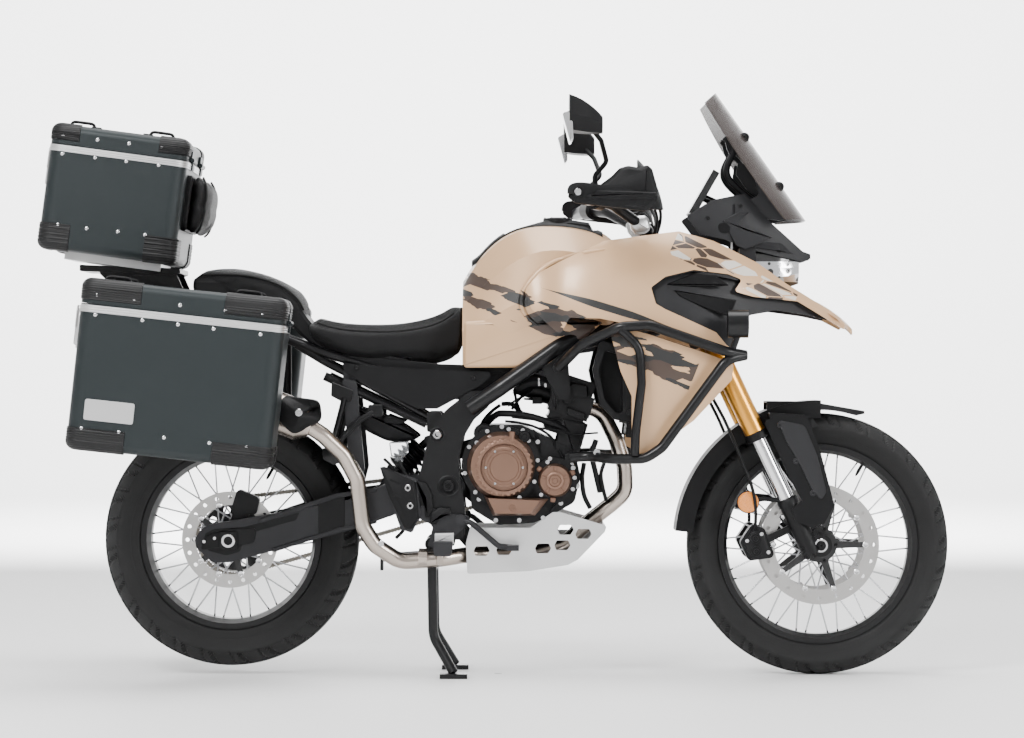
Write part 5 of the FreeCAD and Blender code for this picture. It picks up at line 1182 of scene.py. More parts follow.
@dataclass(frozen=True)
class EngineTrim:
    """Screws, rings and ribs of the engine's right side.

    Attributes:
        case_screws: Screws on the crankcase in the side view.
        clutch: Middle of the clutch cover.
        cap: Middle of the cap on it.
        pickup: Middle of the small round cover.
        cover_screws: Places round the covers, in degrees.
    """

    case_screws: Array = field(default_factory=lambda: mm(
        (10, 624), (62, 614), (99, 586), (-47, 444), (-5, 392), (53, 392), (112, 398), (196, 476),
        (156, 434), (-60, 506), (-52, 584), (186, 522)))
    clutch: tuple[float, float] = (0.008, 0.528)
    cap: tuple[float, float] = (0.016, 0.524)
    pickup: tuple[float, float] = (0.141, 0.491)
    cover_screws: tuple[float, ...] = (8, 42, 78, 112, 150, 192, 226, 262, 300, 334)

    def build(self) -> Pieces:
        """Makes the screws, the covers' rings and the ribs."""
        screws = Stock().heads(Probe("engine_case"), self.case_screws, 0.0065, 0.0075, 12)
        ring = circle(np.radians(np.array(self.cover_screws)))
        screws.screws(ring * 0.0915, flank(-0.150, *self.clutch), 0.006, 0.007, sides=12)
        screws.screws(ring[::3] * 0.049, flank(-0.150, *self.pickup), 0.0058, 0.007, sides=12)
        return [screws.piece("engine_screws", "chrome"), *self.clutch_rings(), self.pickup_face(),
                self.case_ribs()]

    def clutch_rings(self) -> Pieces:
        """A notched ring round the clutch cover's cap and the cap's stepped face."""
        stock = Stock()
        turn = np.linspace(0, TAU, 240, endpoint=False)
        notch = np.where(np.mod(turn * 30 / TAU, 1.0) < 0.5, 0.0, 0.0035)[None]
        radius, height, share = np.array([
            (0.0705, -0.002, 1.0), (0.0705, 0.004, 1.0), (0.0665, 0.0055, 1.0),
            (0.0585, 0.0055, 0.0), (0.0560, -0.002, 0.0)]).T[..., None]
        stock.sheet(ringed(radius - notch * share, height, turn, flank(-0.184, *self.cap)),
                    ring=True)
        face = flank(-0.196, *self.cap)
        stock.turn(mm((50, -3), (50, 0.6), (48.5, 2.2), (43, 2.4), (41.5, 0.8), (36, 0.8),
                      (34.5, 2.6), (20, 3.2), (1, 3.4)), face, 64)
        caps = Stock().screws(circle(SIXTHS) * 0.0455, face.moved(0, 0, 0.002), 0.0032, 0.003)
        return [stock.piece("clutch_cap", "bronze", smooth=30),
                caps.piece("clutch_cap_screws", "chrome")]

    def pickup_face(self) -> Object:
        """Rings and five ribs on the small round cover, and a plug below the clutch."""
        stock = Stock()
        stock.turn(mm((21, -1), (21, 2), (19, 3), (15, 3), (13.5, 0.8), (7, 0.8), (6, 3.2),
                      (1, 3.4)), flank(-0.177, *self.pickup), 40)
        for k in range(5):
            arm = flank(-0.172, *self.pickup).turned(math.radians(72 * k + 18))
            stock.plate(mm((22, -2), (35, -3.2), (35, 3.2), (22, 2)), arm, 0.004, 0.0008)
        for k in range(3):
            arm = flank(-0.150, *self.pickup).turned(math.radians(120 * k + 24))
            stock.plate(bend(mm((42, -7), (54, -6), (54, 6), (42, 7)), 0.003), arm, 0.010, 0.002)
        stock.turn(mm((9, -1), (9, 2), (7.5, 3), (5, 3), (5, 0), (0.5, 0)),
                   flank(-0.178, 0.036, 0.424), 6)
        return stock.piece("pickup_rings", "bronze", smooth=30)

    def case_ribs(self) -> Object:
        """Raised lines, a boss and the filler plug on the crankcase."""
        stock = Stock()
        for start, end, wide in ((( -44, 590), (10, 612), 5), ((30, 612), (92, 596), 5),
                                 ((150, 566), (182, 512), 6), ((178, 470), (128, 412), 6),
                                 ((-62, 548), (-58, 470), 6)):
            a, b = mm(*start), mm(*end)
            side = unit(np.array([-(b - a)[1], (b - a)[0]])) * wide * 0.001 / 2
            stock.plate(np.stack([a - side, b - side, b + side, a + side]), flank(-0.132), 0.009,
                        0.002)
        stock.turn(mm((24, -2), (24, 12), (21, 16), (14, 16), (12, 13), (1, 13)),
                   flank(-0.132, -0.036, 0.608), 32)
        stock.turn(mm((15, -14), (15, 10), (13, 14), (8, 14), (7, 10), (1, 10)),
                   flank(-0.150, 0.066, 0.600), 12)
        return stock.piece("case_ribs", "engine_black", smooth=30)


# Bodywork

@dataclass(frozen=True)
class Livery:
    """Sand paint with generic dark shards along two bands, drawn in the side view.

    Attributes:
        paint: The sand colour.
        brown: The shards' brown.
        black: The shards' black.
        start: Where the long band starts.
        slope: Its angle below level, in degrees.
        length: Its length.
        shard_scale: Shards per metre.
        stripe: Start and angle of the narrow black stripe.
        crest: Start and angle of the rounded cells near the screen.
        crest_scale: Cells per metre there.
    """

    paint: Colour = SAND
    brown: Colour = (0.040, 0.022, 0.014)
    black: Colour = (0.008, 0.008, 0.008)
    start: tuple[float, float] = (-0.095, 0.982)
    slope: float = 21.6
    length: float = 0.62
    shard_scale: float = 38.0
    stripe: tuple[float, float, float] = (0.100, 0.968, 17.2)
    crest: tuple[float, float, float] = (0.432, 1.076, 26.0)
    crest_scale: float = 34.0

    def build(self) -> Material:
        """Makes the painted material."""
        shade = Shade("sand_livery")
        along, across = self._band(shade, *self.start, self.slope)
        angular = shade.node("ShaderNodeTexVoronoi", {"feature": "F1", "distance": "CHEBYCHEV"}, {
            "Vector": self._sheared(shade, along, across), "Scale": self.shard_scale,
            "Randomness": 0.9}, "Color")
        pick, second, _ = shade.axes(angular)
        jag = shade.noise(26.0, 2.0) * 0.022
        body = (abs(across + 0.004) < jag + 0.026) * along.between(0.0, self.length)
        shard = body * (pick > 0.34)
        dark = body * (second > 0.60)
        stripe = self._stripe(shade)
        crest, crest_pick = self._crest(shade)
        drift = shade.noise(5.0, 3.0)
        fine = shade.fine()
        low = tuple(part * 0.95 for part in self.paint)
        base = shade.mix(drift, low, self.paint)
        base = shade.mix(shard, base, self.brown)
        base = shade.mix(dark * shard, base, self.black)
        base = shade.mix(stripe, base, self.black)
        base = shade.mix(crest, base, shade.mix(crest_pick, self.brown, (0.62, 0.58, 0.52)))
        shade.set(Base_Color=base, Roughness=0.30 + fine * 0.08 + shard * 0.12,
                  Metallic=(1 - shard) * (1 - crest) * 0.12, Coat_Weight=0.22,
                  Coat_Roughness=0.16, Normal=shade.bump(fine, 0.00003))
        return shade.material

    @staticmethod
    def _band(shade: Shade, start_x: float, start_z: float, slope: float) -> tuple[Wire, Wire]:
        """Distances along and across a line of the side view."""
        x, _, z = shade.axes(shade.place)
        c, s = math.cos(math.radians(slope)), math.sin(math.radians(slope))
        ahead, above = x - start_x, z - start_z
        return ahead * c - above * s, ahead * s + above * c

    @staticmethod
    def _sheared(shade: Shade, along: Wire, across: Wire) -> Wire:
        """Coordinates that lean the cells and stretch them along the band."""
        return shade.node("ShaderNodeCombineXYZ", {}, {0: along * 0.62 - across * 0.7,
                                                       1: across * 1.5})

    def _stripe(self, shade: Shade) -> Wire:
        """A black stripe that narrows to both ends, under the crest of the side."""
        along, across = self._band(shade, *self.stripe)
        half = along.ramp(0.0, 0.16) * (1 - along.ramp(0.22, 0.36)) * 0.009
        return abs(across) < half

    def _crest(self, shade: Shade) -> tuple[Wire, Wire]:
        """Rounded cells along the upper edge near the screen, and which of them are pale."""
        along, across = self._band(shade, *self.crest)
        leaning = self._sheared(shade, along, across)
        cell = shade.node("ShaderNodeTexVoronoi", {"feature": "F1"}, {
            "Vector": leaning, "Scale": self.crest_scale, "Randomness": 0.9}, "Color")
        pick, second, _ = shade.axes(cell)
        edge = shade.cells(self.crest_scale, "DISTANCE_TO_EDGE", leaning)
        inside = along.between(0.0, 0.335) * (abs(across) < 0.030 - along * 0.02)
        return inside * (edge > 0.045) * (pick > 0.22), second > 0.62


@dataclass(frozen=True)
class Bodywork:
    """Painted panels' creases, the tank's spine, the panels' screws and the cowl's details.

    Attributes:
        lip: The raised crease of the tank panel in the side view.
        skirt: Outline of the panel between tank and spar.
        spine_x: Where the black strip ends behind and in front.
    """

    lip: Array = field(default_factory=lambda: mm(
        (262, 1060), (200, 1050), (136, 1028), (96, 1000), (64, 956), (60, 917), (84, 884),
        (130, 858)))
    skirt: Array = field(default_factory=lambda: mm(
        (-84, 883), (55, 893), (191, 893), (260, 883), (228, 853), (178, 821), (124, 779),
        (107, 770), (-84, 770)))
    spine_x: tuple[float, float] = (-0.066, 0.262)

    def build(self) -> Pieces:
        """Paints the panels and makes their creases, skirts, spine, filler cap and screws."""
        livery = Livery().build()
        for name in ("fuel_tank", "fairing_upper", "fairing_lower"):
            dress(name, livery)
        return [self.creases(livery), self.skirts(livery), self.tank_spine(), self.filler(),
                self.panel_screws()]

    def skirts(self, livery: Material) -> Object:
        """Painted panels that carry each side of the tank down to the spar."""
        stock = Stock().plate(bend(self.skirt, 0.008), flank(-0.146), 0.012, 0.004, 0.002)
        return stock.mirror().piece("tank_skirts", "sand", look=livery)

    def creases(self, livery: Material) -> Object:
        """Soft beads that follow the panel's edge over the tank, thinner toward both ends."""
        path = Probe("fuel_tank", "fairing_upper").drape(spline(self.lip, 8), lift=0.0005)
        path[:, 1] = steady(path[:, 1])
        size = 0.0075 * np.sin(np.linspace(0.15, math.pi - 0.15, len(path))) + 0.001
        return Stock().pipe(path, size, 12).mirror().piece("panel_lips", "sand", "root", 60, livery)

    def tank_spine(self) -> Object:
        """A black strip over the tank's crest: cross rows with rolled edges on the metal."""
        probe = Probe("fuel_tank", "tank_cover")
        across, lift = mm((-50, -4), (-48, 1), (-44, 5), (-20, 7), (0, 7.5), (20, 7), (44, 5),
                          (48, 1), (50, -4)).T
        along = np.linspace(*self.spine_x, 30)
        hits = [[probe.hit(np.array([x, y, 1.5]), -Z) for y in across] for x in along]
        top = np.array([[np.nan if hit is None else hit.z for hit in row] for row in hits])
        top[:, 3:6] = np.nanmin(top[:, 3:6], axis=1, keepdims=True)
        known = np.where(np.isnan(top), np.nanmean(top), top)
        smooth = np.stack([steady(line) for line in known.T], 1)
        x, y = np.meshgrid(along, across, indexing="ij")
        grid = np.stack([x, y, np.maximum(smooth, known) + lift], -1)
        return Stock().sheet(grid).piece("tank_spine", "plastic_black", smooth=50)

    def filler(self) -> Object:
        """The filler's round cap with its lock flap and six screws."""
        cap = Seat(np.array([0.150, 0.0, 1.138]), X, Y, Z)
        lid = Stock().turn(mm((37, -6), (37, 5), (35, 7.5), (30, 8), (28, 6.5), (1, 6.5)), cap, 48)
        lid.plate(bend(mm((-16, -7), (22, -7), (22, 7), (-16, 7)), 0.005), cap.moved(0, 0, 0.006),
                  0.004)
        lid.screws(circle(SIXTHS) * 0.0325, cap.moved(0, 0, 0.0072), 0.0026, 0.0022)
        return lid.piece("filler_cap", "engine_black")

    def panel_screws(self) -> Object:
        """Screws on the cowl, covers, screen, frame and head."""
        stock = Stock()
        for node, places, size in (
                ("cowl", mm((520, 1140), (602, 1170), (700, 1060)), 0.005),
                ("side_covers", mm((-350, 770), (-60, 744)), 0.006),
                ("windscreen", mm((614, 1345), (700, 1220)), 0.007),
                ("frame_main", mm((-148, 606), (-123, 480)), 0.011),
                ("cylinder_head", mm((211, 714)), 0.008)):
            stock.heads(Probe(node), places, size, size * 0.6, 14)
        return stock.mirror().piece("panel_screws", "engine_black")


# Fork and handlebar

FORWARD = np.array([0.9052, 0.0, 0.4250])
UPWARD = np.array([-0.4250, 0.0, 0.9052])
STEER_FOOT = np.array([0.7542, 0.0, 0.3055])


def fork_seat(x: float, y: float, z: float) -> Seat:
    """A side-view place in the fork's own axes."""
    return Seat(STEER_FOOT + x * FORWARD + z * UPWARD + y * Y, FORWARD, UPWARD, -Y)


@dataclass(frozen=True)
class ForkTrim:
    """Seals, caps, axle nut, caliper parts, reflectors, brake hoses and the mudguard's blades.

    Attributes:
        offset: How far the legs lie before the steering axis.
        half: Distance of a leg from the middle plane.
    """

    offset: float = 0.025
    half: float = 0.105

    def build(self) -> Pieces:
        """Makes the fork's small pieces."""
        return [*self.seals(), *self.axle_nut(), *self.calipers(), *self.reflectors(), self.hoses(),
                self.fender_details()]

    def leg(self, height: float) -> Seat:
        """A place on a fork leg's axis, looking up the leg."""
        seat = fork_seat(self.offset, -self.half, height)
        return Seat(seat.origin, seat.u, seat.w, seat.v)

    def seals(self) -> Pieces:
        """Black wiper rings at the gold tubes' feet, collars below and caps on the tubes' tops."""
        rings, caps = Stock(), Stock()
        rings.turn(mm((21, -8), (26, -8), (28.6, -5), (28.6, 10), (27.2, 13), (21, 13)),
                   self.leg(0.311), 40)
        rings.turn(mm((21, -2), (27, -2), (27, 10), (24, 16), (21.2, 17), (21, 17)),
                   self.leg(0.126), 40)
        caps.turn(mm((26, -2), (26, 4), (24, 6), (13, 6), (12, 10), (6, 10), (5, 7), (1, 7)),
                  self.leg(0.820), 36)
        return [rings.mirror().piece("fork_seals", "engine_black", "steering"),
                caps.mirror().piece("fork_caps", "chrome", "steering")]

    def axle_nut(self) -> Pieces:
        """The wheel axle's silver ring with a hexagon inside, and the pinch screws."""
        stock, dark = Stock(), Stock()
        seat = flank(-0.1175, *FRONT_AXLE)
        stock.turn(mm((17.5, -2), (17.5, 2.5), (16, 4.2), (12.5, 4.2), (11.5, 1), (1, 1)), seat, 48)
        dark.turn(mm((9, -2), (9, 5), (8, 6.2), (4, 6.2), (3.4, 3), (1, 3)), seat, 6)
        dark.screws(mm((0, 0), (-3, 22)), fork_seat(0.010, -0.120, -0.012), 0.006, 0.006)
        return [stock.mirror().piece("axle_rings", "chrome", "steering"),
                dark.mirror().piece("axle_screws", "engine_black", "steering")]

    def calipers(self) -> Pieces:
        """Raised bridge, piston caps and silver screws on each caliper's outer face."""
        dark, bright = Stock(), Stock()
        face = fork_seat(0.0, -0.099, 0.0)
        dark.plate(bend(mm((-118, 38), (-66, 24), (-60, 88), (-80, 108), (-118, 84)), 0.010), face,
                   0.006, 0.0015, 0.002)
        for x, z in ((-0.098, 0.054), (-0.086, 0.084)):
            dark.turn(mm((13, 3), (13, 10), (11, 12), (7, 12), (6, 9.5), (1, 9.5)),
                      face.moved(x, z, 0), 28)
        bright.screws(mm((-72, 40), (-68, 88), (-108, 88)), face.moved(0, 0, 0.007), 0.0055, 0.006)
        return [dark.mirror().piece("caliper_faces", "engine_black", "steering"),
                bright.mirror().piece("caliper_screws", "chrome", "steering")]

    def reflectors(self) -> Pieces:
        """Round amber reflectors on stalks behind the fork's feet."""
        shade = Shade("amber")
        facet = shade.cells(420.0, "F1")
        shade.set(Base_Color=shade.mix(facet, (0.85, 0.30, 0.02), (0.60, 0.16, 0.01)),
                  Roughness=0.12 + facet * 0.1, Coat_Weight=0.8, Normal=shade.bump(facet, 0.0012))
        seat = flank(-0.118, 0.621, 0.436)
        glass = Stock().turn(mm((26, 0), (26, 4), (24, 6), (12, 7), (1, 7.4)), seat, 40)
        holder = Stock().turn(mm((28, -6), (28, 2), (26.5, 2.6), (1, 2.6)), seat, 40)
        arm = np.array([(0.621, -0.112, 0.436), (0.660, -0.112, 0.444), (0.700, -0.108, 0.440)])
        holder.pipe(arm, 0.006, 10)
        return [glass.mirror().piece("reflectors", "lens", "steering", look=shade.material),
                holder.mirror().piece("reflector_holders", "plastic_black", "steering")]

    def hoses(self) -> Object:
        """Brake hoses from the lower clamp down behind each leg to the caliper."""
        local = mm((-20, 60, 560), (-34, 100, 470), (-32, 128, 380), (-36, 132, 280),
                   (-44, 130, 190), (-70, 112, 120), (-92, 96, 96))
        path = (STEER_FOOT + local[:, :1] * FORWARD + local[:, 2:] * UPWARD - local[:, 1:2] * Y)
        stock = Stock().pipe(spline(path, 8), 0.0042, 8)
        return stock.mirror().piece("fork_hoses", "plastic_black", "steering")

    def fender_details(self) -> Object:
        """Screws and a raised blade on the mudguard's side guards."""
        probe = Probe("front_fender")
        stock = Stock().heads(probe, mm((739, 538), (781, 459), (700, 628)), 0.008, 0.004, 16)
        seat = probe.flank(0.745, 0.560)
        blade = bend(mm((694, 640), (760, 628), (790, 556), (815, 462), (800, 440), (776, 470),
                        (748, 530), (712, 590)), 0.010)
        if seat:
            stock.plate(blade, flank(seat.origin[1]), 0.0035, 0.0014)
        return stock.mirror().piece("fender_blades", "plastic_grey", "steering")


# Rider's place and rear

SQUARE_SIDE, SQUARE_TOP = 0.42, 0.62


@dataclass(frozen=True)
class Pad:
    """A stuffed seat pad shaped by cloth under pressure.

    Attributes:
        name: The piece's name.
        node: The node that it stands for.
        rows: Cross sections from front to back: place along, half width, foot, crown.
        origin: Where the pad's own axes start.
        along: Direction in which the sections follow each other.
        rise: Direction from foot to crown.
        fill: How full it is; not used.
        stretch: Farthest that a point may move.
        cell: Distance between the points of the cloth.
        sink: How far the cloth starts inside the pad's shape.
        pressure: The air's pressure on the cloth.
        stiffness: The cloth's resistance to stretch and to compression.
        steps: Frames in which it swells.
    """

    name: str
    node: str
    rows: Array
    origin: Array = field(default_factory=lambda: np.zeros(3))
    along: Array = field(default_factory=lambda: X)
    rise: Array = field(default_factory=lambda: Z)
    fill: float = 0.9
    stretch: float = 0.010
    cell: float = 0.006
    sink: float = 0.003
    pressure: float = 4.0
    stiffness: float = 40.0
    steps: int = 20

    def shell(self) -> Array:
        """Closed rings across the seat: a flat foot, rolled shoulders and a crowned top."""
        line = spline(self.rows, 9)
        turn = np.linspace(0.0, TAU, 72, endpoint=False)[None]
        x, half, foot, crown = (line[:, i:i + 1] for i in range(4))
        wide = np.sign(np.cos(turn)) * np.abs(np.cos(turn)) ** SQUARE_SIDE
        tall = np.sign(np.sin(turn)) * np.abs(np.sin(turn)) ** SQUARE_TOP
        middle, reach = (crown + foot) / 2, (crown - foot) / 2
        return self.placed(np.stack([x + 0 * turn, half * wide, middle + reach * tall], -1))

    def placed(self, local: Array) -> Array:
        """Points given along, across and up in the frame."""
        across = np.cross(self.rise, self.along)
        return (self.origin + local[..., :1] * self.along + local[..., 1:2] * across
                + local[..., 2:] * self.rise)

    def build(self) -> Object:
        """Makes the pad and lets it swell."""
        piece = Stock().sheet(self.shell(), ring=True, ends=True).piece(
            self.name, "seat_black", smooth=60)
        self._swell(piece)
        if self.node:
            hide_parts(self.node)
        return piece

    def _swell(self, piece: Object) -> None:
        """Remeshes the pad, blows it up as cloth and keeps each point within its stretch."""
        remesh = piece.modifiers.new("even", "REMESH")
        remesh.mode = "VOXEL"
        remesh.voxel_size = self.cell
        self._apply(piece)
        rest = self._read(piece, "co")
        sunk = rest - self._read(piece, "normal") * self.sink
        piece.data.vertices.foreach_set("co", sunk.ravel())
        cloth = piece.modifiers.new("cloth", "CLOTH")
        cloth.settings.use_pressure = True
        cloth.settings.uniform_pressure_force = self.pressure
        cloth.settings.effector_weights.gravity = 0.0
        cloth.settings.tension_stiffness = cloth.settings.compression_stiffness = self.stiffness
        cloth.point_cache.frame_start = 1
        cloth.point_cache.frame_end = self.steps
        for step in range(self.steps):
            bpy.context.scene.frame_set(step + 1)
        self._apply(piece)
        bpy.context.scene.frame_set(1)
        shift = self._read(piece, "co") - rest
        size = np.linalg.norm(shift, axis=1, keepdims=True)
        shift *= np.minimum(1.0, self.stretch / np.maximum(size, 1e-9))
        piece.data.vertices.foreach_set("co", (rest + shift).ravel())
        smooth = piece.modifiers.new("soft", "SUBSURF")
        smooth.levels = smooth.render_levels = 1
        self._apply(piece)
        piece.data.shade_smooth()
        bpy.context.view_layer.update()

    @staticmethod
    def _read(piece: Object, name: str) -> Array:
        """The places or normals of the piece's points."""
        values = np.empty(len(piece.data.vertices) * 3)
        piece.data.vertices.foreach_get(name, values)
        return values.reshape(-1, 3)

    @staticmethod
    def _apply(piece: Object) -> None:
        """Makes the modifiers' result the piece's own mesh."""
        graph = bpy.context.evaluated_depsgraph_get()
        made = bpy.data.meshes.new_from_object(piece.evaluated_get(graph))
        made.materials.clear()
        made.materials.append(piece.data.materials[0])
        piece.modifiers.clear()
        piece.data = made

    def seam(self, name: str, degrees: float) -> Object:
        """A welt along both sides of the pad, some degrees up its shoulder."""
        line = spline(self.rows, 9)[3:-3]
        turn = math.radians(degrees)
        y = line[:, 1] * math.cos(turn) ** SQUARE_SIDE + 0.0015
        z = (line[:, 3] + line[:, 2]) / 2 + (line[:, 3] - line[:, 2]) / 2 * (
            math.sin(turn) ** SQUARE_TOP)
        path = self.placed(np.stack([line[:, 0], -y, z + 0.0015], 1))
        return Stock().pipe(path, 0.0028, 8).mirror().piece(name, "seat_black", smooth=60)


RIDER = mm((-92, 74, 812, 934), (-150, 98, 790, 893), (-230, 130, 786, 872), (-320, 146, 792, 868),
           (-400, 152, 812, 874), (-470, 142, 850, 892))
PILLION = mm((-476, 108, 866, 902), (-500, 120, 872, 950), (-545, 130, 890, 986),
             (-610, 132, 912, 1006), (-690, 120, 944, 1008), (-764, 98, 968, 1000))
BACKREST = mm((80, 120, 183, 202), (100, 148, 183, 216), (138, 154, 183, 223), (154, 154, 183, 221),
              (176, 152, 183, 223), (210, 146, 183, 216), (232, 118, 183, 200))


@dataclass(frozen=True)
class SeatSet:
    """The rider's, pillion's and backrest's pads with their welts, and the seat's pan."""

    def build(self) -> Pieces:
        """Makes the pads and their seams."""
        rider = Pad("rider_pad", "rider_seat", RIDER)
        pillion = Pad("pillion_pad", "pillion_seat", PILLION)
        case = pitched(*Luggage.top_axes)
        back = Pad("backrest_pad", "", BACKREST, case.origin, case.v, case.u)
        return [rider.build(), pillion.build(), back.build(), self.pan(),
                rider.seam("rider_welt", 38), pillion.seam("pillion_welt", 38),
                back.seam("backrest_welt", 50)]

    def pan(self) -> Object:
        """The black pan under both pads, which closes the step between them."""
        outline = mm((-758, 990), (-650, 988), (-539, 960), (-499, 930), (-468, 885), (-433, 852),
                     (-368, 827), (-272, 807), (-209, 797), (-219, 782), (-259, 779), (-373, 787),
                     (-453, 819), (-499, 857), (-534, 905), (-650, 940), (-758, 958))
        return Stock().plate(bend(outline, 0.012), flank(0.112), 0.224, 0.008).piece(
            "seat_pan", "plastic_black")


@dataclass(frozen=True)
class RearTrim:
    """Swingarm lines, axle blocks, chain links, the muffler's shield and the tail lamp.

    Attributes:
        wheel_sprocket: Centre and radius of the chain's path at the wheel.
        engine_sprocket: Centre and radius of the chain's path at the engine.
        pitch: Distance between the chain's pins.
    """

    wheel_sprocket: tuple[float, float, float] = (-0.668, 0.341, 0.097)
    engine_sprocket: tuple[float, float, float] = (-0.048, 0.467, 0.045)
    pitch: float = 0.015875

    def build(self) -> Pieces:
        """Makes the small pieces of the rear end."""
        return [*self.arm(), self.links(), *self.exhaust(), *self.lamp()]

    def arm(self) -> Pieces:
        """Raised lines along the arm, the axle's ring and the adjuster's block."""
        face = flank(-0.127)
        lines, dark, ring = Stock(), Stock(), Stock()
        for line in (
                mm((-590, 383), (-400, 446), (-300, 462), (-300, 472), (-402, 458), (-592, 395)),
                mm((-560, 322), (-400, 372), (-300, 392), (-300, 384), (-398, 362), (-556, 312))):
            lines.plate(bend(line, 0.005), face, 0.004, 0.0016)
        dark.plate(bend(mm((-738, 318), (-604, 334), (-598, 372), (-660, 372), (-728, 352)), 0.012),
                   face, 0.005, 0.0015)
        dark.plate(bend(mm((-690, 320), (-646, 320), (-646, 364), (-690, 364)), 0.006), face, 0.010,
                   0.0015)
        ring.turn(mm((17, -3), (17, 3), (15.5, 4.5), (11, 4.5), (10, 1), (1, 1)),
                  flank(-0.1352, *REAR_AXLE), 40)
        ring.screws(mm((-34, 6), (-60, -2)), flank(-0.132, *REAR_AXLE), 0.0045, 0.004)
        return [lines.mirror().piece("arm_lines", "cast_grey"),
                dark.mirror().piece("axle_blocks", "engine_black"),
                ring.mirror().piece("rear_axle_rings", "chrome")]

    def links(self) -> Object:
        """Roller chain: pairs of waisted plates round both sprockets, one pitch apart.

        The pins' path is an arc about each sprocket; the arcs meet the two lines that touch both.
        """
        big, small = np.array(self.wheel_sprocket), np.array(self.engine_sprocket)
        gap = small[:2] - big[:2]
        slope = math.atan2(gap[1], gap[0])
        spread = math.acos((big[2] - small[2]) / np.linalg.norm(gap))
        front = np.linspace(slope + spread, slope - spread, 40)
        rear = np.linspace(slope - spread, slope + spread - TAU, 90)
        ring = np.concatenate([small[:2] + small[2] * circle(front),
                               big[:2] + big[2] * circle(rear)])
        ring = np.concatenate([ring, ring[:1]])
        way = np.concatenate([[0], np.cumsum(np.linalg.norm(np.diff(ring, axis=0), axis=1))])
        count = 2 * int(way[-1] / self.pitch / 2)
        at = np.linspace(0, way[-1], count, endpoint=False)
        pins = np.stack([np.interp(at, way, ring[:, i]) for i in (0, 1)], 1)
        stock = Stock()
        waist = mm((-8, -3), (-5, -6), (0, -4.4), (5, -6), (8, -3), (8, 3), (5, 6), (0, 4.4),
                   (-5, 6), (-8, 3))
        for k, (a, b) in enumerate(zip(pins, np.roll(pins, -1, 0))):
            turn = math.atan2(b[1] - a[1], b[0] - a[0])
            out = 0.0052 if k % 2 else 0.0034
            for side in (-1, 1):
                seat = flank(0.088 + side * out, *((a + b) / 2)).turned(turn)
                stock.plate(waist, seat if side < 0 else seat.flipped(), 0.0016, 0.0004)
            stock.turn(mm((2.4, -7), (2.4, 7)), flank(0.088, *a), 8)
            stock.turn(mm((4.2, -3.2), (4.2, 3.2)), flank(0.088, *a), 10)
        piece = stock.piece("chain_links", "chain_steel")
        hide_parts("chain")
        return piece

    def exhaust(self) -> Pieces:
        """The black shield draped on the muffler, ring in ring, and its screw."""
        probe = Probe("muffler")
        outline = bend(mm((-528, 702), (-436, 690), (-430, 640), (-500, 604), (-536, 640)), 0.016)
        middle = outline.mean(0)
        rings = [probe.drape(middle + (outline - middle) * share, lift=lift) for share, lift in (
            (1.0, -0.001), (1.0, 0.004), (0.93, 0.006), (0.6, 0.007), (0.2, 0.007), (0.01, 0.007))]
        bolt = probe.flank(-0.486, 0.660).moved(0, 0, 0.006)
        return [Stock().sheet(np.stack(rings), ring=True).piece("heat_shield", "plastic_black",
                                                                smooth=40),
                Stock().turn(CAP_SCREW * [0.009, 0.006], bolt, 14).piece("shield_screw", "chrome")]

    def lamp(self) -> Pieces:
        """The red tail lamp, amber indicators and the bare plate."""
        red = Shade("tail_red")
        facet = red.cells(300.0, "F1")
        red.set(Base_Color=red.mix(facet, (0.55, 0.01, 0.01), (0.25, 0.004, 0.004)),
                Roughness=0.1 + facet * 0.1, Coat_Weight=0.8, Normal=red.bump(facet, 0.001))
        back = Seat(np.array([-0.925, 0, 0.983]), -Y, Z, -X)
        glass = Stock().plate(bend(mm((-48, -12), (48, -12), (48, 12), (-48, 12)), 0.006), back,
                              0.006, 0.002)
        turn = Stock()
        for y in (-0.128, 0.128):
            turn.turn(mm((14, -1), (14, 4), (11, 8), (1, 9)), back.moved(-y, -0.133, 0.040), 24)
        spot = Seat(np.array([-0.9995, 0, 0.7275]), -Y, np.array([0.255, 0, 0.967]),
                    unit(np.array([-0.967, 0.0, 0.255])))
        plate = Stock().plate(bend(mm((-86, -74), (86, -74), (86, 74), (-86, 74)), 0.010),
                              spot.moved(0, 0, 0.006), 0.0022)
        return [glass.piece("tail_glass", "lens", look=red.material),
                turn.piece("rear_indicators", "lens", look=bpy.data.materials["amber"]),
                plate.piece("bare_plate", "silver")]


# Fittings

@dataclass(frozen=True)
class Tube:
    """A hose, cable or rod.

    Attributes:
        path: Points along it.
        radius: Its radius.
        soft: Whether it runs smoothly through its points.
    """

    path: Array
    radius: float
    soft: bool = True


@dataclass(frozen=True)
class Plate:
    """A flat or crowned plate seen from the side.

    Attributes:
        outline: Corners in the side view.
        depth: Its thickness.
        y: Its foot's distance from the middle plane where it lies on no node.
        corner: Rounding of its corners.
        bevel: The cut along its edge.
        crown: Height of its raised middle.
        lift: Distance from the node.
        on: Nodes that it lies on; the outermost point under a corner counts.
    """

    outline: Array
    depth: float
    y: float = 0.0
    corner: float = 0.003
    bevel: float = 0.0012
    crown: float = 0.0
    lift: float = -0.001
    on: tuple[str, ...] = ()


@dataclass(frozen=True)
class Heads:
    """Screw heads on a node.

    Attributes:
        places: Points in the side view.
        on: Nodes that they sit on.
        radius: Radius of a head.
        collar: Radius of the ring under it, none where it is zero.
        ring: The piece that the rings belong to, the heads' own where it is empty.
    """

    places: Array
    on: tuple[str, ...]
    radius: float
    collar: float = 0.0
    ring: str = ""


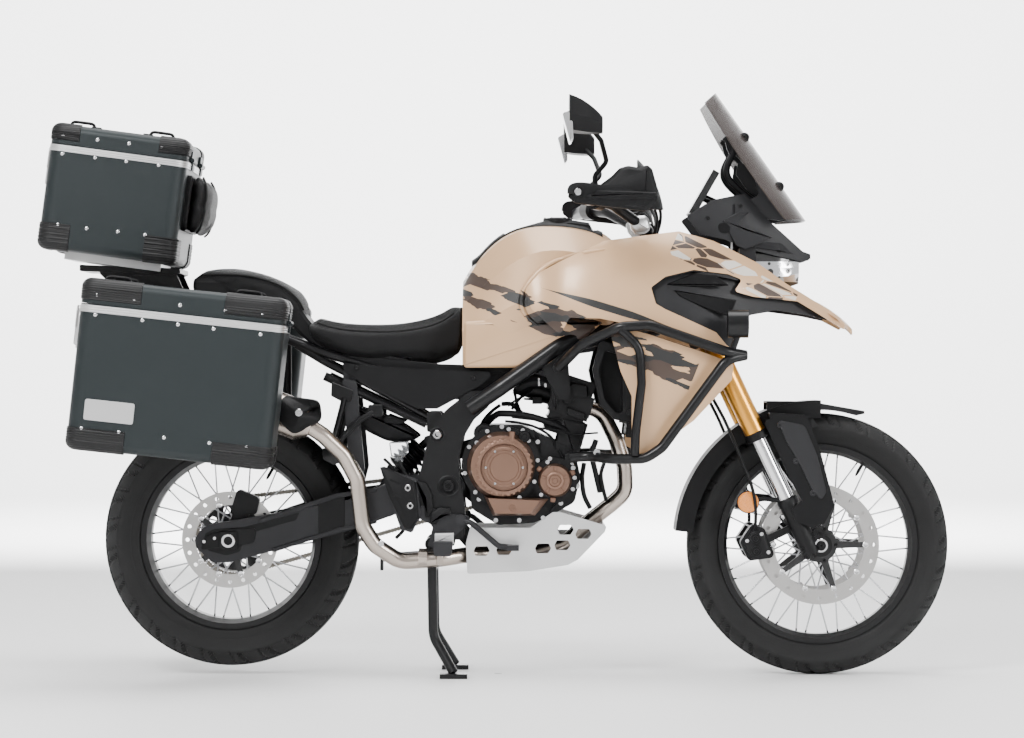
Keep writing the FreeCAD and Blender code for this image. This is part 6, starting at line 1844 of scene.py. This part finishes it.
@dataclass(frozen=True)
class Group:
    """Small parts that make one piece.

    Attributes:
        name: The piece's name.
        slot: The record's material slot.
        body: The body that carries it.
        both: Whether the other side has it too.
        tubes: Hoses, cables and rods.
        plates: Plates.
        heads: Screw heads.
    """

    name: str
    slot: str
    body: str = "root"
    both: bool = False
    tubes: tuple[Tube, ...] = ()
    plates: tuple[Plate, ...] = ()
    heads: tuple[Heads, ...] = ()


@dataclass(frozen=True)
class Fittings:
    """The small parts of one region.

    Attributes:
        groups: One entry for each piece.
    """

    groups: tuple[Group, ...]

    def build(self) -> Pieces:
        """Makes one piece of each group."""
        stocks = {group.name: Stock() for group in self.groups}
        for group in self.groups:
            stock = stocks[group.name]
            for tube in group.tubes:
                path = spline(tube.path, 7) if tube.soft else tube.path
                stock.pipe(path, tube.radius, 10 if tube.radius > 0.004 else 7)
            for plate in group.plates:
                stock.plate(bend(plate.outline, plate.corner), flank(self._foot(plate)),
                            plate.depth, plate.bevel, plate.crown)
        for group in self.groups:
            for row in group.heads:
                self._heads(row, stocks[group.name], stocks[row.ring or group.name])
        return [(stocks[group.name].mirror() if group.both else stocks[group.name]).piece(
            group.name, group.slot, group.body) for group in self.groups]

    @staticmethod
    def _foot(plate: Plate) -> float:
        """Where the plate starts: the outermost surface under its corners."""
        if not plate.on:
            return plate.y
        probe = Probe(*plate.on)
        middle = plate.outline.mean(0)
        rays = np.concatenate([plate.outline * 0.85 + middle * 0.15, middle[None]])
        hits = [probe.across(x, z) for x, z in rays]
        known = [hit.y for hit in hits if hit is not None]
        return (min(known) if known else plate.y) - plate.lift

    @staticmethod
    def _heads(row: Heads, stock: Stock, rings: Stock) -> None:
        """Adds a collar and a head at each place."""
        probe = Probe(*row.on)
        for x, z in row.places:
            seat = probe.flank(x, z)
            if seat is None:
                continue
            if row.collar:
                rings.turn(COLLAR * [row.collar, 1.0], seat, 22)
            stock.turn(CAP_SCREW * [row.radius, row.radius * 0.75], seat, 14)


@dataclass(frozen=True)
class WheelLook:
    """Finishes that change with the distance from the axle.

    Attributes:
        end: Which wheel.
        axle: Its axle in the side view.
        hub: Radius of the hub's flange.
        well: Radius where the spokes meet the rim.
        carrier: Radius inside which the disc is black.
    """

    end: str
    axle: tuple[float, float]
    hub: float
    well: float
    carrier: float

    def dress(self) -> None:
        """Gives rim and disc their looks."""
        dress(self.end + "_rim", self.rim())
        dress("front_discs" if self.end == "front" else "rear_disc", self.disc())

    def rim(self) -> Material:
        """Black rim and hub, bright spokes between them."""
        shade = Shade(self.end + "_rim_look")
        spoke = shade.radius(*self.axle).between(self.hub, self.well)
        drift, fine = shade.noise(9.0, 3.0), shade.fine()
        black = shade.mix(drift, (0.0035, 0.0035, 0.004), (0.007, 0.007, 0.0075))
        shade.set(Base_Color=shade.mix(spoke, black, (0.62, 0.62, 0.64)),
                  Metallic=0.2 + spoke * 0.75,
                  Roughness=0.34 - spoke * 0.1 + fine * 0.08, Specular_IOR_Level=0.35,
                  Normal=shade.bump(fine, 0.00006))
        return shade.material

    def disc(self) -> Material:
        """Turned steel ring on a black carrier."""
        shade = Shade(self.end + "_disc_look")
        reach = shade.radius(*self.axle)
        steel = reach > self.carrier
        fine = shade.fine()
        groove = (reach * (TAU / 0.0018)).sine()
        shade.set(Base_Color=shade.mix(steel, (0.007, 0.007, 0.0075), (0.47, 0.46, 0.45)),
                  Metallic=steel * 0.95, Roughness=0.34 - steel * 0.08 + fine * 0.1,
                  Normal=shade.bump(groove * steel + fine * 0.4, 0.00004))
        return shade.material


@dataclass(frozen=True)
class GlassLook:
    """Smoked screen, headlight glass and radiator core.

    Attributes:
        smoke: The screen's darker brown.
        screen_fade: Heights between which the screen thins.
        beam: Heights between which the headlight's reflectors show.
        fins: Distance between two fins of the radiator.
        tubes: Distance between two of its tubes.
    """

    smoke: Colour = (0.050, 0.042, 0.040)
    screen_fade: tuple[float, float] = (1.20, 1.45)
    beam: tuple[float, float] = (0.984, 1.034)
    fins: float = 0.0042
    tubes: float = 0.0110

    def dress(self) -> None:
        """Gives the nodes their looks."""
        dress("windscreen", self.screen())
        dress("headlight", self.lamp())
        dress("radiator", self.core())

    def screen(self) -> Material:
        """Brown smoke that thins toward the top edge."""
        shade = Shade("smoked")
        _, _, up = shade.axes(shade.place)
        drift, fine = shade.noise(6.0, 2.0), shade.fine(700.0)
        shade.set(Base_Color=shade.mix(drift, self.smoke, (0.075, 0.062, 0.058)),
                  Roughness=0.20 + fine * 0.04,
                  Alpha=0.88 - up.ramp(*self.screen_fade) * 0.24, Specular_IOR_Level=0.08,
                  Normal=shade.bump(fine, 0.00001))
        return shade.material

    def lamp(self) -> Material:
        """Dark glass over faceted bright reflectors."""
        shade = Shade("lamp_glass")
        _, _, up = shade.axes(shade.place)
        facet = shade.cells(46.0)
        bright = up.between(*self.beam) * (facet > 0.36)
        fine = shade.fine(700.0)
        shade.set(Base_Color=shade.mix(bright, (0.008, 0.008, 0.009), (0.72, 0.72, 0.74)),
                  Metallic=bright * 0.9, Roughness=0.10 + fine * 0.05, Coat_Weight=1.0,
                  Normal=shade.bump(facet, 0.0009))
        return shade.material

    def core(self) -> Material:
        """Fins: fine level ridges between upright tubes; painted shade darkens the hollows between
        the tubes and their raised crests are painted paler.
        """
        shade = Shade("radiator_core")
        _, across, up = shade.axes(shade.place)
        fin = (up * (TAU / self.fins)).sine()
        tube = (across * (TAU / self.tubes)).sine()
        fine = shade.fine(500.0)
        # Painted shade: dark for the hollows between the tubes, pale for their raised crests,
        # following the bump.
        dark, pale = (0.004, 0.004, 0.0045), (0.012, 0.012, 0.013)
        shade.set(Base_Color=shade.mix(tube * 0.5 + 0.5, dark, pale),
                  Roughness=0.52 + fine * 0.12, Specular_IOR_Level=0.35,
                  Normal=shade.bump(fin * 0.5 + tube, 0.0010))
        return shade.material


REAR_FITTINGS = Fittings((
    Group("rear_arms", "frame_black", both=True, tubes=(
        Tube(mm((-380, -150, 694), (-390, -152, 653), (-412, -158, 568)), 0.0075),
        Tube(mm((-309, -140, 658), (-341, -146, 640), (-370, -152, 613), (-389, -157, 589),
            (-397, -160, 555)), 0.0075),
        Tube(mm((-430, -118, 749), (-177, -118, 630)), 0.011, soft=False)), plates=(
        Plate(mm((-411, 735), (-358, 713), (-364, 686), (-385, 685), (-413, 700)), 0.008, -0.142),
        Plate(mm((-320, 678), (-285, 678), (-285, 650), (-305, 646), (-325, 660)), 0.008, -0.134),
        Plate(mm((-432, 571), (-387, 576), (-387, 537), (-405, 529), (-432, 544)), 0.016, -0.148,
            crown=0.001))),
    Group("rear_bolts", "chrome", both=True, heads=(
        Heads(mm((-150, 604)), ("frame_main",), 0.011, 0.019, "arm_details"),)),
    Group("right_plates", "plastic_black", tubes=(
        Tube(mm((-245, -140, 539), (-230, -146, 509), (-212, -150, 482), (-207, -150, 428),
            (-232, -150, 371), (-252, -146, 348)), 0.0045),
        Tube(mm((-282, -138, 544), (-264, -142, 526), (-252, -140, 497)), 0.004),
        Tube(mm((-203, -128, 516), (-173, -120, 491), (-144, -112, 431)), 0.004)), plates=(
        Plate(mm((-291, 524), (-279, 526), (-203, 487), (-195, 401), (-213, 372), (-229, 372),
            (-269, 454)), 0.0045, crown=0.0012, on=("footrest_hangers",)),
        Plate(mm((-266, 498), (-238, 486), (-240, 480), (-268, 491)), 0.0062,
            on=("footrest_hangers",)),
        Plate(mm((-261, 462), (-232, 449), (-234, 443), (-264, 454)), 0.0062,
            on=("footrest_hangers",)),
        Plate(mm((-202, 491), (-177, 484), (-163, 458), (-160, 423), (-170, 401), (-180, 401),
            (-180, 448), (-197, 468)), 0.008, crown=0.0015, on=("footrest_hangers",)),
        Plate(mm((-168, 385), (-165, 411), (-145, 425), (-117, 422), (-115, 406), (-140, 403),
            (-152, 384)), 0.009, crown=0.0015, on=("footrest_hangers",)))),
    Group("reservoir", "lens", plates=(
        Plate(mm((-270, 585), (-223, 587), (-221, 561), (-233, 547), (-265, 549)), 0.034, -0.098,
            0.005, 0.003),
        Plate(mm((-259, 551), (-234, 549), (-237, 536), (-256, 537)), 0.026, -0.102, 0.003,
            0.002))),
    Group("right_bolts", "chrome", heads=(
        Heads(mm((-222, 473), (-216, 429)), ("footrest_hangers",), 0.0085),
        Heads(mm((-288, 336)), ("exhaust_pipes",), 0.0075))),
    Group("peg_teeth", "silver", both=True, plates=(
        Plate(mm((-154, 363), (-108, 364), (-108, 337), (-114, 343), (-120, 336), (-126, 343),
            (-132, 336), (-138, 343), (-144, 336), (-149, 343), (-154, 338)), 0.052, -0.190,
            0.0008, 0.001),)),
    Group("pipe_bands", "exhaust_steel", tubes=(
        Tube(mm((-196, -150, 302), (-175, -150, 301)), 0.0225, soft=False),
        Tube(mm((-150, -150, 300), (-136, -150, 300)), 0.0225, soft=False))),
    Group("undertray", "plastic_black", both=True, plates=(
        Plate(mm((-380, 804), (-243, 789), (-144, 779), (5, 774), (124, 774), (55, 734),
            (-7, 694), (-69, 684), (-243, 719), (-362, 769)), 0.004, -0.112, 0.006),
        Plate(mm((-361, 677), (-299, 659), (-231, 627), (-191, 597), (-231, 583), (-276, 587),
            (-328, 612), (-356, 642)), 0.016, -0.086, 0.012, 0.006, 0.002),
        Plate(mm((-276, 654), (-229, 637), (-239, 630), (-281, 632), (-286, 642)), 0.006, -0.102))),
    Group("arm_details", "engine_black", both=True, plates=(
        Plate(mm((-728, 359), (-703, 370), (-629, 375), (-490, 412), (-500, 391), (-624, 356),
            (-639, 313), (-673, 303), (-720, 316)), 0.0016, 0.0, 0.006, on=("swingarm",)),
        Plate(mm((-446, 440), (-379, 460), (-379, 365), (-446, 353)), 0.0016, 0.0, 0.004,
            on=("swingarm",))), heads=(
        Heads(mm((-122, 477)), ("frame_main",), 0.015, 0.028),))))


ENGINE_BAY = Fittings((
    Group("bay_hoses", "plastic_black", tubes=(
        Tube(mm((-30, -95, 630), (-5, -112, 652), (16, -122, 656), (71, -128, 651),
            (131, -132, 633), (169, -125, 613), (204, -112, 575)), 0.0085),
        Tube(mm((55, -70, 724), (80, -80, 736), (110, -84, 738), (135, -84, 729)), 0.019),
        Tube(mm((244, -100, 590), (234, -105, 553), (244, -104, 503), (254, -96, 460)), 0.007),
        Tube(mm((214, -112, 533), (209, -116, 496), (214, -112, 453), (229, -100, 421)), 0.006),
        Tube(mm((264, -104, 533), (256, -108, 505), (261, -104, 471), (269, -90, 440)), 0.005),
        Tube(mm((10, -60, 679), (35, -70, 678), (56, -90, 659), (77, -104, 647)), 0.0058)), plates=(
        Plate(mm((85, 697), (110, 697), (110, 679), (85, 679)), 0.012, -0.080, 0.002),)),
    Group("bay_wires", "core_black", tubes=(
        Tube(mm((40, -66, 716), (47, -78, 684), (57, -96, 659)), 0.0038),
        Tube(mm((72, -72, 714), (50, -84, 687), (35, -96, 667)), 0.0038),
        Tube(mm((90, -76, 719), (70, -84, 702), (45, -88, 689), (25, -88, 674)), 0.003),
        Tube(mm((65, -80, 692), (87, -86, 690), (107, -90, 685), (125, -96, 679),
            (132, -120, 655)), 0.0028),
        Tube(mm((5, -50, 676), (-15, -60, 661), (-35, -80, 639), (-50, -90, 607)), 0.0045),
        Tube(mm((94, -134, 621), (145, -142, 615), (190, -142, 606), (248, -125, 608)), 0.0026),
        Tube(mm((18, -128, 637), (55, -134, 633), (99, -136, 620), (134, -134, 595),
            (144, -128, 561)), 0.0035),
        Tube(mm((87, -128, 615), (99, -132, 595), (104, -130, 566), (117, -124, 536)), 0.0035),
        Tube(mm((154, -128, 645), (124, -132, 640), (80, -130, 642), (35, -122, 647)), 0.003))),
    Group("bay_clips", "chrome", plates=(
        Plate(mm((99, 745), (105, 745), (105, 723), (99, 723)), 0.020, -0.082, 0.002),
        Plate(mm((115, 738), (122, 738), (122, 720), (115, 720)), 0.020, -0.082, 0.002))),
    Group("cylinder_plates", "engine_black", both=True, plates=(
        Plate(mm((131, 741), (146, 750), (162, 723), (143, 665), (131, 696)), 0.007, corner=0.004,
            bevel=0.002, on=("cylinder_head",)),
        Plate(mm((167, 719), (185, 732), (221, 726), (224, 696), (191, 696), (179, 678),
            (161, 681)), 0.009, corner=0.004, bevel=0.0025, on=("cylinder_head",)),
        Plate(mm((173, 672), (218, 656), (212, 638), (170, 653)), 0.008, corner=0.002,
            bevel=0.002, on=("cylinder_head",)),
        Plate(mm((159, 645), (224, 630), (196, 538), (137, 558)), 0.004, corner=0.004,
            bevel=0.002, crown=0.002, on=("cylinder_head",)))),
    Group("gussets", "cast_grey", both=True, plates=(
        Plate(mm((86, 756), (152, 786), (173, 774), (173, 761), (149, 756), (128, 744)), 0.014,
            -0.124, 0.006, 0.003),
        Plate(mm((151, 855), (190, 873), (250, 841), (241, 810), (173, 801), (161, 813)), 0.012,
            -0.112, 0.008, 0.003))),
    Group("bay_bolts", "chrome", both=True, heads=(
        Heads(mm((212, 716)), ("cylinder_head",), 0.009, 0.0125, "cylinder_plates"),
        Heads(mm((243, 562)), ("cylinder_head", "engine_case", "guard_bars", "frame_main"),
            0.0085),
        Heads(mm((129, 545), (183, 529), (197, 477)), ("engine_case", "cylinder_head"), 0.006)))))


COCKPIT = Fittings((
    Group("screen_arms", "plastic_black", both=True, tubes=(
        Tube(mm((567, -62, 1345), (589, -66, 1315), (572, -66, 1271), (577, -66, 1241),
            (609, -66, 1208), (645, -62, 1181)), 0.0085),
        Tube(mm((587, -66, 1316), (624, -66, 1276), (664, -66, 1233), (695, -62, 1199)),
            0.006)), plates=(
        Plate(mm((599, 1283), (623, 1276), (653, 1251), (683, 1202), (653, 1192), (623, 1211),
            (594, 1251)), 0.007, -0.066, 0.004, 0.002),
        Plate(mm((564, 1348), (582, 1344), (597, 1308), (587, 1283), (572, 1313)), 0.012, -0.060,
            0.004, 0.002))),
    Group("screen_bolts", "engine_black", both=True, heads=(
        Heads(mm((615, 1344), (701, 1221)), ("windscreen",), 0.009, 0.0125),)),
    Group("cowl_facets", "plastic_grey", both=True, plates=(
        Plate(mm((556, 1135), (601, 1158), (625, 1155), (593, 1126), (618, 1110), (648, 1105),
            (680, 1091), (613, 1062), (590, 1072)), 0.002, corner=0.002, bevel=0.0016,
            on=("cowl",)),)),
    # Painted shade: thin black plates stand for the cowl's openings, dark partly from the black
    # parts behind them and partly from the shade inside them.
    Group("cowl_holes", "core_black", both=True, plates=(
        Plate(mm((547, 1127), (565, 1130), (576, 1118), (573, 1104), (555, 1103), (545, 1113)),
            0.0012, corner=0.006, bevel=0.0006, lift=0.0, on=("cowl",)),)),
    Group("pod_facets", "plastic_black", both=True, plates=(
        Plate(mm((413, 974), (486, 1003), (532, 998), (566, 971), (527, 967), (430, 969)), 0.003,
            corner=0.003, bevel=0.0024, on=("cowl", "fairing_upper")),
        Plate(mm((430, 960), (585, 935), (568, 894), (517, 911), (447, 942)), 0.003, corner=0.003,
            bevel=0.0024, on=("cowl", "fairing_upper")))),
    Group("bar_cables", "plastic_black", "steering", both=True, tubes=(
        Tube(mm((361, -230, 1168), (386, -200, 1184), (400, -170, 1160), (402, -130, 1130),
            (392, -90, 1090), (386, -72, 1050)), 0.0042),
        Tube(mm((349, -220, 1161), (376, -190, 1172), (392, -160, 1148), (394, -118, 1116),
            (384, -84, 1072), (378, -66, 1040)), 0.0036))),
    Group("guard_facets", "plastic_black", "steering", both=True, plates=(
        Plate(mm((168, 1177), (174, 1201), (193, 1210), (238, 1201), (274, 1228), (291, 1246),
            (312, 1252), (341, 1247), (358, 1254), (370, 1244), (384, 1194), (378, 1163),
            (355, 1143), (293, 1151), (186, 1163)), 0.020, -0.424, 0.005, 0.007, 0.002),
        Plate(mm((222, 1179), (240, 1193), (381, 1188), (381, 1174), (268, 1169)), 0.004,
            corner=0.003, bevel=0.003, on=("hand_guards",)))),
    Group("mirror_glass", "chrome", "steering", both=True, plates=(
        Plate(mm((155, 1374), (171, 1384), (179, 1357), (181, 1314), (173, 1305)), 0.110, -0.365,
            0.004, 0.002),)),
    Group("guard_bolts", "chrome", "steering", both=True, heads=(
        Heads(mm((192, 1189)), ("hand_guards",), 0.0085, 0.013, "guard_facets"),)),
    Group("bar_clamps", "silver", "steering", both=True, plates=(
        Plate(mm((325, 1137), (338, 1145), (365, 1147), (375, 1138), (378, 1112), (365, 1102),
            (343, 1100), (330, 1114)), 0.034, -0.100, 0.005, 0.004, 0.003),))))


# Studio

@dataclass(frozen=True)
class Studio:
    """Floor, lights and the camera at the photograph's place.

    Attributes:
        distance: Camera to the machine's middle plane.
        eye_x: The camera's place along the machine.
        eye_height: The camera's height.
        lens: Focal length for a 36 mm sensor, in millimetres.
        floor_half: Radius of the floor.
        cove_radius: Radius of the curve from floor to wall.
    """

    distance: float = 8.5
    eye_x: float = 0.035
    eye_height: float = 0.7664
    lens: float = 118.72
    floor_half: float = 14.0
    cove_radius: float = 2.0

    def build(self) -> None:
        """Makes the stage, the lights and the camera."""
        self._floor()
        self._lights()
        self._camera()

    def _floor(self) -> None:
        """A round floor that turns up into a wall: the profile is a line, an arc and a line."""
        turn = np.linspace(0.0, math.pi / 2, 9)
        edge = self.floor_half - self.cove_radius
        radius = np.concatenate([[0.01], edge + self.cove_radius * np.sin(turn), [self.floor_half]])
        height = np.concatenate([[0.0], self.cove_radius * (1.0 - np.cos(turn)), [9.0]])
        angle = np.linspace(0.0, TAU, 64, endpoint=False)
        points = ringed(radius[:, None], height[:, None], angle, Seat(np.zeros(3), X, Y, Z))
        mesh = bpy.data.meshes.new("floor")
        mesh.from_pydata(points.reshape(-1, 3).tolist(), [],
                         Sheet(points, False, True).faces(0).tolist())
        mesh.shade_smooth()
        floor = bpy.data.objects.new("floor", mesh)
        bpy.context.scene.collection.objects.link(floor)
        shade = Shade("floor")
        shade.set(Base_Color=(0.86, 0.86, 0.86), Roughness=0.6)
        mesh.materials.append(shade.material)

    def _lights(self) -> None:
        """Large soft lamps above, before and behind, and a pale world."""
        for name, place, size, power, aim in (
                ("key", (-2.6, -4.6, 4.6), 2.0, 420.0, (0.0, 0.0, 0.6)),
                ("fill", (4.2, -3.4, 2.4), 1.6, 150.0, (0.2, 0.0, 0.6)),
                ("top", (0.2, 0.4, 5.4), 3.6, 330.0, (0.0, 0.0, 0.6)),
                ("back", (0.0, 6.5, 4.4), 5.4, 2600.0, (0.0, 12.0, 1.6))):
            lamp = bpy.data.lights.new(name, "AREA")
            lamp.size = size
            lamp.energy = power
            holder = bpy.data.objects.new(name, lamp)
            holder.location = place
            way = Vector(aim) - Vector(place)
            holder.rotation_euler = way.to_track_quat("-Z", "Y").to_euler()
            bpy.context.scene.collection.objects.link(holder)
        world = bpy.data.worlds.new("studio")
        world.use_nodes = True
        sky = world.node_tree.nodes["Background"].inputs
        sky["Color"].default_value = (1.0, 1.0, 1.0, 1.0)
        sky["Strength"].default_value = 0.62
        bpy.context.scene.world = world

    def _camera(self) -> None:
        """The camera looks along +Y from the machine's right."""
        data = bpy.data.cameras.new("camera")
        data.sensor_width = 36.0
        data.lens = self.lens
        data.clip_end = 60.0
        camera = bpy.data.objects.new("camera", data)
        camera.location = (self.eye_x, -self.distance, self.eye_height)
        camera.rotation_euler = (math.pi / 2, 0.0, 0.0)
        bpy.context.scene.collection.objects.link(camera)
        bpy.context.scene.camera = camera


def main() -> None:
    """Builds the studio and dresses the machine, one sub-assembly after the other."""
    logging.basicConfig(level=logging.INFO, format="%(name)s: %(message)s")
    Studio().build()
    SHOP.dress_frame()
    pieces = [
        Tyre("front_tyre", "front_wheel", FRONT_AXLE, radius=0.328, half=0.055, rim=0.241,
             rim_half=0.036, pitches=26).build(),
        Tyre("rear_tyre", "rear_wheel", REAR_AXLE, radius=0.319, half=0.073, rim=0.216,
             rim_half=0.056, pitches=25).build()]
    for part in (
            WheelTrim("front_wheel", FRONT_AXLE, disc_y=0.071, rivet_ring=0.115, sides=(-1, 1),
                      rim=0.241),
            WheelTrim("rear_wheel", REAR_AXLE, disc_y=0.079, rivet_ring=0.089, sides=(-1,),
                      rim=0.216),
            Luggage(), EngineTrim(), Bodywork(), ForkTrim(), SeatSet(), RearTrim()):
        pieces += part.build()
    WheelLook("front", FRONT_AXLE, hub=0.047, well=0.2205, carrier=0.112).dress()
    WheelLook("rear", REAR_AXLE, hub=0.047, well=0.196, carrier=0.086).dress()
    GlassLook().dress()
    for region in (REAR_FITTINGS, ENGINE_BAY, COCKPIT):
        pieces += region.build()
    for piece in pieces:
        LOG.info("%s: %d faces", piece.name, len(piece.data.polygons))


if __name__ == "__main__":
    main()
